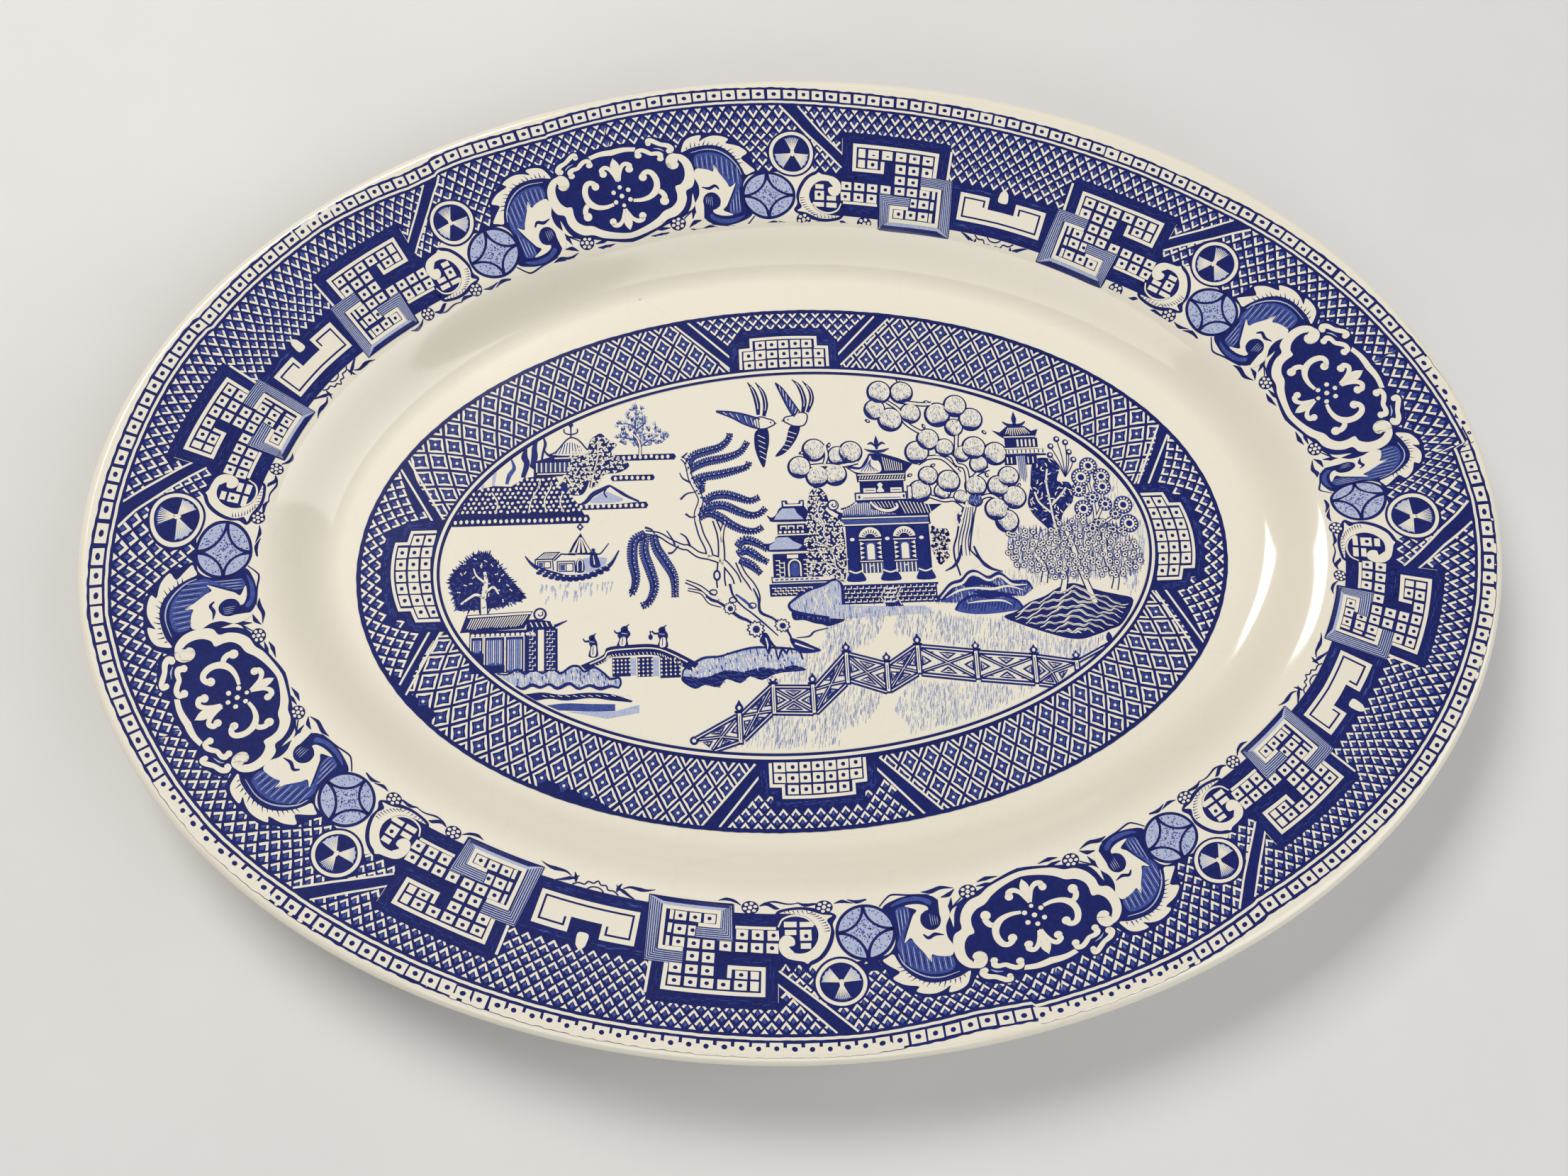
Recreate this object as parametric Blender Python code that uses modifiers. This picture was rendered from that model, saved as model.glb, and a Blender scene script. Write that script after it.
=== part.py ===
"""Oval serving platter in fired earthenware with an underglaze print.

A jiggered platter is one fired piece: a biscuit body with an integral foot
ring.  The printed decoration is laid on it as tissue transfers, one for the
centre and four for the border, and a clear glaze coat seals them.  The glaze
is wiped off the foot, so it is two coats: one over the face, lip and back,
and one inside the foot recess.

Units are metres, +Z is up, +X runs along the long axis, and the origin is at
the middle of the foot's resting plane.
"""
import math

import bmesh
import bpy
import numpy as np

# ---------------------------------------------------------------- dimensions
MM = 0.001
LENGTH = 352.0          # overall, along X
WIDTH = 254.0           # overall, along Y
HEIGHT = 26.0           # foot to the top of the lip

COAT_GAP = 0.05         # biscuit to print film, so that no two skins touch
FILM = 0.07             # printed colour film
COAT_IN = 0.17          # biscuit to the inside of the glaze
COAT = 0.25             # glaze thickness
COAT_OUT = COAT_IN + COAT

WALL = 4.3              # thickness of the rim
LIP_R = 2.0             # rounding of the lip
RIM_SLOPE = 0.20        # fall of the rim per millimetre inwards
RIM_IN = 39.0           # inner edge of the sloping rim, from the lip
CAVETTO = 18.0          # width of the curved wall between rim and well
WELL_Z = 7.1            # biscuit surface of the well
FLOOR_Z = 2.6           # recess inside the foot
FOOT_IN = 61.2          # inner edge of the foot's flat, from the lip
FOOT_OUT = 57.8         # outer edge of the foot's flat, from the lip
OFFSET_ZONE = 70.0      # the plan is a parallel of the lip down to here
SIDE_PULL = 0.10        # rim and wall are this much narrower at the long sides
WELL_DISH = 0.35        # the well sinks this much to its middle

STEPS = 60              # facets round the oval
SECTION_STARTS = (2, 19, 31, 48)   # where the four border transfers meet
BORDER_FROM = 2.6       # cream margin at the lip
BORDER_TO = 40.4        # the border prints end where the wall begins
CENTRE_FROM = 57.6      # the centre print begins just inside the wall

A0 = LENGTH / 2 - COAT_OUT     # biscuit half length
B0 = WIDTH / 2 - COAT_OUT      # biscuit half width
Z_TOP = HEIGHT - COAT_OUT


# ------------------------------------------------------------------- helpers
def clear_scene():
    for ob in list(bpy.data.objects):
        bpy.data.objects.remove(ob, do_unlink=True)


def top_height(d):
    """Face of the biscuit, d millimetres in from the lip."""
    if d <= RIM_IN:
        return Z_TOP - RIM_SLOPE * (d - LIP_R)
    z_rim = Z_TOP - RIM_SLOPE * (RIM_IN - LIP_R)
    if d >= RIM_IN + CAVETTO:
        return WELL_Z
    t = (d - RIM_IN) / CAVETTO
    drop = z_rim - WELL_Z
    straight = RIM_SLOPE * CAVETTO * (t - t * t / 2)
    rest = drop - RIM_SLOPE * CAVETTO / 2
    return z_rim - straight - rest * (1 - math.cos(math.pi * t)) / 2


def profile():
    """Half section as (inset from the lip, height), face, lip, then back."""
    pts = [(A0, WELL_Z - WELL_DISH), (110.0, WELL_Z - WELL_DISH * 0.55),
           (OFFSET_ZONE, WELL_Z), (CENTRE_FROM, WELL_Z)]
    for t in (0.97, 0.81, 0.65, 0.49, 0.33, 0.19):
        d = RIM_IN + CAVETTO * t
        pts.append((d, top_height(d)))
    for d in (BORDER_TO, 36.5, 19.0, BORDER_FROM):
        pts.append((d, top_height(d)))
    for a in (90.0, 42.0, 0.0, -52.0):
        r = math.radians(a)
        pts.append((LIP_R * (1 - math.cos(r)), Z_TOP - LIP_R + LIP_R * math.sin(r)))
    for d, thick in ((6.0, WALL - 0.2), (20.0, WALL), (35.0, WALL + 0.1),
                     (44.0, WALL + 0.5), (49.0, WALL + 0.6)):
        pts.append((d, top_height(d) - thick))
    pts += [(54.2, 3.7), (56.9, 2.2), (FOOT_OUT - 0.55, 0.55), (FOOT_OUT, 0.0),
            (FOOT_IN, 0.0), (FOOT_IN + 0.5, 0.5), (FOOT_IN + 2.2, 2.3),
            (OFFSET_ZONE, FLOOR_Z), (110.0, FLOOR_Z), (A0, FLOOR_Z)]
    return pts


def to_oval(x, y):
    """Moves a turned point to the oval plan: a parallel of the lip near the
    edge, and a scaled copy of the innermost parallel in the well."""
    r = math.hypot(x, y)
    if r < 1e-9:
        return 0.0, 0.0
    c, s = x / r, y / r
    d = min(A0 - r, OFFSET_ZONE)
    nx, ny = B0 * c, A0 * s
    n = math.hypot(nx, ny)
    pull = 1.0 - SIDE_PULL * s * s * min(1.0, max(0.0, (d - 2.0) / 20.0))
    px = A0 * c - nx / n * d * pull
    py = B0 * s - ny / n * d * pull
    if A0 - r > OFFSET_ZONE:
        k = r / (A0 - OFFSET_ZONE)
        px, py = px * k, py * k
    return px, py


def turned_master():
    """The whole biscuit skin as a Screw of the half section, applied, moved
    to the oval plan and cut into triangles that every layer shares."""
    pts = profile()
    me = bpy.data.meshes.new("section")
    me.from_pydata([((A0 - d) * MM, 0.0, z * MM) for d, z in pts],
                   [(i, i + 1) for i in range(len(pts) - 1)], [])
    ob = bpy.data.objects.new("section", me)
    bpy.context.scene.collection.objects.link(ob)
    sc = ob.modifiers.new("turn", "SCREW")
    sc.axis = "Z"
    sc.steps = STEPS
    sc.render_steps = STEPS
    sc.angle = math.tau
    sc.use_merge_vertices = True
    sc.merge_threshold = 0.000001
    sc.use_smooth_shade = True
    deps = bpy.context.evaluated_depsgraph_get()
    out = bpy.data.meshes.new_from_object(ob.evaluated_get(deps))
    bpy.data.objects.remove(ob, do_unlink=True)
    bm = bmesh.new()
    bm.from_mesh(out)
    bmesh.ops.remove_doubles(bm, verts=bm.verts, dist=0.000002)
    bmesh.ops.triangulate(bm, faces=bm.faces, quad_method="FIXED")
    # which row and column of the turned skin each point belongs to
    row_key = bm.verts.layers.int.new("row")
    col_key = bm.verts.layers.int.new("col")
    rr = np.array([(A0 - d) for d, z in pts])
    zz = np.array([z for d, z in pts])
    for v in bm.verts:
        x, y, z = v.co.x / MM, v.co.y / MM, v.co.z / MM
        r = math.hypot(x, y)
        v[row_key] = int(np.argmin((rr - r) ** 2 + (zz - z) ** 2))
        ang = math.atan2(y, x) % math.tau
        v[col_key] = int(round(ang / math.tau * STEPS)) % STEPS
    for v in bm.verts:
        px, py = to_oval(v.co.x / MM, v.co.y / MM)
        v.co.x, v.co.y = px * MM, py * MM
    bm.normal_update()
    vol = bm.calc_volume(signed=True)
    if vol < 0:
        bmesh.ops.reverse_faces(bm, faces=bm.faces)
        bm.normal_update()
    return bm, pts


def layer(master, name, rows, cols, lift, thick):
    """A skin over part of the biscuit, lifted along the surface normal and
    given its thickness by a Solidify modifier."""
    rk = master.verts.layers.int["row"]
    ck = master.verts.layers.int["col"]
    bm = bmesh.new()
    used = {}

    def vert(v):
        if v.index not in used:
            used[v.index] = bm.verts.new(v.co + v.normal * (lift * MM))
        return used[v.index]

    master.verts.index_update()
    lo, hi = rows
    for f in master.faces:
        rs = [v[rk] for v in f.verts]
        if min(rs) < lo or max(rs) > hi:
            continue
        if cols is not None:
            c0, c1 = cols
            cs = [(v[ck] - c0) % STEPS for v in f.verts if not (v[rk] == 0)]
            if any(c > (c1 - c0) for c in cs) or (max(cs) - min(cs) > 1):
                continue
        bm.faces.new([vert(v) for v in f.verts])
    bm.normal_update()
    me = bpy.data.meshes.new(name)
    bm.to_mesh(me)
    bm.free()
    ob = bpy.data.objects.new(name, me)
    so = ob.modifiers.new("thickness", "SOLIDIFY")
    so.thickness = thick * MM
    so.offset = 1.0
    so.use_rim = True
    so.use_even_offset = False
    return ob


def material(name, rgb, rough, coat=0.0, alpha=1.0):
    m = bpy.data.materials.new(name)
    m.use_nodes = True
    b = m.node_tree.nodes["Principled BSDF"]
    b.inputs["Base Color"].default_value = (*rgb, 1.0)
    b.inputs["Roughness"].default_value = rough
    b.inputs["Metallic"].default_value = 0.0
    b.inputs["Coat Weight"].default_value = coat
    b.inputs["Alpha"].default_value = alpha
    m.diffuse_color = (*rgb, alpha)
    return m


def finish(ob, coll, mat):
    ob.data.materials.clear()
    ob.data.materials.append(mat)
    ob.data.shade_smooth()
    ob.data.set_sharp_from_angle(angle=math.radians(40))
    coll.objects.link(ob)
    return ob


# --------------------------------------------------------------------- model
def build():
    clear_scene()
    coll = bpy.data.collections.new("serving_platter")
    bpy.context.scene.collection.children.link(coll)

    master, pts = turned_master()
    d = [p[0] for p in pts]
    row_well = 3                                   # start of the centre print
    row_wall = d.index(BORDER_TO)                  # inner edge of the border
    row_margin = d.index(BORDER_FROM)              # cream margin at the lip
    row_foot_out = d.index(FOOT_OUT - 0.55)        # glaze stops on the foot
    row_foot_in = d.index(FOOT_IN + 0.5)

    me = bpy.data.meshes.new("platter_body")
    master.to_mesh(me)
    body = bpy.data.objects.new("platter_body", me)
    finish(body, coll, material("biscuit", (0.78, 0.73, 0.62), 0.8))

    glaze = material("glaze", (0.90, 0.88, 0.80), 0.08, coat=0.6, alpha=0.35)
    ob = layer(master, "glaze_coat", (0, row_foot_out), None, COAT_IN, COAT)
    finish(ob, coll, glaze)
    ob = layer(master, "recess_glaze", (row_foot_in, len(pts) - 1), None, COAT_IN, COAT)
    finish(ob, coll, material("recess_glaze", (0.90, 0.88, 0.80), 0.08, coat=0.6, alpha=0.35))

    cobalt = (0.035, 0.065, 0.32)
    ob = layer(master, "centre_print", (0, row_well), None, COAT_GAP, FILM)
    finish(ob, coll, material("centre_ink", cobalt, 0.35))
    for i, c0 in enumerate(SECTION_STARTS):
        c1 = SECTION_STARTS[(i + 1) % 4] + (STEPS if i == 3 else 0)
        ob = layer(master, "border_print_%d" % (i + 1), (row_wall, row_margin),
                   (c0, c1), COAT_GAP, FILM)
        finish(ob, coll, material("border_ink_%d" % (i + 1), cobalt, 0.35))
    # neighbouring transfers stop short of each other by a hair's breadth
    for i, c0 in enumerate(SECTION_STARTS):
        ob = coll.objects["border_print_%d" % (i + 1)]
        c1 = SECTION_STARTS[(i + 1) % 4] + (STEPS if i == 3 else 0)
        trim_ends(ob, c0, c1)
    master.free()


def trim_ends(ob, c0, c1):
    """Draws the two ends of a border transfer back by 0.15 mm."""
    for c, sign in ((c0, 1.0), (c1, -1.0)):
        a = c % STEPS * math.tau / STEPS
        tx, ty = -A0 * math.sin(a), B0 * math.cos(a)
        n = math.hypot(tx, ty)
        tx, ty = tx / n, ty / n
        nx, ny = ty, -tx
        ex, ey = A0 * math.cos(a), B0 * math.sin(a)
        for v in ob.data.vertices:
            x, y = v.co.x / MM - ex, v.co.y / MM - ey
            if abs(x * tx + y * ty) < 2.0 and -60.0 < x * nx + y * ny < 2.0:
                v.co.x += sign * tx * 0.15 * MM
                v.co.y += sign * ty * 0.15 * MM


build()
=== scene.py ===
"""Looks of the oval serving platter: the glazed body and its cobalt print.

The body is a fine turned skin on the CAD profile.  The print is drawn here
as flat shapes (strokes, discs and small polygons) on the platter's plan
and laid on its curved face, ink by ink.  Lengths in the drawing are in
millimetres.
"""
import math

import bpy
import numpy as np
from mathutils import Matrix, Vector
from mathutils.geometry import tessellate_polygon


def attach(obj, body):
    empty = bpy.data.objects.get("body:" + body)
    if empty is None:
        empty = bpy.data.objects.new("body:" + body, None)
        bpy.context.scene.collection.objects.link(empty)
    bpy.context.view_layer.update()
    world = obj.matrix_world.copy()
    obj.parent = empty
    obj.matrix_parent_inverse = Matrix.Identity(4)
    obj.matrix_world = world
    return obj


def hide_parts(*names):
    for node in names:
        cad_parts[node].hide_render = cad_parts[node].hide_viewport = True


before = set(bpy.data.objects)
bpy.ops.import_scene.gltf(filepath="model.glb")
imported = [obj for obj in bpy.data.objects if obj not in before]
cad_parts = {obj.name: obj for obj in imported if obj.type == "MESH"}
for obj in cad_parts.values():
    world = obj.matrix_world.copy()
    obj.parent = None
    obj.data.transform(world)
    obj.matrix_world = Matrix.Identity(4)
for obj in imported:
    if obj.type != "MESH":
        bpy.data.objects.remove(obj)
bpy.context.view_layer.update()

# >>> DRAWING
# ------------------------------------------------------------ platter surface
LENGTH, WIDTH, HEIGHT = 352.0, 254.0, 26.0
COAT = 0.42
A0, B0 = LENGTH / 2 - COAT, WIDTH / 2 - COAT
LIP_R, RIM_SLOPE, RIM_IN, WALL_W = 2.0, 0.20, 39.0, 18.0
WELL_Z, Z_TOP, ZONE, PULL, DISH = 7.1, HEIGHT - COAT, 70.0, 0.10, 0.35


def face_height(d):
    """Biscuit height, d millimetres in from the lip, face side."""
    d = np.asarray(d, float)
    z_rim = Z_TOP - RIM_SLOPE * (RIM_IN - LIP_R)
    rim = Z_TOP - RIM_SLOPE * (d - LIP_R)
    lip = Z_TOP - LIP_R + np.sqrt(np.maximum(LIP_R ** 2 - (LIP_R - np.clip(d, 0, LIP_R)) ** 2, 0))
    t = np.clip((d - RIM_IN) / WALL_W, 0, 1)
    drop = z_rim - WELL_Z
    fall = RIM_SLOPE * WALL_W * (t - t * t / 2)
    wall = z_rim - fall - (drop - RIM_SLOPE * WALL_W / 2) * (1 - np.cos(np.pi * t)) / 2
    return np.where(d < LIP_R, lip, np.where(d <= RIM_IN, rim, np.where(d >= RIM_IN + WALL_W, WELL_Z, wall)))


def plan(phi, d):
    """Plan point at eccentric angle phi, inset d from the lip."""
    phi, d = np.asarray(phi, float), np.asarray(d, float)
    c, s = np.cos(phi), np.sin(phi)
    dd = np.minimum(d, ZONE)
    nx, ny = B0 * c, A0 * s
    n = np.hypot(nx, ny)
    pull = 1 - PULL * s * s * np.clip((dd - 2) / 20, 0, 1)
    px, py = A0 * c - nx / n * dd * pull, B0 * s - ny / n * dd * pull
    k = np.where(d > ZONE, (A0 - d) / (A0 - ZONE), 1.0)
    return px * k, py * k


def unplan(x, y, rounds=9):
    """Eccentric angle and inset of a plan point."""
    x, y = np.asarray(x, float), np.asarray(y, float)
    phi = np.arctan2(y / B0, x / A0)
    d = np.clip((1 - np.hypot(x / A0, y / B0)) * 110, 0, A0 - 1)
    e = 1e-4
    for _ in range(rounds):
        X, Y = plan(phi, d)
        X1, Y1 = plan(phi + e, d)
        X2, Y2 = plan(phi, d + e)
        a, b, c, f = (X1 - X) / e, (X2 - X) / e, (Y1 - Y) / e, (Y2 - Y) / e
        det = a * f - b * c
        det = np.where(np.abs(det) < 1e-9, 1e-9, det)
        rx, ry = x - X, y - Y
        phi = phi + np.clip((f * rx - b * ry) / det, -.3, .3)
        d = np.clip(d + np.clip((-c * rx + a * ry) / det, -25, 25), -3, A0 - .01)
    return phi, d


def glaze_height(d):
    """Glaze surface height over the face."""
    return face_height(d) + COAT - np.where(d > ZONE, DISH * (1 - ((A0 - d) / (A0 - ZONE)) ** 2), 0)


# --------------------------------------------------------------- pen and paper
ART = {}        # piece -> list of primitives in plan millimetres
HALF = []       # border primitives in (u, v), drawn on both sides of a plaque
WHOLE = []      # border primitives in (u, v), drawn once in each section


def smooth(pts, n=6, closed=False):
    """A rounded line through the points."""
    p = [np.array(q, float) for q in pts]
    if len(p) < 3:
        return np.array(p)
    out = []
    m = len(p)
    rng = range(m if closed else m - 1)
    for i in rng:
        if closed:
            a, b, c, d = p[(i - 1) % m], p[i], p[(i + 1) % m], p[(i + 2) % m]
        else:
            b, c = p[i], p[i + 1]
            a = p[i - 1] if i else 2 * b - c
            d = p[i + 2] if i + 2 < m else 2 * c - b
        for k in range(n):
            t = k / n
            out.append(.5 * (2 * b + (c - a) * t + (2 * a - 5 * b + 4 * c - d) * t * t + (3 * b - a - 3 * c + d) * t ** 3))
    if not closed:
        out.append(p[-1])
    return np.array(out)


def dense(pts, step=2.0, closed=True):
    p = np.asarray(pts, float)
    q = np.vstack([p, p[:1]]) if closed else p
    out = []
    for a, b in zip(q[:-1], q[1:]):
        k = max(1, int(math.ceil(float(np.hypot(*(b - a))) / step)))
        for i in range(k):
            out.append(a + (b - a) * i / k)
    if not closed:
        out.append(q[-1])
    return np.array(out)


def ribbon(pts, w, closed=False):
    """Left and right edges of a stroke; w is one width or one per point."""
    p = np.asarray(pts, float)
    if closed:
        p = np.vstack([p, p[:1]])
    n = len(p)
    t = np.zeros_like(p)
    seg = p[1:] - p[:-1]
    L = np.maximum(np.hypot(seg[:, 0], seg[:, 1]), 1e-9)[:, None]
    seg = seg / L
    t[1:-1] = seg[1:] + seg[:-1]
    if closed:
        t[0] = t[-1] = seg[0] + seg[-1]
    else:
        t[0], t[-1] = seg[0], seg[-1]
    ln = np.maximum(np.hypot(t[:, 0], t[:, 1]), 1e-9)[:, None]
    t = t / ln
    nrm = np.stack([-t[:, 1], t[:, 0]], 1)
    cosh = np.ones(n)
    cosh[1:-1] = np.clip((t[1:-1] * seg[1:]).sum(1), .55, 1)
    w = np.interp(np.linspace(0, 1, n), np.linspace(0, 1, len(w)), w) if np.ndim(w) else np.full(n, float(w))
    h = (w / 2 / cosh)[:, None]
    return p + nrm * h, p - nrm * h


def oval(cx, cy, rx, ry=None, n=28, a0=0.0, a1=math.tau, tilt=0.0):
    ry = rx if ry is None else ry
    a = np.linspace(a0, a1, n, endpoint=(a1 - a0) < math.tau - 1e-6)
    x, y = rx * np.cos(a), ry * np.sin(a)
    c, s = math.cos(tilt), math.sin(tilt)
    return np.stack([cx + x * c - y * s, cy + x * s + y * c], 1)


class Pen:
    """Collects shapes.  where is ART (plan), HALF or WHOLE (border)."""

    def __init__(self, where):
        self.where = where

    def _put(self, piece, prim):
        if self.where is ART:
            ART.setdefault(piece, []).append(prim)
        else:
            self.where.append((piece, prim))

    def fill(self, piece, pts, step=2.0):
        self._put(piece, ("poly", dense(pts, step)))

    def blob(self, piece, pts, n=5):
        self._put(piece, ("poly", smooth(pts, n, True)))

    def dot(self, piece, cx, cy, r, ry=None, n=14, tilt=0.0):
        self._put(piece, ("poly", oval(cx, cy, r, ry, n, tilt=tilt)))

    def box(self, piece, x0, y0, x1, y1, step=2.0):
        self.fill(piece, [(x0, y0), (x1, y0), (x1, y1), (x0, y1)], step)

    def line(self, piece, pts, w, closed=False, step=2.0):
        self._put(piece, ("strip",) + ribbon(dense(pts, step, closed) if closed else dense(pts, step, False), w, closed))

    def curve(self, piece, pts, w, n=6, closed=False):
        self._put(piece, ("strip",) + ribbon(smooth(pts, n, closed), w, closed))

    def ring(self, piece, cx, cy, rx, ry, w, n=40):
        self._put(piece, ("strip",) + ribbon(oval(cx, cy, rx, ry, n), w, True))

    def band(self, piece, left, right):
        self._put(piece, ("strip", np.asarray(left, float), np.asarray(right, float)))


# ------------------------------------------------------------- border placing
PER = 775.03     # length of the middle of the rim
_ph = np.linspace(0, 2 * np.pi, 7201)
_px, _py = plan(_ph, np.full_like(_ph, 30.0))
_arc = np.r_[0, np.cumsum(np.hypot(np.diff(_px), np.diff(_py)))]
# where each hand-laid section stretches or shrinks, as judged: its landmarks, in rim
# millimetres clockwise from +X
MARKS = np.array([-101, -82.2, -64.2, -57.3, -43.9, -16.6, 0, 16.6, 43.9, 57.3, 64.2, 82.2, 101.])
LAID = {
    1: [-33.1, -14.7, -4.1, 2.6, 14.6, 36.0, 51.6, 65.3, 89.5, 102.3, 109.3, 126.9, 146.7],
    2: [146.7, 166.9, 185.6, 192.6, 206.4, 233.9, 250.3, 267.5, 294.2, 307.2, 313.7, 332.5, 349.2],
    3: [349.2, 367.8, 385.3, 393.9, 406.3, 428.8, 442.8, 456.6, 480, 491.6, 498.9, 516.9, 535.8],
    4: [535.8, 556, 574.7, 582.4, 595.6, 623.4, 639.9, 657.2, 684.7, 697.8, 705.4, 723.6, 741.9]}
TIE_U = np.array([-101, -60.5, -30, 0, 30, 60.5, 101.])
_b, _l, _t, _r = [12.9, 22.0, 30.4, 38.8], [12.7, 21.9, 30.3, 38.4], [14.3, 24.0, 33.8, 42.4], [14.0, 23.4, 32.6, 41.0]
TIES = {
    1: [_r, [14.4, 24, 32.8, 40.6], [14, 22.7, 31.5, 38.6], [14, 22.4, 30.2, 37.6], [13.9, 22.3, 30.5, 38.2], [14.5, 23.6, 30.8, 38.4], _b],
    2: [_b, [12.4, 21.6, 30.7, 38.6], [12.4, 22.1, 30.6, 38.4], [12.5, 21.9, 30.4, 38.4], [13.2, 22.2, 30.6, 38.3], [12.9, 21.7, 30.1, 37.4], _l],
    3: [_l, [14.6, 24, 32, 39.4], [15.2, 24.2, 32.6, 40.6], [15.3, 24.4, 32.4, 40.4], [15.1, 24.4, 33.2, 41.2], [14.8, 24.8, 34.2, 42], _t],
    4: [_t, [15.4, 26.2, 34.9, 42.8], [16.3, 27, 35.6, 44.1], [17, 27.4, 35.2, 43.6], [17.4, 27.3, 35.8, 44.2], [16.2, 26.4, 34.8, 42.4], _r]}
TIE_V = np.array([7, 12.6, 21.9, 30.4, 38.5])
# the wandering outer line of the hand-laid border, as judged, with its small overlaps
LINE_S = np.array([0, 10, 20, 30, 40, 50, 60, 70, 80, 90, 100, 101.2, 101.3, 110, 120, 130, 140, 153.4, 153.6, 160, 165, 170, 180, 190, 210,
                   230, 250, 270, 290, 310, 320, 330, 340, 350, 370, 374.8, 375.2, 380, 391, 392, 400, 410, 420, 430, 433, 434, 440, 450, 460,
                   465, 470, 480, 487, 493.8, 494.2, 500, 510, 521.4, 521.6, 530, 540, 550, 560, 570, 580, 590, 600, 610, 620, 630, 640, 650,
                   660, 670, 680, 690, 700, 710, 720, 730, 740, 750, 760, 764.4, 764.6, 770, 775.03])
LINE_D = np.array([7.0, 6.9, 6.8, 6.9, 7.0, 7.1, 7.3, 7.6, 7.9, 8.25, 8.5, 8.5, 8.3, 7.5, 6.8, 6.6, 6.5, 6.6, 7.4, 7.9, 8.1, 7.75, 7.0, 6.4,
                   6.4, 6.6, 6.6, 6.9, 7.1, 6.9, 6.6, 6.4, 6.75, 7.25, 7.25, 7.0, 7.1, 7.4, 8.25, 8.3, 8.5, 8.4, 7.9, 7.6, 7.7, 8.3, 7.9, 7.5,
                   7.1, 6.8, 7.0, 7.7, 8.5, 8.3, 7.6, 7.4, 7.9, 8.3, 8.0, 7.6, 7.25, 7.1, 7.1, 7.3, 7.6, 8.2, 8.7, 9, 9.3, 9.5, 9.6, 9.75, 9.9,
                   9.9, 10, 9.75, 9.1, 8.7, 8.4, 7.9, 7.4, 6.6, 5.6, 5.1, 7.7, 7.5, 7.0])


def rim_point(s, d):
    """Plan point s millimetres clockwise round the rim, d in from the lip."""
    return plan(np.interp((PER - np.asarray(s, float)) % PER, _arc, _ph), d)


def place(u, v, section):
    """From a section's own drawing (u along, v inwards) to the rim."""
    u, v = np.asarray(u, float), np.asarray(v, float)
    s = np.interp(u, MARKS, LAID[section])
    top = np.interp(s % PER, LINE_S, LINE_D)
    ties = np.array(TIES[section])
    rows = [top] + [np.interp(u, TIE_U, ties[:, i]) for i in range(4)]
    d = np.where(v < 7, top - (7 - v), 0.0)
    for i in range(4):
        m = (v >= TIE_V[i]) & ((v < TIE_V[i + 1]) | (i == 3))
        d = np.where(m, rows[i] + (v - TIE_V[i]) / (TIE_V[i + 1] - TIE_V[i]) * (rows[i + 1] - rows[i]), d)
    return rim_point(s, d)


# --------------------------------------------------------------- border motifs
# ink pieces, from the bottom up: name -> (ink, level)
INKS = {
    "rim_ground": ("navy", 0), "rim_net": ("white", 1), "rim_net_tint": ("mid", 1),
    "rim_squares": ("white", 2), "rim_square_dots": ("navy", 3), "rim_rules": ("navy", 2), "rim_white_rule": ("white", 3),
    "bar_ink": ("navy", 2), "bar_lines": ("white", 3),
    "motif_dark": ("navy", 4), "motif_tint": ("mid", 5), "motif_pale": ("pale", 6), "motif_white": ("white", 7),
    "motif_lines": ("navy", 8), "motif_lights": ("white", 9), "motif_fine": ("navy", 10),
}
H, W_ = Pen(HALF), Pen(WHOLE)


def draw_border_rules():
    n = 1200
    s = np.linspace(0, PER, n + 1)
    rag = 0.10 * np.sin(s * 0.9) * np.sin(s * 0.37 + 1) + 0.07 * np.sin(s * 2.3 + 2)
    T = np.interp(s % PER, LINE_S, LINE_D)

    def band(piece, v0, v1, r0=0.0, r1=0.0):
        a = np.stack(rim_point(s, T - (7 - v0) + rag * r0), 1)
        b = np.stack(rim_point(s, T - (7 - v1) + rag * r1), 1)
        ART.setdefault(piece, []).append(("strip", a, b))
    band("rim_ground", 2.0, 4.5, 1.0)
    band("rim_ground", 4.5, 7.05)
    band("rim_rules", 6.42, 7.15)
    band("rim_white_rule", 5.78, 6.42, 0.4, 0.4)


def draw_squares():
    rs = np.random.RandomState(7)
    pitch = 202.0 / 58
    for k in range(58):
        c = -101 + 3.0 + pitch * k - 1.3
        j = rs.normal(0, .06, 10)
        w, h = 1.44 + j[0], 1.26 + j[1]
        cy = 3.86 + j[2]
        W_._put("rim_squares", ("poly", np.array([(c - w + .1, cy - h), (c + w + j[3], cy - h + .05), (c + w, cy + h - .05),
                                                   (c + w - .15, cy + h + j[4] * .5), (c - w + j[5], cy + h), (c - w, cy - h + .15)])))
        W_.dot("rim_square_dots", c + j[6], cy + j[7], .58 + j[8] * .7, .54, 9, tilt=j[9] * 8)


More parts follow.
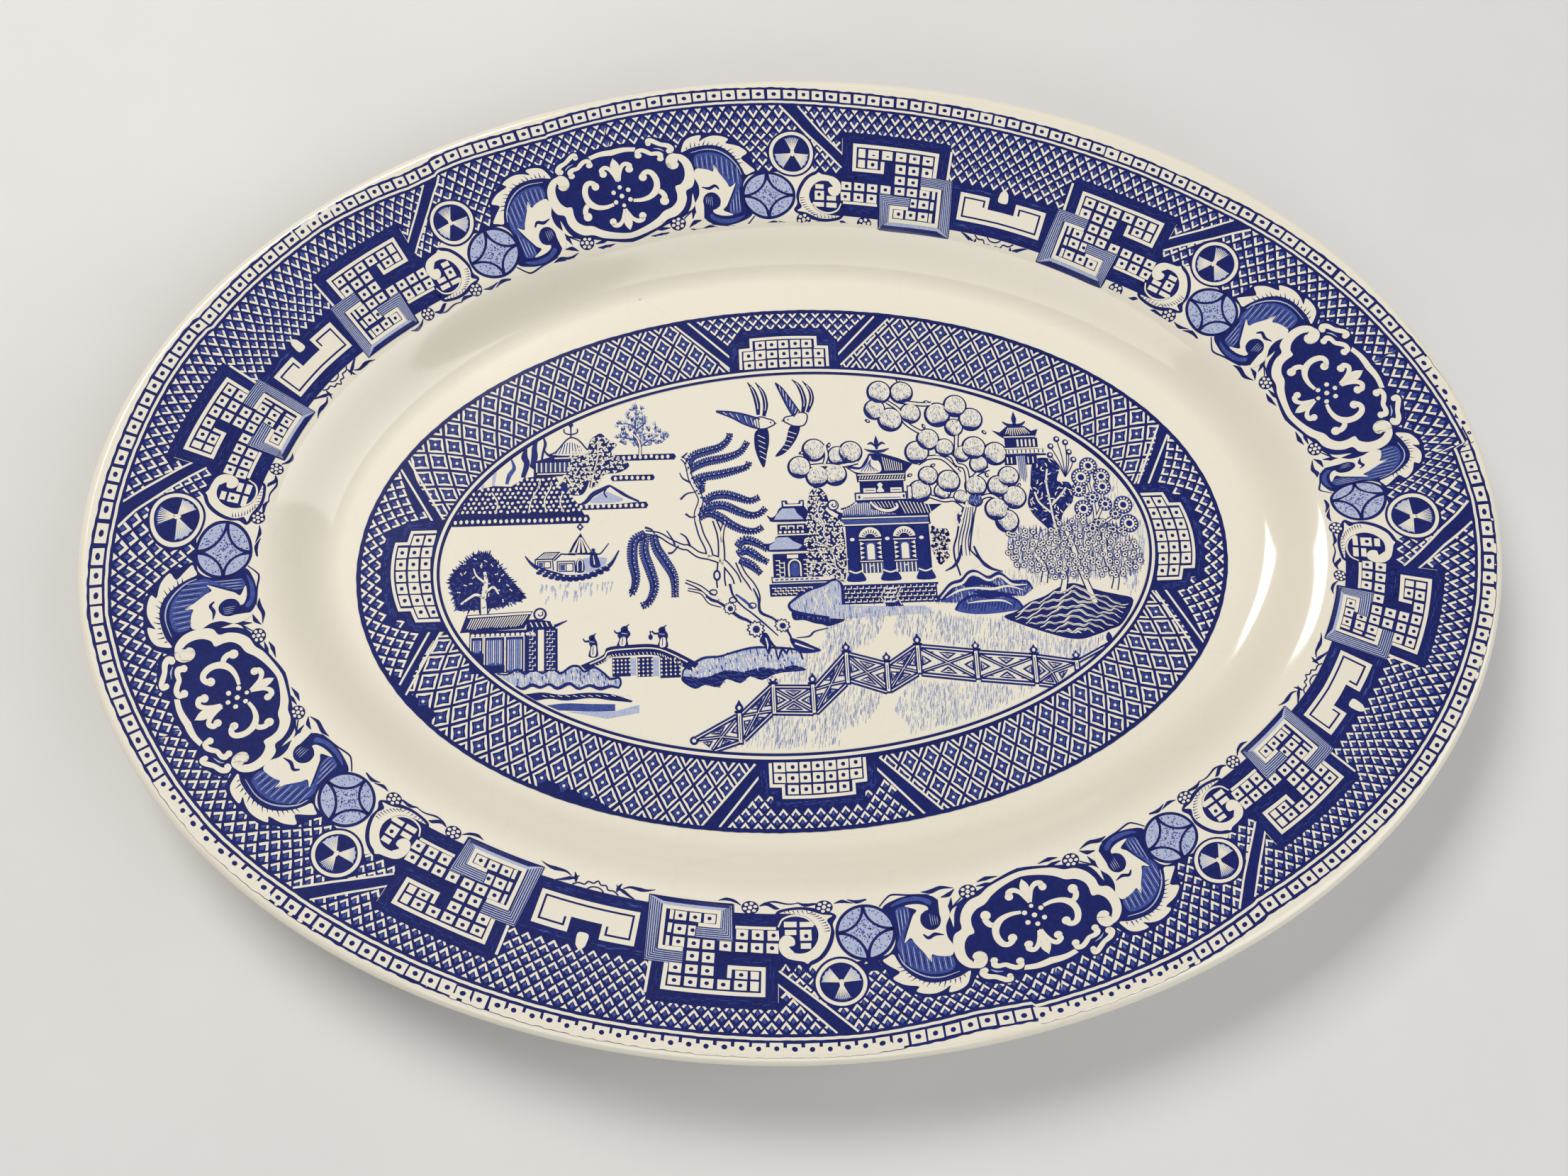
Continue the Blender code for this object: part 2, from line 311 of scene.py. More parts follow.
def draw_net():
    """Fish-scale net over the sloping ground."""
    P, Q = 2.92, 1.74
    rs = np.random.RandomState(3)
    for r in range(-1, 10):
        tip = 9.8 + Q * r
        n = int(202 / P) + 1
        for i in range(n + 1):
            u = -101 + (i + (0.5 if r % 2 else 0)) * P
            a = abs(u)
            if u > 101:
                continue
            if a < 15.6 and tip > 22.4 or 15.6 <= a < 44.2 and tip > 13.4:
                continue
            if a < 17.4 and a >= 15.6 and tip > 22.4:
                continue
            if a >= 44.2 and tip > 24.6 or a > 69 and tip > 19:
                continue
            if ((a - 57.3) / 5.6) ** 2 + ((tip - 1 - 18.8) / 6.0) ** 2 < 1:
                continue
            if 44 < a < 60 and -1.3 < (tip - 0.8) - (20.6 - (a - 43.6) * 0.92) < 2.0:
                continue
            if a > 74 and tip > 15 + max(0, (a - 84)) * 0.0 and a < 84:
                continue
            j = rs.normal(0, .05, 4)
            f = 1 + j[0]
            W_._put("rim_net", ("poly", np.array([(u - 1.12 * f, tip - 1.46), (u - .72, tip - 1.80 + j[1]), (u + j[2], tip - .78), (u + .70, tip - 1.80),
                                                  (u + 1.12 * f, tip - 1.46), (u, tip + j[3])])))
            W_._put("rim_net_tint", ("poly", np.array([(u - .42, tip - 1.82), (u + .02, tip - 2.42), (u + .44, tip - 1.80), (u, tip - 1.18)])))


def draw_ground():
    edge = [(0, 22.9), (15.5, 22.9), (15.6, 14), (44.0, 14), (44.1, 25.0), (50, 24.6), (52, 22.5), (62, 24.0), (66, 24.6), (70, 21), (74, 18), (101, 18)]
    us = np.unique(np.r_[np.arange(0, 101.01, 1.2), [e[0] for e in edge], 101])
    vs = np.interp(us, [e[0] for e in edge], [e[1] for e in edge])
    for k in range(4):
        a = np.stack([us, 7 + (vs - 7) * k / 4], 1)
        b = np.stack([us, 7 + (vs - 7) * (k + 1) / 4], 1)
        H.band("rim_ground", a, b)


def draw_bar():
    H.fill("bar_ink", [(43.4, 18.6), (55.5, 6.9), (60.0, 6.9), (43.4, 22.8)])
    H.line("bar_lines", [(43.6, 18.75), (55.6, 7.1)], [.42, .5, .5, .36])
    H.line("bar_lines", [(43.6, 22.5), (50, 16.6), (59.9, 7.15)], [.5, .52, .46])


def draw_roundel(cx=57.3, cy=18.8):
    H.dot("motif_dark", cx, cy, 6.05, 6.45, 40)
    H.ring("motif_white", cx, cy, 5.08, 5.5, .85, 44)
    for k, a in enumerate((-90, 30, 150)):
        r = math.radians(a)
        pts = [(cx, cy)]
        for t in np.linspace(-27, 27, 7):
            q = r + math.radians(t)
            m = 4.15 + (0.15 if int(t) % 2 else -0.1)
            pts.append((cx + m * math.cos(q), cy + m * 1.08 * math.sin(q)))
        H._put("motif_tint" if k == 0 else "motif_pale", ("poly", np.array(pts)))
        for t in np.linspace(-22, 22, 7 if k else 8):
            q = r + math.radians(t)
            w = .34 if k == 2 else .2
            H.line("motif_lights", [(cx + .5 * math.cos(q), cy + .5 * math.sin(q)), (cx + 3.95 * math.cos(q), cy + 4.25 * math.sin(q))], [.1, w, w * .8])
    H.dot("motif_lights", cx, cy - .1, .5, .95, 14)


def draw_coin(cx=63.7, cy=30.7, R=6.9):
    H.dot("motif_dark", cx, cy, R, R, 44)
    H.dot("motif_pale", cx, cy, R - .75, R - .75, 44)
    for q in range(4):
        a = math.radians(45 + 90 * q)
        kx, ky = cx + R * 1.32 * math.cos(a), cy + R * 1.32 * math.sin(a)
        r = R * .92
        b = math.atan2(cy - ky, cx - kx)
        H.line("motif_lines", oval(kx, ky, r, r, 16, b - .78, b + .78), [.8, .66, .6, .66, .8], step=9)
    rs = np.random.RandomState(11)
    n = 0
    while n < 200:
        x, y = rs.uniform(-R + 1, R - 1, 2)
        if math.hypot(x, y) > R - 1.1:
            continue
        inner = all(math.hypot(x - sx * R * .933, y - sy * R * .933) > R * .92 + .5 for sx in (-1, 1) for sy in (-1, 1))
        if not inner and rs.rand() < .55:
            continue
        n += 1
        s = .13 + rs.rand() * .12
        H._put("coin_stipple", ("poly", oval(cx + x, cy + y, s, s * .8, 5, tilt=rs.rand() * 3)))


def draw_scroll():
    """White C-scroll round a small squared disc."""
    H.blob("motif_dark", [(43.2, 30), (43.4, 26.2), (45.2, 24.2), (48, 23.6), (50.6, 23.3), (53.6, 24.9), (55.6, 27.6), (56.6, 30.6), (56.4, 33.2),
                          (57.3, 35.3), (54.4, 36.8), (50, 37.8), (46, 37.5), (43.4, 36.4), (42.7, 33)], 6)
    H.blob("motif_white", [(44.05, 28.6), (44.4, 26.5), (45.8, 25.1), (47.8, 24.55), (49.4, 24.3), (50.3, 23.8), (51.0, 24.4), (52.8, 25.4), (54.5, 27.6),
                           (55.6, 30.2), (55.8, 32.4), (55.1, 34.2), (56.4, 35.3), (54.0, 35.7), (50.6, 36.9), (47.2, 37.0), (44.2, 36.2),
                           (47.5, 36.0), (50.5, 35.2), (52.3, 33.2), (53.0, 30.8), (52.4, 28.5), (50.9, 26.8), (49.2, 26.2), (47.3, 26.4),
                           (46.6, 27.5), (47.6, 28.3), (47.5, 29.6), (46.3, 30.5), (44.9, 30.2)], 4)
    H.dot("motif_lines", 48.6, 31.2, 4.2, 4.3, 30)
    H.blob("motif_lights", [(44.05, 28.6), (44.6, 26.8), (46.0, 26.0), (47.4, 26.4), (46.3, 27.7), (47.55, 28.2), (47.5, 29.6), (46.3, 30.5), (44.9, 30.2)], 4)
    for x0, y0, x1, y1 in ((45.4, 30.6, 48.0, 31.9), (48.8, 29.2, 51.4, 31.9), (48.9, 27.3, 51.2, 28.6), (45.2, 32.6, 48.1, 34.0), (48.8, 32.6, 51.9, 33.9)):
        H.box("motif_lights", x0, y0, x1, y1)
    H.dot("motif_fine", 50.2, 30.3, .5)
    H.curve("motif_lights", [(43.9, 32.6), (45.0, 34.7), (47.6, 35.6), (50.4, 34.9), (52.2, 33.0)], [.35, .5, .35])
    for k in range(9):
        a = 0.05 + k * 0.13
        x, y = 48.6 + 7.0 * math.cos(a), 31.2 + 5.7 * math.sin(a)
        H.line("motif_lines", [(x, y), (x - 1.35, y - .25)], [.3, .06])
    for k in range(7):
        x = 45.2 + k * 1.05
        H.line("motif_lines", [(x, 36.9), (x + .45, 35.9)], [.28, .05])


def draw_fret():
    """Key fret: dotted squares in a white frame, on navy, with a hatched shade."""
    # navy blocks
    H.box("motif_dark", 16.2, 12.3, 43.9, 25.9)
    H.box("motif_dark", 13.9, 22.0, 44.2, 36.0)
    H.fill("motif_dark", [(14.0, 22.0), (23, 22.0), (34, 28.4), (34, 28.4), (33.4, 38.2), (12.9, 38.2)])
    # lighter brushed bands in the navy
    rs = np.random.RandomState(5)
    for x0, x1, y0, y1 in ((19, 43, 13.0, 14.3), (34, 42.5, 23.7, 24.9), (35, 42, 33.4, 34.9), (17.0, 18.0, 14.5, 21.2), (42.0, 43.0, 14.5, 23)):
        long_x = x1 - x0 > y1 - y0
        L = (x1 - x0) if long_x else (y1 - y0)
        n = int(L / .9)
        for k in range(n):
            t = (k + rs.rand()) / n
            l = rs.uniform(.3, .95)
            o = rs.rand()
            if long_x:
                c, y = x0 + t * (x1 - x0), y0 + o * (y1 - y0)
                H.line("motif_tint", [(c - l, y), (c + l, y + rs.normal(0, .05))], [.08, .3, .08])
            else:
                x, c = x0 + o * (x1 - x0), y0 + t * (y1 - y0)
                H.line("motif_tint", [(x, c - l), (x, c + l)], [.06, .22, .06])
    # hatched shade: lower left frame, then the small inner one
    H.fill("motif_pale", [(14.3, 22.1), (22.8, 22.1), (22.8, 25.1), (17.0, 25.1), (16.6, 36.2), (32.9, 36.2), (32.9, 37.0), (32.6, 38.1), (13.1, 38.1)])
    H.fill("motif_pale", [(25.1, 28.7), (33.9, 28.7), (33.3, 38.0), (30.6, 36.1), (30.6, 31.6), (25.1, 31.6)])
    for k in range(6):
        o = .25 + k * .5
        H.line("motif_lines", [(22.8, 22.15 + o), (14.4 + o * .93, 22.15 + o), (13.2 + o * 1.12, 38.05 - o * .62)], [.26, .24, .22])
        if k < 5:
            H.line("motif_lines", [(13.5 + o * 1.25, 38.05 - o * .42), (32.9 - o * .35, 38.05 - o * .42)], [.2, .18])
    for k in range(6):
        o = .22 + k * .52
        H.line("motif_lines", [(25.1, 28.7 + o), (33.8 - o, 28.7 + o), (33.1 - o * .75, 37.9 - o * .5)], [.24, .22, .2])
    H.line("motif_lines", [(13.0, 38.15), (33.0, 38.15)], .3)
    H.line("motif_lines", [(14.35, 22.0), (13.0, 38.2)], .28)
    H.line("motif_lines", [(33.85, 28.5), (33.1, 38.2)], .28)
    H.line("motif_lines", [(16.8, 25.2), (16.35, 36.3)], .34)
    # white frame
    for pts in ([(19.4, 22.0), (19.4, 15.75), (40.7, 15.75), (40.7, 22.35), (33.3, 22.35), (33.3, 19.6)],
                [(22.6, 25.6), (17.5, 25.6), (17.05, 35.75), (30.0, 35.75), (30.0, 32.15), (25.4, 32.15)]):
        H.line("motif_lights", pts, .95, step=3)
    H.line("motif_lights", [(34.0, 32.25), (43.4, 32.25)], .75)
    # navy behind the squares so that the hatch stops there
    H.box("motif_dark2", 20.1, 16.3, 30.0, 22.0)
    H.box("motif_dark2", 20.1, 16.3, 40.1, 19.2)
    H.box("motif_dark2", 33.9, 16.3, 40.1, 21.8)
    H.box("motif_dark2", 23.0, 21.5, 30.0, 28.8)
    H.box("motif_dark2", 18.1, 26.1, 25.0, 35.2)
    H.box("motif_dark2", 24.9, 32.7, 29.4, 35.2)
    H.box("motif_dark2", 30.2, 25.8, 44.0, 28.6)
    H.box("motif_dark2", 34.0, 28.4, 44.0, 31.8)
    # the dotted squares
    def cell(c, r, w=1.36, h=1.18, dot=True, l=None, rr=None):
        j = rs.normal(0, .05, 6)
        x0 = c - w if l is None else l
        x1 = c + w if rr is None else rr
        H.fill("motif_cells", [(x0 + .06, r - h + j[0]), (x1, r - h + j[1]), (x1 + j[2], r + h), (x0, r + h + j[3])], 4)
        if dot:
            H.dot("motif_fine", c + j[4], r + j[5], .52, .5, 9)
    for c in (21.6, 25.1, 28.6, 32.2, 35.8):
        cell(c, 17.85)
    cell(38.9, 17.85, l=37.9, rr=39.7, dot=False)
    for c in (21.45, 25.0, 28.5):
        cell(c, 21.0)
    cell(35.9, 20.6, h=1.0)
    cell(38.9, 20.6, h=1.0, l=37.9, rr=39.7, dot=False)
    for c in (24.9, 28.4):
        cell(c, 24.25)
    for c in (21.4, 24.8, 28.2, 32.0, 35.6, 39.1, 42.6):
        cell(c, 27.35, h=1.15)
    for r in (27.35, 30.6, 33.9):
        cell(18.9, r, l=18.5, rr=19.4, dot=False)
    for c in (21.3, 35.6, 39.2, 42.8):
        cell(c, 30.45, h=1.25)
    cell(24.3, 30.45, l=23.2, rr=24.85, h=1.25)
    for c in (21.1, 24.5, 27.9):
        cell(c, 33.9, h=1.15)


def draw_plaque():
    W_.box("motif_dark", -16.4, 21.9, 16.4, 36.1)
    rs = np.random.RandomState(9)
    for y0, y1, x0, x1 in ((22.9, 23.8, 2.6, 13.6), (33.9, 35.0, 0.2, 12.2)):
        for sgn in (-1, 1):
            for k in range(16):
                c, y, l = rs.uniform(x0, x1), rs.uniform(y0, y1), rs.uniform(.3, 1.1)
                W_.line("motif_tint", [(sgn * (c - l), y), (sgn * (c + l), y)], [.08, .3, .08])
    o = [(-11.7, 24.6), (-3.6, 24.6), (-3.6, 28.4), (3.6, 28.4), (3.6, 24.6), (11.7, 24.6), (11.7, 33.1), (-11.7, 33.1)]
    W_.fill("motif_white", o)
    i = [(-10.3, 26.0), (-4.8, 26.0), (-4.8, 28.2), (4.8, 28.2), (4.8, 26.0), (10.3, 26.0), (10.3, 31.8), (-10.3, 31.8)]
    W_.line("motif_lines", [(4.85, 28.1), (4.85, 26.05), (10.35, 26.05), (10.35, 31.85), (-10.35, 31.85), (-10.35, 26.05), (-4.85, 26.05), (-4.85, 28.1)], .5, step=4)
    W_.blob("motif_white", [(-1.15, 25.2), (-1.15, 22.8), (-.8, 21.9), (0, 21.2), (.8, 21.9), (1.15, 22.8), (1.15, 25.2)], 4)
    # the ornament under it
    W_.curve("motif_dark", [(-5.6, 36.2), (-4.4, 37.0), (-2.9, 37.0), (-2.2, 37.9), (-.9, 37.8), (0, 38.6), (.9, 37.8), (2.2, 37.9), (2.9, 37.0), (4.4, 37.0), (5.6, 36.2)], .36)
    W_.curve("motif_dark", [(-2.0, 36.1), (-1.1, 36.8), (0, 37.0), (1.1, 36.8), (2.0, 36.1)], .34)
    for sgn in (-1, 1):
        W_.curve("motif_dark", [(sgn * 4.6, 38.7), (sgn * 5.4, 38.0), (sgn * 6.6, 37.5), (sgn * 8.6, 36.5), (sgn * 9.6, 36.2)], [.25, .5, .9, .5, .15])
        W_.curve("motif_dark", [(sgn * 5.0, 37.0), (sgn * 5.3, 38.3), (sgn * 5.9, 39.4)], [.3, .9, .6, .1])
        W_.curve("motif_dark", [(sgn * 6.4, 38.2), (sgn * 8.0, 38.9), (sgn * 10.6, 38.8), (sgn * 12.2, 38.9), (sgn * 14.2, 39.5)], [.25, .55, 1.0, .6, .12])


def flower(pen, x, y, r=.62):
    pen.dot("motif_dark", x, y, 2.1, 1.75, 16)
    pen.dot("motif_lights", x, y, r * .8)
    for k in range(6):
        a = k * math.pi / 3 + .3
        pen.dot("motif_lights", x + 1.3 * math.cos(a), y + 1.1 * math.sin(a), r * .78, r * .62, 9)


def sprig(pen, pts, w):
    pen.curve("motif_dark", pts, w)


def draw_sprigs():
    flower(H, 37.2, 37.5)
    flower(H, 54.6, 37.6)
    flower(H, 88.4, 36.6)
    for pts, w in (([(29.5, 38.9), (31.4, 39.4), (33.4, 39.0), (35.0, 38.0)], [.1, .8, .7, .2]),
                   ([(39.4, 38.0), (41.2, 38.6), (43.2, 37.6), (44.2, 37.4)], [.25, 1.0, .9, .15]),
                   ([(40.6, 38.9), (43.0, 39.2), (46.2, 38.6), (49, 38.9)], [.15, .5, .35, .2]),
                   ([(48.2, 39.0), (50.2, 38.3), (52.6, 38.5), (53.4, 38.0)], [.15, .9, .5, .15]),
                   ([(57.0, 38.4), (59.0, 38.8), (61.4, 38.1)], [.15, .9, .12]),
                   ([(60.2, 39.2), (62.4, 38.4), (64.8, 38.8)], [.15, .95, .4]),
                   ([(77.8, 38.8), (80.0, 38.5), (82.6, 39.0), (85.4, 38.3)], [.12, 1.1, .9, .12]),
                   ([(82.2, 36.6), (84.0, 36.9), (85.6, 38.0)], [.25, 1.1, .12]),
                   ([(82.4, 32.2), (83.6, 33.6), (84.4, 36.0)], [.2, 1.3, .15]),
                   ([(81.4, 26.6), (82.0, 30.0), (83.6, 33.0), (86.6, 35.6)], [.3, .55, .4, .3]),
                   ([(84.0, 33.4), (86.0, 34.4), (88.0, 35.6)], [.2, .5, .3]),
                   ([(90.6, 37.4), (92.8, 37.3), (95.4, 37.0)], [.2, .9, .12]),
                   ([(91.0, 38.4), (93.2, 38.7), (96.0, 38.5)], [.15, 1.0, .12])):
        sprig(H, pts, w)


def draw_leaf():
    """Acanthus leaf between the coin and the cartouche."""
    H.blob("motif_dark", [(65.9, 24.0), (67.2, 20.6), (68.4, 17.2), (71.6, 14.6), (73.6, 12.9), (77.0, 12.4), (80.6, 12.2), (83.6, 13.0), (85.2, 15.4), (86.0, 18.5),
                          (84.5, 22), (83.5, 27), (83, 32), (81.6, 35.6), (79.6, 37.6), (75.5, 38.4), (71.6, 37.9), (68.2, 36.0), (70.2, 32), (70, 27.5), (68.4, 25)], 5)
    H.blob("motif_white", [(66.7, 23.4), (68.2, 21.8), (69.9, 20.0), (68.3, 18.6), (69.8, 17.0), (71.2, 16.3), (73.4, 15.6), (72.7, 14.5), (74.4, 13.6), (76.5, 13.3),
                           (78.4, 13.8), (79.9, 14.6), (79.3, 13.0), (81.5, 13.1), (83.2, 14.0), (84.1, 15.6), (84.5, 17.3), (82.4, 16.4), (79.6, 15.9), (77.0, 15.9),
                           (74.6, 16.7), (72.6, 18.4), (71.0, 20.6), (69.9, 22.8), (69.1, 24.6), (67.6, 24.0)], 4)
    for k in range(15):
        t = k / 14
        a = math.radians(205 + t * 88)
        x, y = 79.4 + 9.6 * math.cos(a), 25.4 + 9.6 * math.sin(a)
        l = 1.2 + .5 * math.sin(k * 2.1)
        H.line("motif_lines", [(x, y), (x + l * math.cos(a - .35), y + l * math.sin(a - .35))], [.34, .05])
    # the hatched blue body
    H.blob("motif_tint", [(70.3, 26.6), (71.0, 23.6), (72.6, 20.9), (75.0, 18.9), (78.0, 18.0), (81.2, 18.5), (81.9, 20.6), (81.2, 22.2), (77.8, 23.2), (76.9, 21.7), (75.4, 24.6),
                          (73.8, 27.4), (72.0, 27.0), (72.4, 29.2), (73.6, 31.6), (74.3, 34.2), (73.6, 35.8), (71.2, 35.2), (71.2, 32.4), (71.4, 29.4)], 4)
    H.blob("motif_tint", [(70.2, 36.2), (73.6, 36.9), (77.2, 36.6), (79.2, 35.2), (79.6, 36.4), (76.4, 37.9), (72.4, 37.6)], 4)
    for k in range(17):
        x = 71.2 + k * .62
        y0 = 18.2 + abs(x - 78.4) ** 1.6 * .14
        y1 = min(27.4, 22.8 + max(0, 77 - x) * .95)
        if x > 81.6:
            break
        H.line("motif_lines" if k % 2 else "motif_lights2", [(x, y0 + .4), (x, y1 - .3)], [.1, .26 if k % 2 else .17, .08], step=3)
    for k in range(7):
        x = 71.3 + k * .42
        H.line("motif_lines" if k % 2 else "motif_lights2", [(x, 28.6 + k * .7), (x + .15, 35.2)], [.1, .24, .08], step=3)
    H.curve("motif_lights2", [(70.2, 24.6), (71.0, 22.2), (73.0, 19.6), (75.6, 17.7), (78.6, 17.05), (82.4, 17.7)], [.18, .34, .36, .3, .14])
    # the cream inner leaf with its hook and dark ball
    H.blob("motif_white", [(76.95, 21.5), (77.4, 23.3), (78.8, 22.7), (81.6, 22.3), (82.4, 24.4), (81.6, 26.8), (81.8, 29.4), (83.2, 32.0), (83.0, 35.0), (81.6, 36.6),
                           (81.0, 33.0), (80.8, 30.4), (79.4, 29.1), (77.6, 29.3), (76.4, 31.0), (76.8, 33.2), (78.6, 34.1), (78.2, 35.2), (76.0, 36.0), (73.4, 35.9),
                           (75.9, 34.5), (74.9, 33.2), (73.9, 31.2), (72.8, 28.9), (72.0, 26.9), (73.5, 27.9), (74.3, 26.4), (75.9, 23.8)], 4)
    H.dot("motif_lines", 78.7, 31.6, 2.35, 2.5, 24)
    H.curve("motif_lines", [(76.4, 28.3), (77.4, 27.3), (79.0, 27.9), (80.9, 27.4)], [.35, .8, .9, .2])
    for k in range(4):
        H.line("motif_lights2", [(78.6 + k * .5, 30.1), (78.7 + k * .5, 33.0 - k * .3)], [.06, .14, .06])
    H.curve("motif_dark", [(67.6, 36.6), (69.4, 38.4), (71.0, 39.2), (74.4, 38.6), (77.4, 38.2), (79.6, 37.8)], [.3, .4, .45, .35, .2])


def draw_cartouche():
    """Scalloped cartouche, half of it: its middle is at u = 101."""
    H.fill("motif_dark", smooth([(101.2, 12.6), (97.4, 12.5), (94.6, 13.2), (92.0, 11.9), (89.4, 12.4), (86.4, 13.9), (85.4, 16.4), (82.6, 18.2), (81.3, 22.0),
                                 (81.6, 26.0), (83.4, 28.8), (84.4, 32.4), (86.6, 35.0), (91.0, 36.4), (94.6, 37.6), (98.4, 38.6), (101.2, 39.0)], 4).tolist()
           + [(101.2, 25.0)], 3)
    # white outline: the big side scroll down to the point
    outer = smooth([(86.7, 17.4), (84.6, 18.0), (83.0, 19.8), (82.3, 22.2), (82.4, 25.0), (83.2, 27.0), (84.9, 28.0), (85.1, 30.2), (86.2, 32.6), (88.2, 34.4),
                    (90.8, 35.1), (93.0, 36.4), (96.0, 37.3), (99.0, 37.9), (101.1, 38.1)], 5)
    inner = smooth([(86.4, 19.0), (85.4, 19.7), (84.7, 21.0), (84.5, 22.8), (84.9, 24.6), (86.0, 26.0), (87.4, 26.5), (87.3, 28.6), (87.7, 30.4), (89.2, 31.9),
                    (91.4, 32.7), (93.4, 34.3), (96.0, 35.6), (99.0, 36.5), (101.1, 36.8)], 5)
    H.band("motif_white", outer, inner)
    H.dot("motif_white", 87.15, 20.0, 1.55, 1.85, 18)
    H.blob("motif_white", [(85.9, 17.6), (87.4, 17.5), (88.5, 18.8), (88.6, 20.6), (87.6, 21.8), (86.2, 21.6), (85.6, 20.4), (86.0, 19.2)], 4)
    H.curve("motif_lines", [(85.5, 19.2), (85.7, 20.0), (85.4, 20.8)], [.1, .35, .1])
    # top arc
    H.band("motif_white", smooth([(95.1, 14.2), (97.4, 13.7), (99.2, 13.6), (101.1, 13.75)], 4), smooth([(95.6, 15.3), (97.6, 15.0), (99.2, 15.1), (101.1, 15.4)], 4))
    # small corner scrolls
    H.curve("motif_white", [(87.2, 17.0), (86.9, 15.9), (87.6, 14.9), (89.2, 14.3), (90.2, 13.6), (91.2, 12.9), (92.0, 12.9), (92.2, 13.8)], [1.0, 1.5, 1.3, 1.1, 1.2, 1.2, 1.2, .9])
    H.dot("motif_white", 87.4, 16.5, .75)
    H.dot("motif_white", 92.0, 13.7, .62)
    H.curve("motif_white", [(89.8, 18.8), (89.7, 17.4), (90.4, 16.8), (91.8, 16.7), (92.8, 15.9), (93.8, 15.3), (94.8, 15.5), (95.1, 16.6)], [1.0, 1.5, 1.2, 1.1, 1.2, 1.2, 1.3, 1.1])
    H.dot("motif_white", 89.8, 18.5, .8)
    H.dot("motif_white", 94.9, 16.7, .85)
    H.curve("motif_pale", [(88.6, 16.4), (89.6, 15.6), (91.0, 15.2)], [.1, .4, .1])
    # the arabesque
    H.curve("motif_lights", [(95.2, 23.2), (94.6, 22.2), (93.6, 21.7), (92.6, 22.2), (91.9, 23.6), (91.8, 25.2), (92.4, 26.9), (94.0, 28.2), (96.2, 28.7), (98.4, 28.5)],
            [1.0, 1.3, 1.3, 1.4, 1.5, 1.5, 1.7, 1.3, 1.0, .8])
    H.dot("motif_lights", 94.9, 23.0, 1.0)
    H.curve("motif_lights", [(92.6, 27.0), (91.2, 27.4), (90.5, 28.6), (90.7, 30.0)], [1.0, 1.3, 1.4, 1.5])
    H.dot("motif_lights", 90.75, 29.9, 1.15)
    H.curve("motif_lights", [(97.7, 20.4), (97.5, 19.2), (98.4, 18.5), (99.4, 19.2), (100.2, 20.8), (100.7, 23.0)], [1.0, 1.4, 1.2, 1.1, 1.0, .6])
    H.dot("motif_lights", 97.7, 20.3, .95)
    H.fill("motif_lights", smooth([(101.1, 16.2), (100.2, 17.6), (99.9, 19.0), (100.5, 20.8), (100.7, 22.8), (101.1, 23.4)], 4), 4)
    H.curve("motif_lights", [(97.0, 32.6), (97.2, 33.8), (98.4, 34.1), (99.6, 33.2), (100.3, 31.8), (100.8, 30.2)], [1.2, 1.4, 1.2, 1.0, .9, .5])
    H.dot("motif_lights", 97.0, 32.9, .95)
    H.fill("motif_lights", smooth([(101.1, 36.2), (100.3, 35.2), (99.9, 33.8), (100.5, 32.4), (101.1, 30.6)], 4), 4)
    for x, y, r in ((101.0, 24.6, .55), (99.1, 25.6, .58), (101.0, 26.9, .6), (99.1, 28.1, .58), (101.0, 29.3, .5)):
        H.dot("motif_lights", x, y, r)


CENTRE_NAMES = ("centre_", "scene_")
INKS.update({"motif_dark2": ("navy", 8), "motif_cells": ("white", 9), "motif_lights2": ("pale", 9), "coin_stipple": ("mid", 7)})


def draw_border():
    draw_border_rules()
    draw_squares()
    draw_ground()
    draw_net()
    draw_bar()
    draw_leaf()
    draw_coin()
    draw_roundel()
    draw_plaque()
    draw_fret()
    draw_scroll()
    draw_cartouche()
    draw_sprigs()
    # lay the sections: every shape goes through the same stretch as the tissue
    for store, sides in ((WHOLE, (1,)), (HALF, (1, -1))):
        flat, cut = [], []
        for piece, prim in store:
            arrs = prim[1:]
            cut.append((piece, prim[0], [len(a) for a in arrs]))
            flat.extend(arrs)
        pts = np.vstack(flat)
        for sec in (1, 2, 3, 4):
            for sg in sides:
                x, y = place(pts[:, 0] * sg, pts[:, 1], sec)
                xy = np.stack([x, y], 1)
                i = 0
                for piece, kind, ns in cut:
                    arrs = []
                    for n in ns:
                        arrs.append(xy[i:i + n])
                        i += n
                    ART.setdefault(piece, []).append((kind,) + tuple(arrs))


draw_border()

# ------------------------------------------------------------- centre medallion
C = Pen(ART)
INKS.update({
    "centre_ground": ("navy", 0), "centre_cells": ("white", 1), "centre_diamonds": ("navy", 2), "centre_hatch": ("mid", 3),
    "centre_cell_dots": ("white", 4), "centre_wedges": ("navy", 5), "centre_net": ("white", 6), "centre_net_tint": ("mid", 6),
    "centre_bar_lines": ("white", 6), "centre_block": ("navy", 7), "centre_block_tint": ("mid", 8), "centre_frames": ("white", 9),
    "centre_squares": ("white", 9), "centre_square_dots": ("navy", 10), "centre_rings": ("navy", 10), "centre_ring_white": ("white", 11)})


def on_oval(t, cx, cy, rx, ry, tilt, off=0.0):
    """A point of a tilted oval and, off millimetres out along its normal."""
    t = np.asarray(t, float)
    c, s = np.cos(t), np.sin(t)
    nx, ny = ry * c, rx * s
    n = np.hypot(nx, ny)
    x, y = rx * c + nx / n * off, ry * s + ny / n * off
    a, b = math.cos(tilt), math.sin(tilt)
    return cx + x * a - y * b, cy + x * b + y * a


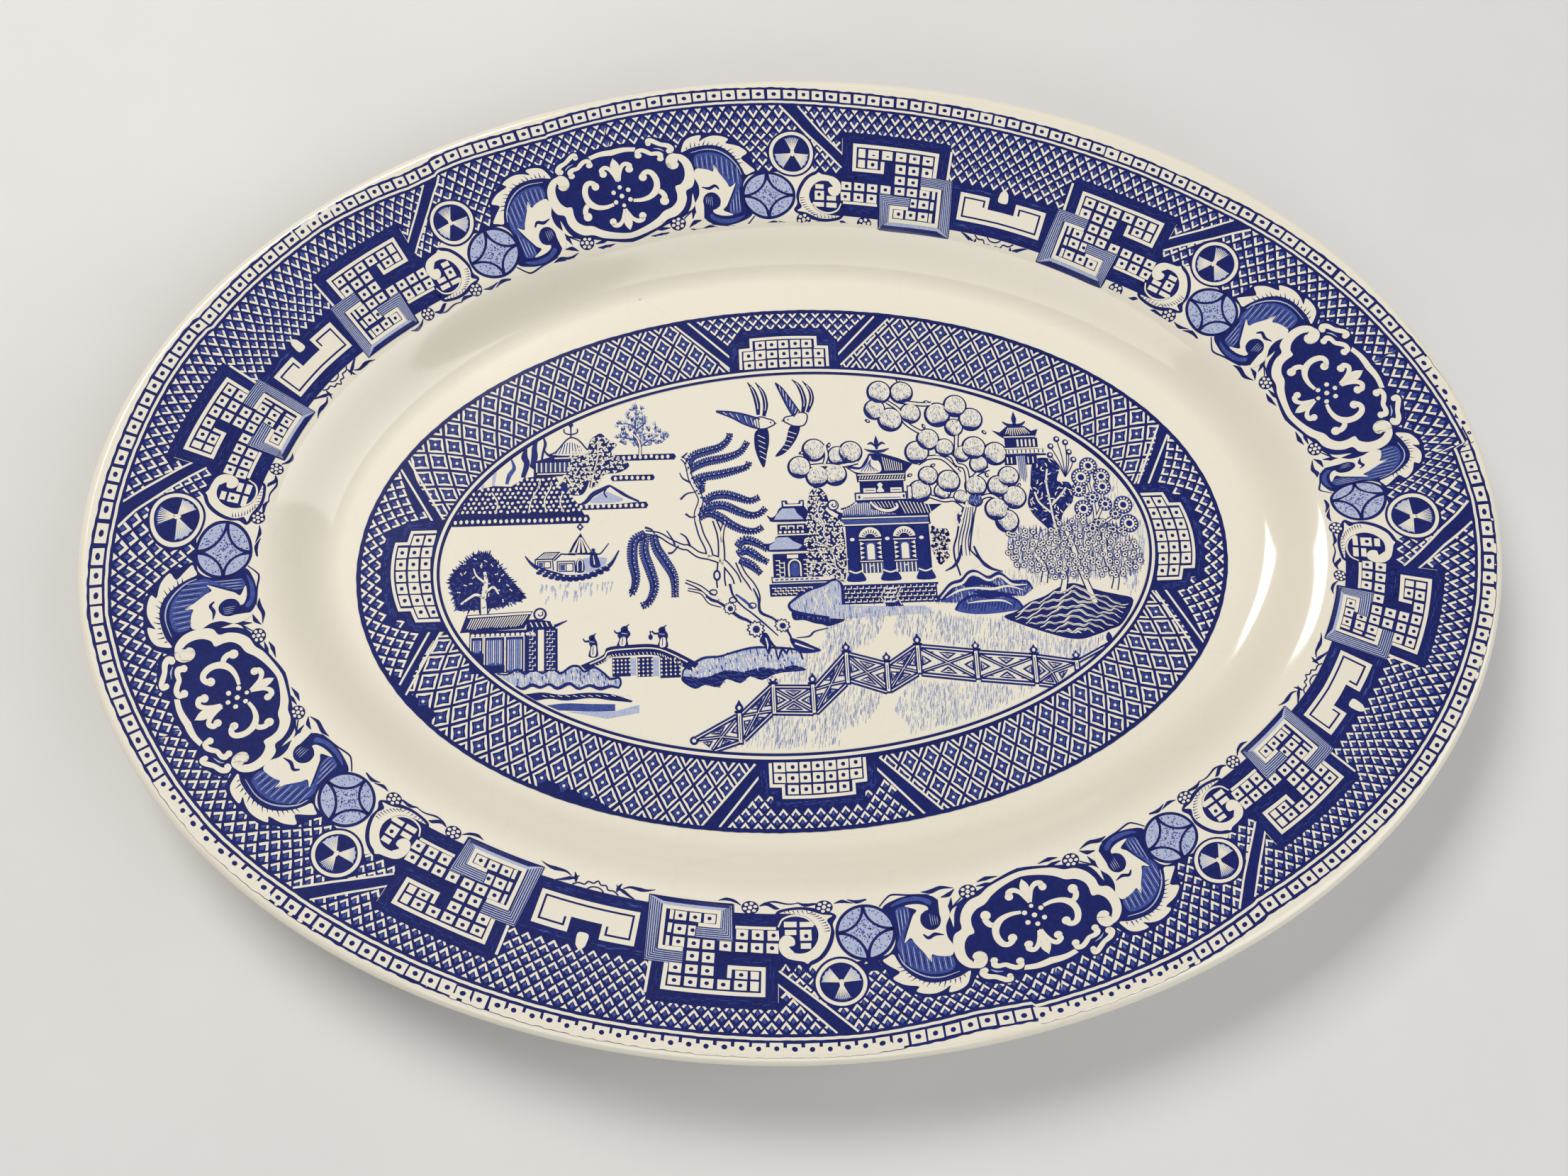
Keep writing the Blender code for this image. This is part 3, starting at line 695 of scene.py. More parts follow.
RING = (-1.70, -3.60, 93.4, 52.3, math.radians(1.0))     # the white line round the scene
MIDDLE = (-1.66, -3.85, 103.0, 61.35, math.radians(0.9))
_t = np.linspace(0, 2 * np.pi, 3601)
_mx, _my = on_oval(_t, *MIDDLE)
_ml = np.r_[0, np.cumsum(np.hypot(np.diff(_mx), np.diff(_my)))]
M_LEN = _ml[-1]


def band_point(l, q):
    """l millimetres anticlockwise along the middle of the band, q outwards (8.65 is its edge)."""
    t = np.interp(np.asarray(l, float) % M_LEN, _ml, _t)
    return on_oval(t, *MIDDLE, off=np.asarray(q, float) * (8.65 + 0.95 * np.cos(t) ** 2) / 8.65)


def band_place(x, y):
    """(l, q) of a plan point near the band."""
    i = int(np.argmin((_mx - x) ** 2 + (_my - y) ** 2))
    t = _t[i]
    px, py = on_oval(t, *MIDDLE, off=1.0)
    q = (x - _mx[i]) * (px - _mx[i]) + (y - _my[i]) * (py - _my[i])
    return _ml[i], q * 8.65 / (8.65 + 0.95 * math.cos(t) ** 2)


# the eight slanting bars: (line beside the panel, line on the other side), inner end then outer end
BARS = {
    "top": (((8.9, 50.3), (22.8, 64.9)), ((12.1, 50.0), (26.6, 64.0)), ((-14.8, 50.2), (-29.6, 64.3)), ((-17.6, 49.4), (-33.0, 63.2))),
    "bottom": (((-12.1, -57.1), (-26.4, -73.6)), ((-15.6, -57.0), (-30.4, -72.6)), ((11.9, -56.8), (27.2, -72.8)), ((15.2, -56.6), (31.4, -71.4))),
    "left": (((-94.7, 6.7), (-105.1, 24.8)), ((-93.2, 9.3), (-103.2, 27.2)), ((-94.3, -16.8), (-103.6, -34.4)), ((-92.8, -19.4), (-102.0, -37.0))),
    "right": (((91.0, 10.2), (99.9, 28.0)), ((89.6, 13.2), (97.8, 31.0)), ((91.9, -13.6), (102.0, -31.4)), ((90.6, -16.2), (100.3, -34.6)))}
PANELS = {"top": (-3.1, 1), "bottom": (-0.25, -1), "left": (-5.6, -1), "right": (-1.4, 1)}


def side_of(p, a, b):
    return (b[0] - a[0]) * (p[1] - a[1]) - (b[1] - a[1]) * (p[0] - a[0])


def wedge_of(x, y, margin=0.0):
    """Name of the wedge between two bars that holds a plan point, or None."""
    for k, (p1, p2, m1, m2) in BARS.items():
        cx, cy = {"top": (-3, 58), "bottom": (0, -66), "left": (-104, -5), "right": (101, -1)}[k]
        if math.hypot(x - cx, y - cy) > 44:
            continue
        ok = True
        for ln in ((p2 if margin <= 0 else p1), (m2 if margin <= 0 else m1)):
            s = side_of((x, y), *ln) / math.hypot(ln[1][0] - ln[0][0], ln[1][1] - ln[0][1])
            c = side_of((cx, cy), *ln)
            if s * (1 if c > 0 else -1) < margin:
                ok = False
        if ok:
            return k
    return None


def panel_point(kind, a, h):
    """a along a panel from its middle, h out from the white ring."""
    c, sgn = PANELS[kind]
    a, h = np.asarray(a, float), np.asarray(h, float)
    cx, cy, rx, ry, tilt = RING
    if kind in ("top", "bottom"):
        x = c + a
        return x, cy + (x - cx) * tilt * 0.7 + sgn * (ry * np.sqrt(1 - ((x - cx) / rx) ** 2) + h)
    y = c + a
    return cx - sgn * 0 + sgn * (rx * np.sqrt(1 - ((y - cy) / ry) ** 2) + h * 1.09), y


def clip(poly, lo, hi, axis=1):
    """Keeps the part of a convex shape with lo <= coordinate <= hi."""
    for lim, sg in ((lo, 1), (hi, -1)):
        out = []
        n = len(poly)
        for i in range(n):
            a, b = poly[i], poly[(i + 1) % n]
            fa, fb = sg * (a[axis] - lim), sg * (b[axis] - lim)
            if fa >= 0:
                out.append(a)
            if fa * fb < 0:
                t = fa / (fa - fb)
                out.append(tuple(a[k] + (b[k] - a[k]) * t for k in (0, 1)))
        poly = out
        if len(poly) < 3:
            return []
    return poly


def band_shape(piece, lq, lo=-7.75, hi=8.2):
    lq = clip([tuple(p) for p in lq], lo, hi)
    if len(lq) > 2:
        a = np.array(lq)
        C._put(piece, ("poly", np.stack(band_point(a[:, 0], a[:, 1]), 1)))


def draw_band():
    t = np.linspace(0, 2 * np.pi, 721)
    for k in range(5):
        a = np.stack(on_oval(t, *MIDDLE, off=(-9.6 + 3.72 * k) * (8.65 + .95 * np.cos(t) ** 2) / 8.65), 1)
        b = np.stack(on_oval(t, *MIDDLE, off=(-9.6 + 3.72 * (k + 1)) * (8.65 + .95 * np.cos(t) ** 2) / 8.65), 1)
        C.band("centre_ground", a, b)
    l = np.linspace(0, M_LEN, 901)
    rag = 0.035 * np.sin(l * 1.9) + .03 * np.sin(l * .61)
    C.band("centre_rings", np.stack(band_point(l, 8.16 + rag * .5), 1), np.stack(band_point(l, 9.12 + rag), 1))
    C.band("centre_rings", np.stack(on_oval(t, *RING, off=-1.12), 1), np.stack(on_oval(t, *RING, off=-.36), 1))
    C.band("centre_rings", np.stack(on_oval(t, *RING, off=.34), 1), np.stack(on_oval(t, *RING, off=1.15), 1))
    C.band("centre_ring_white", np.stack(on_oval(t, *RING, off=-.40), 1), np.stack(on_oval(t, *RING, off=.40), 1))

    # trellis: diamonds in double lines, each with a hatched diamond and a seed
    n_along = 2 * int(round(M_LEN / 5.5))
    step = M_LEN / n_along
    A, B = step, 3.6
    rs = np.random.RandomState(4)
    for k in range(n_along):
        for m in range(-2, 4):
            if (k + m) % 2:
                continue
            l, q = k * step + 1.0, -1.3 + 3.6 * (m - 0)
            x, y = band_point(l, q)
            if wedge_of(float(x), float(y), 0.0) and wedge_of(float(x), float(y), 2.6):
                continue
            j = rs.normal(0, .05, 6)
            for piece, f in (("centre_cells", .845), ("centre_diamonds", .665)):
                if f < .7:
                    pts = []
                    for c in range(4):
                        a0, a1 = c * math.pi / 2, (c + 1) * math.pi / 2
                        pts.append((l + A * f * math.cos(a0), q + B * f * math.sin(a0)))
                        pts.append((l + A * f * .42 * (math.cos(a0) + math.cos(a1)), q + B * f * .42 * (math.sin(a0) + math.sin(a1))))
                else:
                    pts = [(l + A * f, q), (l, q + B * f), (l - A * f, q), (l, q - B * f)]
                band_shape(piece, [(a + j[0], b + j[1]) for a, b in pts])
            if abs(q) < 7.9:
                for c in range(4):
                    a0 = c * math.pi / 2
                    for e in (.16, .30):
                        p0 = (l + A * e * math.cos(a0) * 1.25 + j[2] * .5, q + B * e * math.sin(a0) * 1.25)
                        a1 = a0 + math.pi / 2
                        p1 = (l + A * e * math.cos(a1) * 1.25, q + B * e * math.sin(a1) * 1.25 + j[3] * .5)
                        if min(p0[1], p1[1]) < -7.6 or max(p0[1], p1[1]) > 8.1:
                            continue
                        c0 = np.array(band_point(*p0))
                        c1 = np.array(band_point(*p1))
                        C._put("centre_hatch", ("strip",) + ribbon([c0, (c0 + c1) / 2 * .985 + np.array(band_point(l, q)) * .015, c1], [.2, .3, .2]))
                C.dot("centre_cell_dots", float(x) + j[4], float(y) + j[5], .38, .38, 9)

    # fish-scale net between the bars
    P, Q = 3.0, 1.72
    for kind, ((p1, p1b), (p2, p2b), (m1, m1b), (m2, m2b)) in BARS.items():
        # wedge ground
        for a, b in (((p2, p2b), (p1, p1b)), ((p1, p1b), (m1, m1b)), ((m1, m1b), (m2, m2b))):
            la = [band_place(*q) for q in (a[0], a[1], b[0], b[1])]
            L0 = [v[0] for v in la]
            if max(L0) - min(L0) > M_LEN / 2:
                L0 = [v + M_LEN if v < M_LEN / 2 else v for v in L0]
            q = np.linspace(-8.0, 8.5, 9)
            ea = np.interp(q, [la[0][1], la[1][1]], L0[:2])
            eb = np.interp(q, [la[2][1], la[3][1]], L0[2:])
            n = max(2, int(abs(eb.max() - ea.min()) / 2.5))
            for i in range(n):
                f0, f1 = i / n, (i + 1) / n
                C.band("centre_wedges", np.stack(band_point(ea + (eb - ea) * f0, q), 1), np.stack(band_point(ea + (eb - ea) * f1, q), 1))
        c, sgn = PANELS[kind]
        mid = panel_point(kind, 0, 5.0)
        lc = band_place(float(mid[0]), float(mid[1]))[0]
        for r in range(0, 11):
            tip = 8.4 - Q * (r + 1)
            for i in range(-14, 15):
                l = lc + (i + (.5 if r % 2 else 0)) * P
                x, y = band_point(l, tip + .9)
                if wedge_of(float(x), float(y), 1.0) != kind:
                    continue
                # clear of the panel's surround
                if kind in ("top", "bottom"):
                    a, h = float(x) - c, (float(y) - float(panel_point(kind, float(x) - c, 0)[1])) * sgn
                else:
                    a, h = float(y) - c, (float(x) - float(panel_point(kind, float(y) - c, 0)[0])) * sgn / 1.09
                a = abs(a)
                if (a < 14.9 and h < 9.6) or (a < 11.6 and h < 12.7) or h < 1.2:
                    continue
                j = rs.normal(0, .05, 4)
                band_shape("centre_net", [(l - 1.15, tip + 1.46), (l - .74, tip + 1.80 + j[1]), (l + j[2], tip + .80), (l, tip + j[3])], -7.6, 8.1)
                band_shape("centre_net", [(l, tip + j[3]), (l + j[2], tip + .80), (l + .72, tip + 1.80), (l + 1.15, tip + 1.46)], -7.6, 8.1)
                band_shape("centre_net_tint", [(l - .42, tip + 1.80), (l, tip + 1.2), (l + .42, tip + 1.80), (l, tip + 2.4)], -7.6, 8.1)
        for a, b in ((p1, p1b), (p2, p2b), (m1, m1b), (m2, m2b)):
            u = np.array(a) + (np.array(b) - np.array(a)) * .005
            w = np.array(a) + (np.array(b) - np.array(a)) * .955
            C.line("centre_bar_lines", [u, w], [.5, .56, .5])
        draw_panel(kind)


def draw_panel(kind):
    def sh(piece, pts, step=2.0):
        d = dense(pts, step)
        C._put(piece, ("poly", np.stack(panel_point(kind, d[:, 0], d[:, 1]), 1)))

    def ln(piece, pts, w):
        d = dense(pts, 1.6, False)
        C._put(piece, ("strip",) + ribbon(np.stack(panel_point(kind, d[:, 0], d[:, 1]), 1), w))
    rs = np.random.RandomState({"top": 1, "bottom": 2, "left": 3, "right": 4}[kind])
    sh("centre_block", [(-14.8, .8), (14.8, .8), (14.8, 9.5), (11.5, 9.6), (11.4, 12.6), (-11.4, 12.6), (-11.5, 9.6), (-14.8, 9.5)])
    for x0, x1, y0, y1 in ((-10.9, 10.9, 10.9, 12.2), (-14.3, -12.6, 3, 8.8), (12.6, 14.3, 3, 8.8), (-14.2, -9.6, 8.0, 9.1), (9.6, 14.2, 8.0, 9.1)):
        n = int((x1 - x0) * (y1 - y0) / .5)
        for _ in range(n):
            a, h, w = rs.uniform(x0, x1), rs.uniform(y0, y1), rs.uniform(.25, .8)
            if x1 - x0 > y1 - y0:
                ln("centre_block_tint", [(max(a - w, x0), h), (min(a + w, x1), h + rs.normal(0, .06))], [.1, .34, .1])
            else:
                ln("centre_block_tint", [(a, max(h - w, y0)), (a, min(h + w, y1))], [.1, .3, .1])
    for sg in (-1, 1):
        ln("centre_frames", [(sg * 11.75, 1.3), (sg * 11.75, 6.95), (sg * 8.75, 6.95), (sg * 8.75, 9.75), (0, 9.85)], .78)
    for r, cols in ((2.25, 7), (5.05, 7), (7.9, 5)):
        for i in range(cols):
            a = (i - (cols - 1) / 2) * 3.17
            j = rs.normal(0, .05, 8)
            w, h = 1.36 + j[0], 1.2 + j[1]
            if r > 7:
                h = 1.16
            sh("centre_squares", [(a - w + .12, r - h), (a + w, r - h + .1), (a + w + j[2], r + h), (a - w, r + h + j[3] * .5), (a - w + j[4], r - h + .15)], 4)
            p = panel_point(kind, a + j[5], r + j[6])
            C.dot("centre_square_dots", float(p[0]), float(p[1]), .52, .52, 10)


draw_band()
# ------------------------------------------------------- the scene in the middle
INKS.update({
    "scene_wash": ("pale", 0), "scene_blue": ("mid", 1), "scene_dark": ("navy", 2), "scene_cream": ("white", 3),
    "scene_tone": ("mid", 4), "scene_soft": ("pale", 5), "scene_ink": ("line", 6), "scene_light": ("white", 7),
    "scene_fine": ("line", 8),
})
DICE = np.random.RandomState(19)


def inside(poly, x, y):
    hit = False
    for (x0, y0), (x1, y1) in zip(poly, list(poly[1:]) + [poly[0]]):
        if (y0 > y) != (y1 > y) and x < x0 + (y - y0) * (x1 - x0) / (y1 - y0):
            hit = not hit
    return hit


def in_scene(x, y, off=1.3):
    cx, cy, rx, ry, tilt = RING
    c, s = math.cos(tilt), math.sin(tilt)
    u, v = (x - cx) * c + (y - cy) * s, -(x - cx) * s + (y - cy) * c
    return (u / (rx - off)) ** 2 + (v / (ry - off)) ** 2 < 1


def scatter(poly, pitch, jitter=.3):
    """Points spread over a shape, in staggered rows."""
    xs, ys = [p[0] for p in poly], [p[1] for p in poly]
    out, row, y = [], 0, min(ys) + pitch * .4
    while y < max(ys):
        x = min(xs) + (pitch / 2 if row % 2 else 0)
        while x < max(xs):
            px, py = x + DICE.normal(0, jitter * pitch / 2), y + DICE.normal(0, jitter * pitch / 2)
            if inside(poly, px, py):
                out.append((px, py))
            x += pitch
        y += pitch * .87
        row += 1
    return out


def hatch(piece, a, b, c, d, n, w, fade=0.0):
    """n strokes from the edge a-b to the edge d-c."""
    a, b, c, d = (np.asarray(p, float) for p in (a, b, c, d))
    for i in range(n):
        t = (i + .5) / n
        p, q = a + (b - a) * t, d + (c - d) * t
        k = 1 - fade * DICE.rand()
        C.line(piece, [p, p + (q - p) * k], [w, w * .7], step=4)


def edged(fill, pts, w=.35, ink="scene_ink", n=5):
    C.blob(fill, pts, n)
    C.curve(ink, pts, w, n, True)


def plate_of(fill, pts, w=.35, ink="scene_ink"):
    C.fill(fill, pts)
    C.line(ink, pts, w, True)


def leafed(x, y, r, piece="scene_light", turn=0.0, lobes=3):
    for k in range(lobes):
        a = turn + math.tau * k / lobes
        C.dot(piece, x + r * .55 * math.cos(a), y + r * .55 * math.sin(a), r * .52, r * .44, 8, tilt=a)


def bricks(x0, x1, y0, y1, rows, pitch, dark="scene_dark", light="scene_light", w=.24):
    """Brickwork: a dark wall with broken light lines."""
    C.box(dark, x0, y0, x1, y1)
    h = (y1 - y0) / rows
    for r in range(rows):
        y = y0 + h * (r + .5)
        x = x0 + .3 + (pitch * .5 if r % 2 else 0) - pitch
        while x < x1 - .4:
            a, b = max(x, x0 + .25), min(x + pitch * .72, x1 - .3)
            if b - a > .3:
                C.line(light, [(a, y), (b, y)], w)
                if b == x + pitch * .72:
                    C.line(light, [(b - .05, y - h * .1), (b - .05, y + h * .55)], w * .9)
            x += pitch


def frond(pts, w=2.0):
    """A hanging willow frond: a soft body with small leaves down both sides."""
    c = smooth(pts, 8)
    seg = np.hypot(*np.diff(c, axis=0).T)
    s = np.r_[0, np.cumsum(seg)]
    L = s[-1]
    C.curve("scene_blue", pts, [w * .5, w * .8, w * .8, w * .62, w * .3], 6)
    C.curve("scene_dark", pts, [w * .14, w * .3, w * .34, w * .2], 6)
    n = max(4, int(L / .62))
    for i in range(n):
        q = (i + .5) / n * L
        x, y = np.interp(q, s, c[:, 0]), np.interp(q, s, c[:, 1])
        x2, y2 = np.interp(q + .2, s, c[:, 0]), np.interp(q + .2, s, c[:, 1])
        a = math.atan2(y2 - y, x2 - x) if q + .2 < L else a
        half = w * .5 * (.62 + .38 * math.sin(math.pi * min(1, q / L + .12)))
        for sgn in (-1, 1):
            C.dot("scene_ink", x - sgn * half * math.sin(a), y + sgn * half * math.cos(a), .36, .25, 8, tilt=a + sgn * .9)
        if i % 2:
            C.dot("scene_light", x - .3 * half * math.sin(a), y + .3 * half * math.cos(a), .2, .12, 6, tilt=a)


def ball(x, y, r, dark=False):
    """A round fruit: soft blue face streaked with light, dark rim thickening below."""
    C.dot("scene_dark", x, y, r, n=26)
    C.dot("scene_cream", x + r * .03, y + r * .06, r * .83, n=24)
    if dark:
        C.dot("scene_tone", x + r * .04, y - r * .02, r * .8, r * .78, 22)
    for i in range(int(r * r * 8)):
        a, q = DICE.rand() * math.tau, math.sqrt(DICE.rand()) * r * .8
        L = DICE.uniform(.25, .6)
        px, py = x + q * math.cos(a), y + q * math.sin(a)
        C.line("scene_soft" if DICE.rand() < .6 else "scene_tone", [(px, py + L / 2), (px + .05, py - L / 2)], [.14, .36, .12])
    for i in range(int(r * r * 1.1)):
        a, q = DICE.rand() * math.tau, math.sqrt(DICE.rand()) * r * .74
        px, py = x + q * math.cos(a), y + q * math.sin(a)
        up = (py - y) * .8 - (px - x) * .35
        L = DICE.uniform(.3, .75)
        if DICE.rand() < .62 + .3 * up / r:
            C.line("scene_light", [(px, py + L / 2), (px + .06, py - L / 2)], [.1, DICE.uniform(.16, .3), .08])
        elif up < r * .3:
            C.line("scene_ink", [(px, py + L / 3), (px + .05, py - L / 3)], [.06, .14, .05])
    a = math.radians(DICE.uniform(215, 290))
    e = oval(x, y, r * .93, n=16, a0=a - 1.5, a1=a + 1.5)
    k = np.interp(np.linspace(0, 1, 16), [0, .5, 1], [1, .62, 1])
    C.band("scene_ink", e, np.stack([x + (e[:, 0] - x) * k, y + (e[:, 1] - y) * k], 1))
    for k in range(9):
        t = a + (k - 4) * .2
        C.line("scene_ink", [(x + r * .7 * math.cos(t), y + r * .7 * math.sin(t)), (x + r * .46 * math.cos(t), y + r * .46 * math.sin(t))], [.2, .06])


def limb(pts, w, edge=.34, light="scene_cream", n=6):
    """A pale branch with dark sides."""
    w = list(w) if np.ndim(w) else [w]
    C.curve("scene_dark", pts, [v + 2 * edge for v in w] if len(w) > 1 else w[0] + 2 * edge, n)
    C.curve(light, pts, w if len(w) > 1 else w[0], n)


# ------------------------------------------------------------------ left of it
def beads(y0, y1, x0, x1, pitch=1.45):
    """A row of small pale ovals on a dark band."""
    yc = (y0 + y1) / 2
    C.fill("scene_dark", [(x0, y0), (x1, y0), (x1 + .5, yc), (x1, y1), (x0, y1), (x0 - .5, yc)])
    x = x0 + .8
    while x < x1 - .3:
        C.dot("scene_light", x, yc + DICE.normal(0, .08), .42, .56, 10)
        x += pitch


def draw_island():
    beads(7.3, 9.6, -91.0, -56.2)
    beads(10.9, 12.7, -58.8, -41.1)
    beads(18.6, 20.2, -49.8, -39.2)
    beads(24.2, 25.9, -49.0, -33.5)
    mass = [(-90.5, 10.0), (-89.8, 13.5), (-87.6, 16.0), (-84.0, 17.4), (-80.5, 18.2), (-76.0, 17.9), (-72.5, 20.2), (-68.5, 20.6),
            (-64.5, 20.4), (-62.8, 17.0), (-60.0, 14.2), (-58.6, 12.4), (-57.5, 10.2), (-57.0, 9.4), (-70, 9.2), (-90, 9.2)]
    C.fill("scene_dark", mass)
    for x, y in scatter(mass, 1.42, .16):
        if y > 10.2:
            C.dot("scene_light", x, y, .46, .36, 9, tilt=DICE.rand() * 3)
    for pts in ([(-71.5, 10.5), (-70.8, 14), (-69.0, 17.5), (-68.5, 19.8)], [(-67, 10.5), (-67.4, 14), (-66, 17), (-65.6, 19)],
                [(-80, 10.5), (-79.5, 13.5), (-81, 16.4)], [(-62.5, 10.5), (-63.4, 13), (-62.8, 15.6)]):
        C.curve("scene_dark", pts, 1.2)
        C.curve("scene_light", pts, .34)
    tree = [(-61.7, 15.6), (-62.6, 18.6), (-61.2, 22.5), (-60.6, 26.2), (-58.6, 28.3), (-56.2, 27.9), (-55.2, 24.8), (-55.6, 20), (-56.6, 16.6), (-58.2, 15.0)]
    C.blob("scene_dark", tree)
    for x, y in scatter(tree, 1.32, .3):
        leafed(x, y, .56, turn=DICE.rand() * 6)
    right = [(-55.5, 30), (-54, 31.5), (-52.5, 32), (-50.5, 30), (-48.5, 28.8), (-50, 27), (-49, 25.5), (-46, 24), (-45.5, 22.5), (-48, 21), (-52, 20.4), (-54.4, 17.2), (-56.2, 20), (-56.6, 25)]
    C.blob("scene_dark", right)
    for x, y in scatter(right, 1.36, .3):
        leafed(x, y, .56, turn=DICE.rand() * 6)
    for pts in ([(-55.4, 17), (-54.6, 21), (-53.6, 25), (-53.4, 29.5)], [(-54.2, 23), (-51.5, 24.6), (-49.4, 25)]):
        C.curve("scene_dark", pts, .95)
        C.curve("scene_light", pts, .36)
    # standing stones behind
    C.curve("scene_wash", [(-80, 22.8), (-80.4, 20.6), (-80.7, 18)], [.5, .9, .6])
    C.curve("scene_wash", [(-83.2, 19.4), (-83.4, 18.2), (-82.8, 17)], [.4, .8, .5])
    C.curve("scene_blue", [(-76, 25.5), (-75.3, 23), (-76.5, 21), (-77.2, 18.6)], [.4, 1.0, 1.2, .8])
    C.curve("scene_ink", [(-72.2, 28.6), (-72.6, 26), (-72, 24), (-73, 20.3)], [.6, 1.7, 1.5, 1.1])
    C.curve("scene_ink", [(-69.2, 31.2), (-70, 28.6), (-70, 26), (-70.6, 23)], [.4, 1.3, 1.7, 1.2])
    C.curve("scene_ink", [(-67.8, 31.8), (-67.2, 29.5), (-67.8, 27), (-68.3, 23.8)], [.3, .8, .6, .5])
    # the domed temple
    C.fill("scene_dark", [(-70.2, 20.4), (-60.2, 20.4), (-58.8, 25.6), (-65.2, 26.0), (-70.2, 24.6)])
    edged("scene_cream", [(-66, 26.3), (-64.4, 27.2), (-61.8, 30.3), (-60.3, 31.1), (-58.6, 30.4), (-57, 28.5), (-56, 26.4), (-61, 25.9)], .4)
    for i in range(9):
        x = -65.0 + i * 1.02
        C.line("scene_tone", [(x + .25 * (i - 4) * -.4, 26.5), (x * .6 + -60.6 * .4, 28.6 + 1.2 * math.cos((i - 4) * .38))], .26)
    C.curve("scene_ink", [(-67.6, 28.2), (-67, 27), (-66, 26.2), (-64, 25.9)], [.2, .5, .7, .6])
    C.line("scene_light", [(-64.8, 25.4), (-58.8, 25.4)], .34)
    for i in range(8):
        C.line("scene_light", [(-69.4 + 1.2 * i, 24.2), (-69.4 + 1.2 * i, 21.6)], .36)
        C.line("scene_tone", [(-68.85 + 1.2 * i, 24.2), (-68.85 + 1.2 * i, 21.6)], .26)
    C.curve("scene_ink", [(-71.2, 23.8), (-70.4, 22.9), (-69.2, 22.2)], [.2, .5, .5])
    C.line("scene_light", [(-69.3, 21.1), (-61.7, 21.1)], .34)
    C.curve("scene_light", [(-64.3, 17.3), (-63.3, 19), (-62.1, 20.5), (-61, 19), (-60.1, 17.3)], .5)
    C.blob("scene_ink", [(-63.4, 15.8), (-63.4, 17.8), (-62.4, 18.9), (-61.4, 17.8), (-61.4, 15.8)])
    C.line("scene_ink", [(-60.5, 31), (-60.5, 34)], .34)
    C.curve("scene_ink", [(-62.3, 33.6), (-62.1, 32.5), (-60.5, 32), (-58.9, 32.5), (-58.8, 33.6)], .34)
    C.fill("scene_ink", [(-60.5, 35.9), (-59.8, 34.7), (-60.5, 33.6), (-61.2, 34.7)])
    # the bare hill
    hill = [(-58.3, 12.2), (-56.6, 13.2), (-55, 15), (-53, 16.1), (-51.1, 17.1), (-50.3, 17.4), (-48.5, 16.1), (-46, 14.4), (-43, 12.7), (-48, 12.3)]
    C.fill("scene_cream", hill)
    C.blob("scene_soft", [(-55.6, 12.9), (-53.6, 14.8), (-51.4, 15.7), (-49.5, 14.9), (-47, 13.4), (-50, 12.7)])
    C.curve("scene_ink", [(-58.3, 12.2), (-56.6, 13.2), (-55, 15), (-53, 16.1), (-51.1, 17.1), (-50.3, 17.4)], [.6, 1.1, 1.3, .9, .5])
    C.curve("scene_ink", [(-50.3, 17.3), (-48.5, 16), (-46, 14.3), (-43, 12.8)], [.5, .9, .5])
    C.curve("scene_ink", [(-51.4, 16.6), (-52, 15.4), (-51.3, 14.1)], .4)


def draw_pine():
    crown = [(-43.5, 40.5), (-45.5, 38), (-46.5, 35), (-48.5, 35), (-47.5, 32), (-49, 30.5), (-47, 28.5), (-44, 27.5), (-40, 28),
             (-37, 28.5), (-34, 30.5), (-36.5, 32), (-38, 35), (-40.5, 34.5), (-41, 38.5)]
    limb([(-42.5, 25.6), (-42.4, 28), (-42.9, 30), (-44, 31.5)], [.5, .4], .2)
    for pts in ([(-42.5, 27.5), (-44, 30.5), (-43.5, 33.5), (-43.3, 38)], [(-42.3, 28), (-40.5, 29.5), (-37.5, 31.2)],
                [(-43.4, 30), (-46.2, 30.6), (-48.2, 31)], [(-43.6, 33.6), (-45.6, 34.6), (-47.4, 34.6)], [(-43, 33), (-41.4, 34.4), (-40.6, 35.6)]):
        C.curve("scene_blue", pts, [.45, .2])
    for x, y in scatter(crown, 1.16, .7):
        a = DICE.uniform(.6, 2.4)
        for k in range(3):
            t = a + (k - 1) * .6
            C.line("scene_wash" if DICE.rand() < .55 else "scene_blue", [(x, y), (x + 1.15 * math.cos(t), y + 1.15 * math.sin(t))], [.34, .16])
    for x, y in scatter(crown, 2.2, .9):
        C.dot("scene_blue", x, y, .5, .22, 8, tilt=DICE.rand() * 3)


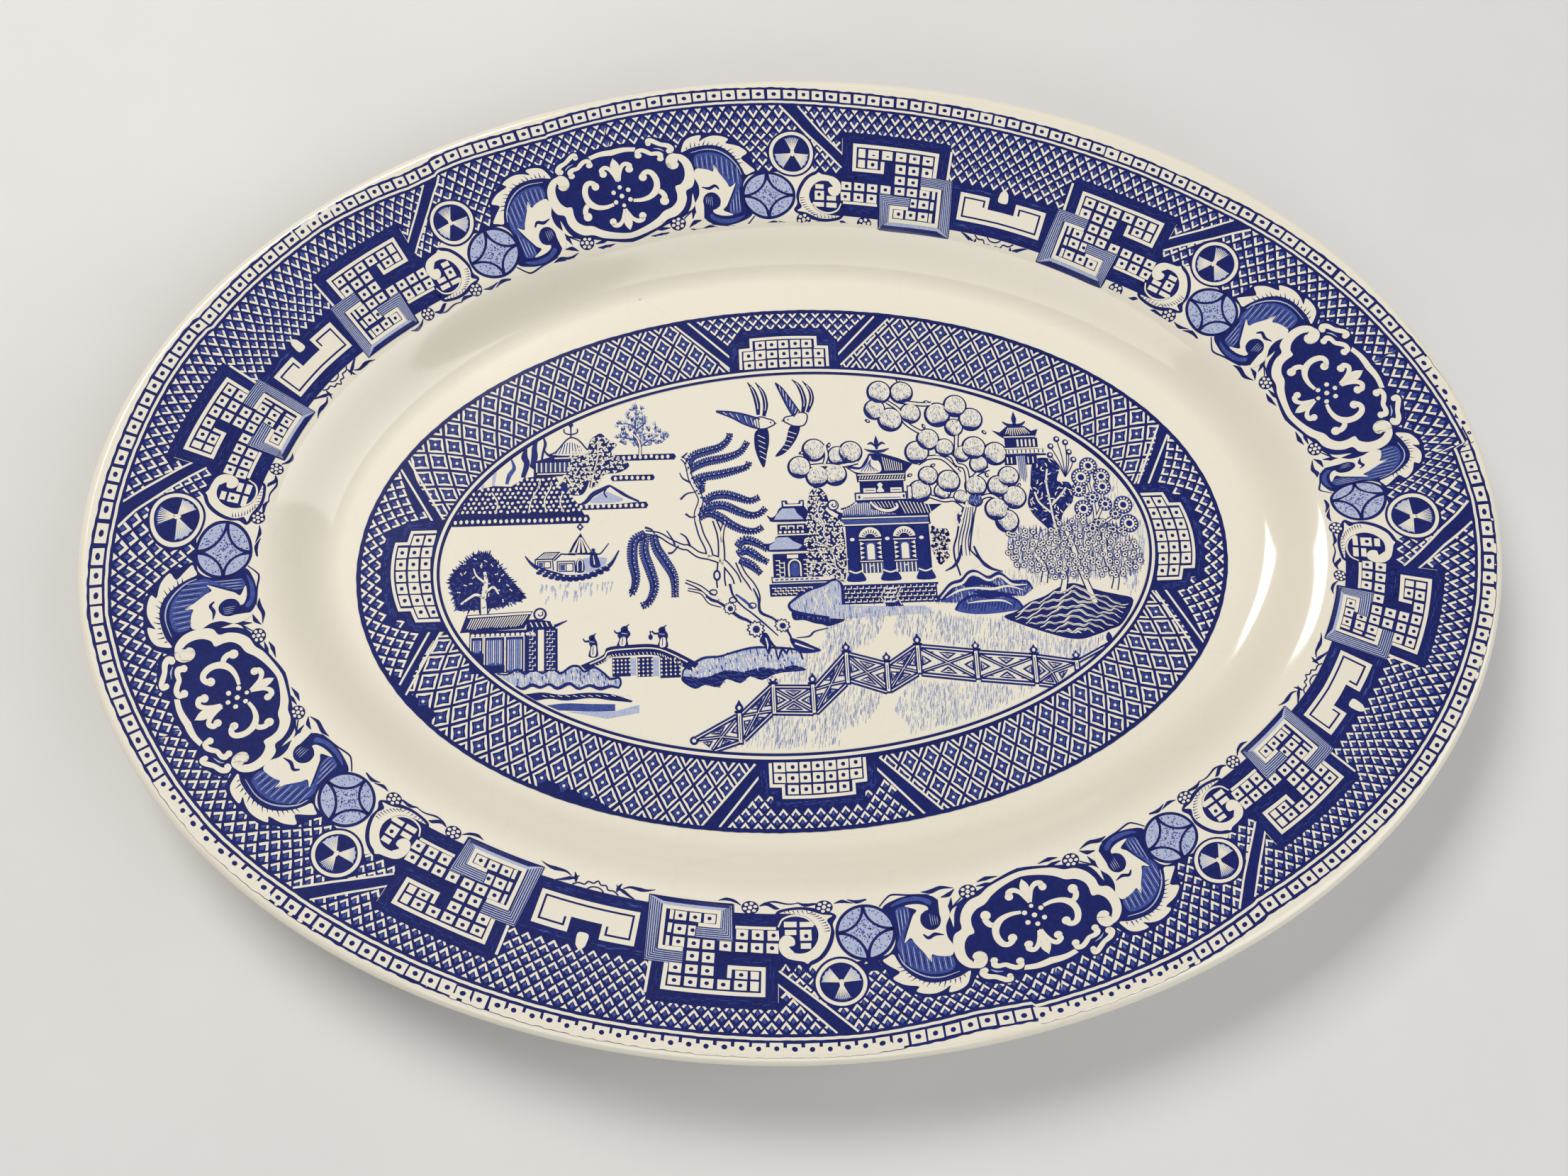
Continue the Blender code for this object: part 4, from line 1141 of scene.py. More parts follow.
WILLOW = [
    [(-30, 22.5), (-28.5, 25), (-25, 26.2), (-21.5, 27.2), (-19, 29.5), (-18.6, 31.2)],
    [(-30, 20.5), (-28.5, 21.8), (-25, 23.3), (-20, 24.2), (-16, 25.8), (-14, 28.7)],
    [(-29, 18), (-26.5, 19), (-22, 19.6), (-18, 20.5), (-14.5, 21.5), (-13.8, 23)],
    [(-26.5, 14.5), (-27, 16), (-26, 18.5)],
    [(-26, 12), (-24, 13.6), (-20.5, 14), (-17, 13), (-14, 12), (-11.5, 13)],
    [(-27, 9.5), (-24.5, 10.8), (-21, 11), (-17.5, 9.3), (-14, 8), (-11.5, 8.5), (-10, 10)],
    [(-27.5, 7.8), (-25, 9), (-22, 7.8), (-19.5, 5.8), (-16, 4), (-13, 3.7), (-11, 4.8)],
    [(-18, -.5), (-16, 1.3), (-13, .5), (-10, -1.5)],
    [(-18, -2.5), (-15.5, -1.5), (-12.5, -3.5), (-10, -5)],
    [(-17.5, -4), (-14.5, -5.5), (-12, -8)],
    [(-41.5, 4), (-44.5, 2), (-45, -3), (-44.2, -8), (-45, -11.5), (-46, -12)],
    [(-41.5, 3.5), (-42, -1), (-40.5, -6), (-39.5, -10.5), (-41, -14.5), (-43, -15.5)],
    [(-39.5, 3.5), (-38.8, 0), (-36.5, -4), (-34.5, -8), (-34.3, -13.5)],
]


def draw_willow():
    limb([(-31.5, 24.5), (-30.6, 23.6), (-30, 22), (-29.3, 18.5), (-27.7, 15), (-26.9, 12.5), (-28, 9.2), (-28, 7)], [.5, .75, .9, 1.0], .32)
    for pts in ([(-31.5, 24.6), (-30.6, 25.4), (-30, 26)], [(-32.2, 13), (-30.5, 14.5), (-28, 15)], [(-31, 9), (-29.6, 8), (-28.2, 8.2)],
                [(-29.4, 17.6), (-31.4, 18.8), (-32.2, 20.4)], [(-27, 13.4), (-24.6, 12.8)]):
        C.curve("scene_ink", pts, [.55, .25])
    limb([(-41.5, 4.3), (-38, 3.5), (-35, 1.5), (-32, 0), (-30.5, -.3), (-28, -2.2), (-25, -3), (-22, -4.3), (-20, -6.5), (-18.5, -9), (-18, -12), (-18.5, -14)],
         [.5, .8, 1.0, 1.1, 1.3, 1.6], .4)
    for pts in ([(-36, 4.5), (-34.5, 2), (-34, .5)], [(-32.5, 3.7), (-31, 2.5), (-30, 0)], [(-39, 3.6), (-40, 5), (-41.6, 5.6)], [(-33, .4), (-34.6, -1.4), (-35.8, -1.6)]):
        C.curve("scene_ink", pts, [.3, .6])
    limb([(-28, 7), (-27, 3), (-25.5, -.5), (-25, -3)], [.9, 1.0, 1.2], .4)
    limb([(-23.5, 7), (-22.3, 3), (-22, -1), (-22.2, -5), (-22.5, -9), (-22, -13.5)], [.6, .9, 1.2, 1.6, 1.9], .42)
    limb([(-20.8, 6.5), (-21.6, 4), (-22, 1)], [.4, .7], .32)
    limb([(-18, -4.5), (-16.5, -8), (-14.5, -11), (-13.5, -14), (-14, -17)], [.6, .9, 1.3, 1.6], .4)
    limb([(-31.5, -9.3), (-28, -11), (-25, -13.5), (-22.5, -14.4)], [.4, .7, 1.0], .36)
    limb([(-31, -11.5), (-27.5, -12.5), (-25.5, -15), (-22.5, -16)], [.3, .5, .8], .3)
    # the trunk, down to the point
    left = smooth([(-24.6, -11.6), (-22.6, -15.6), (-18.3, -19.1), (-15.5, -20.6), (-11.7, -24.4), (-9.5, -27.4)], 5)
    right = smooth([(-16.6, -10.0), (-13.0, -14.9), (-12.6, -18.2), (-9.3, -20.1), (-6, -23.4), (-4.6, -26.8)], 5)
    C.band("scene_cream", left, right)
    C.curve("scene_ink", [(-26.5, -13.6), (-22.6, -15.6), (-18.3, -19.1), (-15.5, -20.6), (-11.7, -24.4), (-9.5, -27.4)], [.4, .7, .9, .7, .8, .6])
    C.curve("scene_ink", [(-14.2, -11.8), (-13, -14.9), (-12.6, -18.2), (-9.3, -20.1), (-6, -23.4), (-4.6, -26.8)], [.4, .6, .8, .6, .6, .5])
    C.curve("scene_ink", [(-20.2, -10.4), (-19.4, -13.6), (-17.2, -16.4), (-14.6, -18.6), (-11.6, -21.4), (-8.4, -24.6)], [.7, .5, .4, .5, .3])
    C.curve("scene_tone", [(-18.8, -13.2), (-16.4, -15.2), (-14.4, -17.2)], [.5, .8, .5])
    for x, y, r in ((-20.4, -16.9, 1.25), (-14.0, -22.6, 1.7), (-7.2, -21.9, 1.45)):
        lobes = 11
        wave = [1.16 + .14 * math.cos(lobes * t) + .1 * math.sin(2 * t + x) for t in np.linspace(0, math.tau, 66, endpoint=False)]
        e = oval(x, y, r, r * .92, 66) - [x, y]
        e = np.array([[p[0] * q, p[1] * q] for p, q in zip(e, wave)])
        c, sn = math.cos(-.7), math.sin(-.7)
        e = np.stack([e[:, 0] * c * 1.12 - e[:, 1] * sn, e[:, 0] * sn * 1.12 + e[:, 1] * c], 1)
        C._put("scene_ink", ("poly", e * 1.06 + [x, y]))
        C._put("scene_light", ("poly", e * .84 + [x, y]))
        C._put("scene_fine", ("poly", e * np.array([.46, .5]) + [x + .1, y - .1]))
    C.dot("scene_ink", -23.4, -8, 1.0, 1.5, 16)
    C.dot("scene_light", -23.4, -8, .5, .9, 12)
    for x, y in ((-19.5, -14.7), (-24.5, -12.5), (-14.6, -16.4)):
        C.ring("scene_ink", x, y, .95, .7, .34, 16)
    C.blob("scene_ink", [(-11.5, -23.6), (-10.2, -26.3), (-11, -29.4), (-12, -27.2), (-13.2, -25.6)], 4)
    C.curve("scene_light", [(-11.6, -25.0), (-11.2, -26.8), (-11.3, -28)], [.3, .4, .1])
    C.line("scene_ink", [(-9.4, -27), (-9.1, -29), (-8.7, -30.7), (-8.1, -29.2), (-7.5, -28), (-7, -28.6), (-6.5, -29.2), (-6, -28.4), (-5.5, -27.8), (-5, -29.5)],
           [.3, .6, .6, .3])
    C.blob("scene_ink", [(-5.4, -25.3), (-2.4, -26.2), (0, -27.4), (2.4, -28.8), (-.6, -29.4), (-3.2, -29.1), (-4.8, -27.4)], 4)
    C.curve("scene_light", [(-4.2, -26.7), (-2, -27.6), (.6, -28.5)], [.5, .4, .1])
    for i, pts in enumerate(WILLOW):
        frond(pts, 1.9 if i < 10 else 2.2)


# ----------------------------------------------------------------------- birds
def feather(pts, w, barbs=0):
    C.curve("scene_dark", pts, w)
    q = smooth(pts, 6)
    C.curve("scene_light", q[3:-3:3], .2, 3)


def wing(upper, lower, n=7):
    a, b = smooth(upper, 6), smooth(lower, 6)
    m = min(len(a), len(b))
    a, b = a[:m], b[:m]
    C.band("scene_blue", a, b)
    C.curve("scene_ink", upper, .42)
    C.curve("scene_ink", lower, .34)
    for i in range(n):
        k = int((i + .6) / n * (m - 1))
        p, q = a[k], b[min(m - 1, k + 2)]
        C.line("scene_ink", [p, p + (q - p) * .96], .24)
        C.line("scene_light", [p + (q - p) * .2 + np.array([.32, 0]), p + (q - p) * .8 + np.array([.32, 0])], .16)


def draw_birds():
    feather([(-13.3, 45.7), (-11.8, 43), (-10.9, 39.5), (-10.8, 36.2)], [.2, 1.3, 1.5, .9])
    feather([(-11.2, 45.6), (-9.3, 42.5), (-8.7, 39), (-9.3, 35.8)], [.2, 1.2, 1.4, .9])
    wing([(-22, 37.6), (-18.5, 37.3), (-15, 36.6), (-12, 35.6), (-10.4, 34.9)], [(-22, 37.4), (-18, 35.6), (-15, 33.8), (-12, 32.5), (-10.6, 32.3)])
    C.blob("scene_dark", [(-11.6, 31.6), (-12.2, 28.5), (-11.7, 25), (-10, 21.2), (-9, 25), (-8.2, 29), (-8.7, 32.4)])
    for k in range(5):
        C.line("scene_light", [(-11.2 + .1 * k, 30.4 - 1.5 * k), (-9.3, 29.4 - 1.5 * k)], .2)
    edged("scene_cream", [(-12.2, 34.6), (-10.4, 35.6), (-8.4, 35), (-7, 34.5), (-6.5, 33.5), (-7.6, 32.8), (-9.2, 32.2), (-11.4, 32.4)], .34)
    C.fill("scene_ink", [(-6.7, 34.1), (-5.9, 33.6), (-6.7, 33.3)])
    C.dot("scene_ink", -7.6, 33.9, .24, n=8)
    wing([(-5.8, 45.3), (-4, 43.6), (-2.3, 41), (-.8, 38.6), (.3, 36.8)], [(-5.8, 45.2), (-4.2, 41.2), (-3, 38.4), (-2, 36.4), (-1.2, 35.4)])
    feather([(-1.3, 46.2), (.6, 44), (1.7, 40), (1.2, 36.6)], [.2, 1.2, 1.4, .9])
    feather([(1.5, 45.7), (3.4, 43), (3.7, 40), (2.4, 36.6)], [.2, 1.1, 1.3, .8])
    C.blob("scene_dark", [(-2.5, 32.6), (-4, 28), (-6.8, 24.3), (-4, 25.3), (-1, 29), (.2, 32.8)])
    for k in range(5):
        C.line("scene_light", [(-3.0 - .45 * k, 31.2 - 1.25 * k), (-.9 - .62 * k, 30.4 - 1.15 * k)], .2)
    edged("scene_cream", [(2.3, 35.8), (.4, 36.6), (-1.8, 35.7), (-3.6, 35.3), (-4.1, 34.3), (-3, 33.5), (-1.2, 32.7), (1.4, 33)], .34)
    C.fill("scene_ink", [(-3.8, 34.9), (-4.8, 34.2), (-3.8, 34)])
    C.dot("scene_ink", -2.9, 34.6, .24, n=8)


# ------------------------------------------------------------- the fruit tree
BALLS = [(3.5, 25.7, 3.3), (9.7, 23.9, 2.8), (13.2, 24.8, 3.3), (-.6, 21, 3.2), (4, 18.3, 3.2), (8.7, 18.7, 3.3), (22, 41.8, 3.4), (28, 41.5, 3.3),
         (20.5, 36.8, 3), (24.5, 33.8, 3.5), (30, 35.4, 3), (37.3, 34.8, 3.6), (42.3, 37.2, 3.3), (46.2, 33.2, 3.4), (41.5, 31, 2.6),
         (34.2, 27.8, 3.2), (31, 24.2, 3.4), (38.5, 25.3, 2.7), (46.4, 25, 3.4), (52, 23.2, 3.4), (43, 23.4, 2.4), (47.3, 20.3, 2.6),
         (33.5, 17.5, 2.8), (38.8, 15.8, 3.3), (31, 13.3, 3.2), (37, 13, 2.4), (46, 14.2, 3.1), (52, 14, 3.1), (55, 16.6, 3), (56, 10.8, 3.4),
         (51, 7.6, 3.3), (53.5, 4.2, 3.3), (41.7, 11.3, 2)]


def draw_fruit():
    stems = [[(2.5, 21.2), (6, 21.4), (11, 21.2), (15, 22)], [(24, 39), (27, 36.5), (28.5, 33), (31.5, 30.5), (35, 29)], [(36, 23.5), (40, 23), (41.5, 20.5), (43.5, 19.5), (44, 16), (43.6, 9)],
             [(41.3, 22), (42, 28), (42.5, 33)], [(33, 12), (37, 10.6), (40, 10.6), (42.6, 8.6)], [(31, 21), (34, 22.6), (38, 22.2), (42, 18)], [(50, 19), (46.5, 17.5), (44.4, 14)],
             [(54, 8), (50, 11.4), (46, 10), (44.6, 7)], [(28, 38.8), (33, 38), (36, 38)], [(6, 21.4), (6.8, 24), (6.4, 27)]]
    for p in stems:
        limb(p, [.5, .65, .7], .36)
    limb([(43.8, 10.5), (43.8, 8.5), (42.8, 5), (41.6, 0), (40.9, -4), (43, -8.8)], [1.6, 2.4, 3.0, 3.2, 4.0, 6.5], .5)
    for dx in (-1.1, -.35, .5, 1.2):
        C.curve("scene_ink", [(43.8 + dx * .7, 8.4), (42.8 + dx, 4), (41.4 + dx * 1.1, -1), (41.2 + dx * 1.3, -5)], [.2, .35, .2])
    C.curve("scene_ink", [(36, -8.9), (38.4, -7.6), (40, -5.2), (40.8, -2)], [.3, .9, .5])
    C.curve("scene_ink", [(51, -9.6), (48, -8.6), (45.6, -6.4), (44, -2.4)], [.3, 1.0, .5])
    for k in range(8):
        C.dot("scene_light", 40.7 + .8 * math.cos(k * .785), 5.4 + 1.9 * math.sin(k * .785), .4, n=9)
    C.dot("scene_fine", 40.7, 5.4, .4, 1.3, 14)
    C.line("scene_light", [(45.9, 2.9), (45.3, .9), (45.6, -.8)], [.12, .34, .1])
    for x, y, r in BALLS:
        ball(x, y, r)
    ball(45.5, 10.5, 2.2, True)
    for x, y in ((7.6, 27), (.2, 25), (12.2, 21.4), (27.4, 45), (18.4, 33.6), (33.4, 31.6), (49.6, 29.4), (34.6, 38.6), (49.2, 17.2), (35, 20.4), (41.4, 19.4), (50.2, 11), (28.6, 17.8), (57.6, 14)):
        C.dot("scene_dark", x, y, .8, .5, 10, tilt=x)
        C.dot("scene_light", x + .1, y, .35, .2, 8, tilt=x)


# ------------------------------------------------------------ the large pagoda
def draw_pagoda():
    C.fill("scene_ink", [(20.3, 29.4), (20.9, 27.6), (20.6, 25.4), (20, 25.4), (19.7, 27.6)])
    for sg in (-1, 1):
        C.curve("scene_ink", [(20.3, 26), (20.3 + sg * 1.3, 27.2), (20.3 + sg * 2.4, 26.9)], [.3, .7, .2])
        C.curve("scene_ink", [(20.3, 24.7), (20.3 + sg * 1.8, 25), (20.3 + sg * 3.3, 25.6)], [.9, .7, .2])
    C.blob("scene_ink", [(18.6, 23.5), (19, 22.5), (20, 22.2), (21, 22.6), (21.4, 23.5), (20, 23)])
    C.fill("scene_dark", [(18.2, 24.3), (21.4, 24.3), (25.8, 22.8), (29.6, 21.1), (27.4, 18.6), (14.6, 18.4), (11.6, 20.6), (15.7, 20.4)])
    C.blob("scene_cream", [(18, 23.6), (17.2, 21.7), (15.4, 20.3), (12.6, 20.6), (14.8, 19.0), (20.6, 18.9), (21, 21.2), (19.6, 23)], 4)
    for k in range(6):
        C.line("scene_tone", [(18.6 - .1 * k, 22.6 - .32 * k), (15.7 + .9 * k, 19.2)], .22)
    C.curve("scene_ink", [(18.1, 24), (17.2, 21.7), (15.4, 20.2), (12.4, 20.7)], [.5, .5, .8])
    for k in range(9):
        C.line("scene_light", [(21.6 + .62 * k, 23.2 - .24 * k), (22.2 + .55 * k, 19.3)], .2)
    C.fill("scene_dark", [(14.3, 18.7), (27.6, 18.7), (27.4, 16.3), (14.5, 16.3)])
    C.line("scene_light", [(14.7, 18.25), (27.3, 18.25)], .32)
    C.line("scene_light", [(14.9, 16.7), (27.1, 16.7)], .32)
    for k in range(17):
        C.line("scene_light", [(15.1 + .72 * k, 17.1), (15.5 + .72 * k, 17.85)], .26)
    C.box("scene_dark", 15.1, 13.2, 26.8, 16.3)
    C.box("scene_light", 16, 13.3, 19.3, 14.5)
    C.box("scene_light", 23.2, 13.3, 26.2, 14.5)
    C.line("scene_fine", [(16.4, 13.9), (18.9, 13.9)], .2)
    C.line("scene_fine", [(23.6, 13.9), (25.8, 13.9)], .2)
    C.blob("scene_light", [(20.5, 16), (21.2, 15.4), (20.9, 14.7), (21.5, 13.5), (19.6, 13.5), (20.1, 14.7), (19.8, 15.4)], 4)
    plate_of("scene_cream", [(13.8, 11.1), (27.3, 11.1), (27.3, 13.2), (13.8, 13.2)], .4)
    for x in (14.8, 26.6):
        C.dot("scene_ink", x, 12.1, .3, .5, 8)
    C.line("scene_tone", [(15.8, 11.8), (25.8, 11.8)], .22)
    plate_of("scene_cream", [(27.7, 11.2), (28.9, 11.2), (28.9, 14.8), (27.7, 14.8)], .3)
    # lower roof
    C.fill("scene_dark", [(13.9, 11.1), (30, 11.1), (32.6, 9.6), (36.6, 9.6), (33.2, 7.2), (32.9, 6.6), (8.6, 6.6), (9.8, 9.2), (11.8, 9.6)])
    C.fill("scene_blue", [(9.6, 8.8), (14.2, 10.9), (24, 10.9), (24, 6.8), (9.9, 6.8)])
    C.fill("scene_tone", [(10.4, 8.6), (14.4, 10.6), (17.2, 10.6), (18.6, 8.4), (21, 7.4), (24.4, 7.1), (24.2, 6.9), (9.9, 6.9)])
    for k in range(26):
        x = 10.2 + k * .55
        top = min(10.5, 8.2 + (x - 9) * .5) if x < 17.4 else max(7.4, 8.7 - (x - 18) * .3)
        C.line("scene_light", [(x, top - .25 * DICE.rand()), (x + .05, 6.95 + .5 * DICE.rand())], [.28, .16])
    for k in range(9):
        C.line("scene_light", [(25.2 + .95 * k, 10.8 - .12 * k), (26.8 + .85 * k, 7.2)], .24)
    for k in range(6):
        C.line("scene_light", [(18.6 + .95 * k, 10.7), (19.7 + .85 * k, 9.0)], .2)
    C.curve("scene_dark", [(7.6, 9.0), (9.6, 7.9), (12.4, 8.6), (14.4, 10.8)], 1.0)
    C.curve("scene_cream", [(8.2, 9.3), (9.8, 8.35), (12, 8.9), (14, 10.7)], [.6, .8, .7, .4])
    C.dot("scene_ink", 7.7, 10.1, 1.55, n=20)
    C.dot("scene_light", 7.75, 10.1, 1.15, n=18)
    C.curve("scene_fine", [(8.4, 10.9), (8.6, 10.1), (8, 9.6), (7.4, 10), (7.8, 10.5)], [.2, .35, .3])
    C.curve("scene_light", [(17.6, 10.7), (19.4, 8.9), (22.3, 8.1), (24.6, 9), (24.4, 10.2)], [.5, .75, .75, .5])
    C.fill("scene_dark", [(8.7, 6.6), (33, 6.6), (33.2, 4.1), (9.6, 4.1)])
    C.box("scene_tone", 9.7, 4.8, 32.6, 5.9)
    C.line("scene_light", [(9.7, 6.3), (32.6, 6.3)], .36)
    C.line("scene_light", [(9.9, 4.45), (32.7, 4.45)], .36)
    # between the columns
    C.fill("scene_dark", [(10.6, 4.1), (32.6, 4.1), (32.6, -8.9), (10.6, -8.9)])
    for cx in (16.9, 25.9):
        C.band("scene_light", oval(cx, .8, 2.95, 2.9, 20, .1, math.pi - .1), oval(cx, .8, 1.35, 1.1, 20, .1, math.pi - .1))
        for k in range(8):
            a = .35 + k * .35
            C.line("scene_fine", [(cx + 1.5 * math.cos(a), .8 + 1.3 * math.sin(a)), (cx + 2.3 * math.cos(a), .8 + 2.2 * math.sin(a))], .26)
        C.line("scene_light", [(cx - 3, .25), (cx + 3, .25)], .3)
        for sg in (-1, 1):
            for j in range(4):
                y = -.7 - j * 1.25
                C.fill("scene_light", [(cx + sg * 1.6, y), (cx + sg * 2.75, y + .45), (cx + sg * 2.75, y - .6)])
        C.box("scene_tone", cx - 1.35, -5.2, cx + 1.35, -.4)
        C.fill("scene_light", [(cx - .95, -5.1), (cx + .95, -5.1), (cx + .95, -1.3), (cx + .5, -.8), (cx - .5, -.8), (cx - .95, -1.3)])
        C.line("scene_light", [(cx - 3, -5.6), (cx + 3, -5.6)], .26)
        for k in range(6):
            x = cx - 2.5 + k * 1.0
            C.line("scene_light", [(x, -6.1), (x, -8.7)], .34)
            C.line("scene_tone", [(x + .5, -6.1), (x + .5, -8.7)], .3)
        C.line("scene_light", [(cx - .5, -7), (cx + .5, -6.6)], .26)
    for x0, x1, k in ((10.9, 13.6, 12.2), (20.1, 22.8, 21.4), (28.8, 31.9, 30.4)):
        C.box("scene_ink", x0, -8.2, x1, 4.0)
        C.dot("scene_light", k, .45, .62, .48, 12)
        C.line("scene_tone", [(x0 + .5, 3.4), (x0 + .6, -7.6)], .14)
    C.fill("scene_cream", [(10.4, -8.75), (33.2, -8.75), (34.6, -11.8), (9.6, -11.8)])
    for x0, x1 in ((10.4, 14.9), (19.3, 24.1), (28.6, 33.1)):
        C.blob("scene_ink", [(x0, -10.9), (x0 + .1, -9.4), (x0 + 1, -8.5), (x1 - 1, -8.5), (x1 - .1, -9.4), (x1, -10.9)], 3)
        C.curve("scene_light", [(x0 + .4, -8.0), ((x0 + x1) / 2, -8.65), (x1 - .4, -8.0)], .42)
    C.line("scene_ink", [(9, -12.1), (33.8, -12.1)], .6)
    bricks(9.0, 33.4, -17.0, -12.3, 4, 1.55, w=.28)
    C.fill("scene_dark", [(20.2, -12.3), (24.6, -12.3), (23.2, -15.2), (24.4, -17.9), (19.8, -17.9), (18.2, -15.2)])
    C.fill("scene_ink", [(20.6, -12.5), (24, -12.5), (22.5, -15.3), (23.4, -17.7), (20, -17.7), (18.9, -15.3)])
    for k in range(4):
        y = -13.2 - 1.15 * k
        C.line("scene_light", [(20.0 - .3 * min(k, 2), y), (22.9 - .3 * min(k, 2), y)], .3)
    C.line("scene_light", [(20, -12.6), (18.6, -15.2), (19.7, -17.6)], .26)
    C.line("scene_light", [(24.2, -12.6), (22.8, -15.2), (23.9, -17.6)], .26)
    # scrolls of leaves beside it
    side = [(33.2, 3.0), (35, 3.4), (37.2, 2.2), (38, -2), (37, -5), (35, -7.4), (33.6, -6), (33, -2)]
    for x, y in scatter(side, .9, .5):
        C.dot("scene_dark", x, y, .62, .5, 9, tilt=DICE.rand() * 3)
    for x, y in scatter(side, 1.3, .3):
        a = DICE.rand() * 6
        C.curve("scene_light", [(x + .5 * math.cos(a), y + .5 * math.sin(a)), (x + .4 * math.cos(a + 1.4), y + .4 * math.sin(a + 1.4)), (x, y), (x - .5 * math.cos(a), y - .5 * math.sin(a))], .3, 4)


def draw_pavilion():
    C.fill("scene_ink", [(-5.8, 10), (-5.8, 11.8), (-4.4, 11.8), (-4.1, 10.9), (-1.4, 10.9), (-1.1, 11.8), (.1, 11.8), (.1, 10)])
    C.line("scene_light", [(-5.2, 11.4), (-5.1, 10.45), (-.6, 10.45), (-.5, 11.4)], .5)
    C.blob("scene_dark", [(-9.8, 7.9), (-9.2, 6.7), (-8, 6.0), (.8, 6.0), (1.5, 7.4), (.6, 9.4), (-.6, 10.2), (-5.8, 10.1), (-7.4, 8), (-8.6, 7.2)], 4)
    C.fill("scene_soft", [(-8, 6.6), (-7.3, 7.9), (-5.7, 9.6), (-2.5, 9.6), (-1.9, 8.2), (-.8, 7.2), (-.2, 6.5)])
    hatch("scene_tone", (-6.6, 9.2), (-2.2, 9.4), (-.4, 6.6), (-7.8, 6.6), 9, .26, .3)
    C.line("scene_light", [(-6.9, 5.55), (.8, 5.55)], .42)
    C.line("scene_ink", [(-7.2, 5.15), (1, 5.15)], .3)
    C.box("scene_dark", -7.2, 2.0, 1.2, 5.2)
    for x in (-6.3, -4.3, -1.9):
        C.line("scene_light", [(x, 3.9), (x, 4.7), (x + 1.4, 4.7), (x + 1.4, 3.9)], .34)
    for x in (-6.5, -5.2, -4.1, -3, -1.9, -.7):
        C.dot("scene_light", x, 3.1, .4, .36, 10)
    C.line("scene_light", [(-7.4, 2.35), (.8, 2.35)], .34)
    C.blob("scene_dark", [(-11.2, .1), (-10, -1.4), (-9.2, -2.1), (1, -2.1), (2, 1), (1, 2.2), (-7, 2.1), (-8, .8), (-9.6, .1)], 4)
    C.fill("scene_soft", [(-9.6, -1.6), (-9.5, -.4), (-8.2, .5), (-7.5, 1.7), (-4.5, 1.7), (-3.3, .6), (-.9, -.6), (-2, -1.6)])
    hatch("scene_tone", (-7.2, 1.5), (-4.4, 1.5), (-2, -1.5), (-9, -1.5), 11, .28, .3)
    C.line("scene_light", [(-8.5, -2.45), (.6, -2.45)], .44)
    C.box("scene_dark", -8.8, -9.2, 2.5, -2.8)
    C.box("scene_light", -5.1, -4.05, -2.2, -3.1)
    C.curve("scene_light", [(-4.75, -9), (-4.75, -6), (-4.2, -4.9), (-3.2, -4.5), (-2.2, -4.9), (-1.7, -6), (-1.7, -9)], .42)
    C.blob("scene_tone", [(-4.1, -8.7), (-4.1, -6), (-3.2, -5.1), (-2.3, -6), (-2.3, -8.7)], 4)
    for x, w in ((-8.1, 2.2), (-.9, 2.0)):
        for k in range(4):
            y = -4.6 - 1.25 * k
            C.line("scene_light", [(x, y), (x + w * .45, y), (x + w * .45, y - .7), (x + w, y - .7)], .26)
        C.line("scene_light", [(x + w, -5), (x + w, -8.7)], .26)
    plate_of("scene_cream", [(-9.3, -9.1), (7.2, -9.1), (7.0, -10.4), (-9.2, -10.4)], .35)
    for k in range(9):
        C.line("scene_tone", [(-8.4 + 1.3 * k, -9.8), (-7.6 + 1.3 * k, -9.7)], .4)
    C.fill("scene_ink", [(-10, -10.9), (4.6, -10.9), (2.4, -11.7), (-10, -11.7)])
    C.fill("scene_dark", [(-10, -11.5), (2.8, -11.5), (0, -12.7), (-2.2, -14.2), (-9.9, -14.2)])
    for r in range(3):
        y = -12.0 - .75 * r
        x = -9.4 + (.6 if r % 2 else 0)
        while x + 1 < 2.2 - r * 2.1:
            C.line("scene_light", [(x, y), (x + .95, y), (x + .95, y - .4)], .26)
            x += 1.35


def draw_leaf_tree():
    body = [(3, 15.4), (5, 14.8), (6.2, 13), (6.8, 10.8), (5.6, 9), (7, 7.4), (8.5, 6.6), (9.8, 5), (10.3, 0), (10.4, -6), (10, -9.2), (9.5, -10.9), (8.4, -10.6), (7, -9.2), (3, -9.5),
            (.5, -8.6), (.2, -3), (-.3, 0), (.5, 3), (-.2, 6), (1, 8), (1.0, 11), (1.8, 13.8)]
    C.fill("scene_dark", body)
    for x, y in scatter(body, 1.24, .3):
        leafed(x, y, .56, turn=DICE.rand() * 6, lobes=3 if DICE.rand() < .6 else 2)
    for p in ([(4.2, 11.6), (3.6, 8), (5, 5), (4.8, 2), (5.6, .5), (5.3, -.9), (6.3, -2), (7.2, -4.5), (7.4, -6.5), (8.6, -8.5), (9.3, -10.6)],
              [(2.8, .3), (5, -1), (6.3, -1.8), (8, -.9), (10, -.2)], [(3, -1.5), (3.8, -3.3), (5.4, -6), (7.2, -7.2), (8.8, -7.8)], [(1, -5.2), (3, -5.6), (5.3, -5.4)], [(2, 7.6), (3.2, 6.4), (4.6, 4.2)]):
        C.curve("scene_ink", p, 1.0)
        C.curve("scene_light", p, .34)


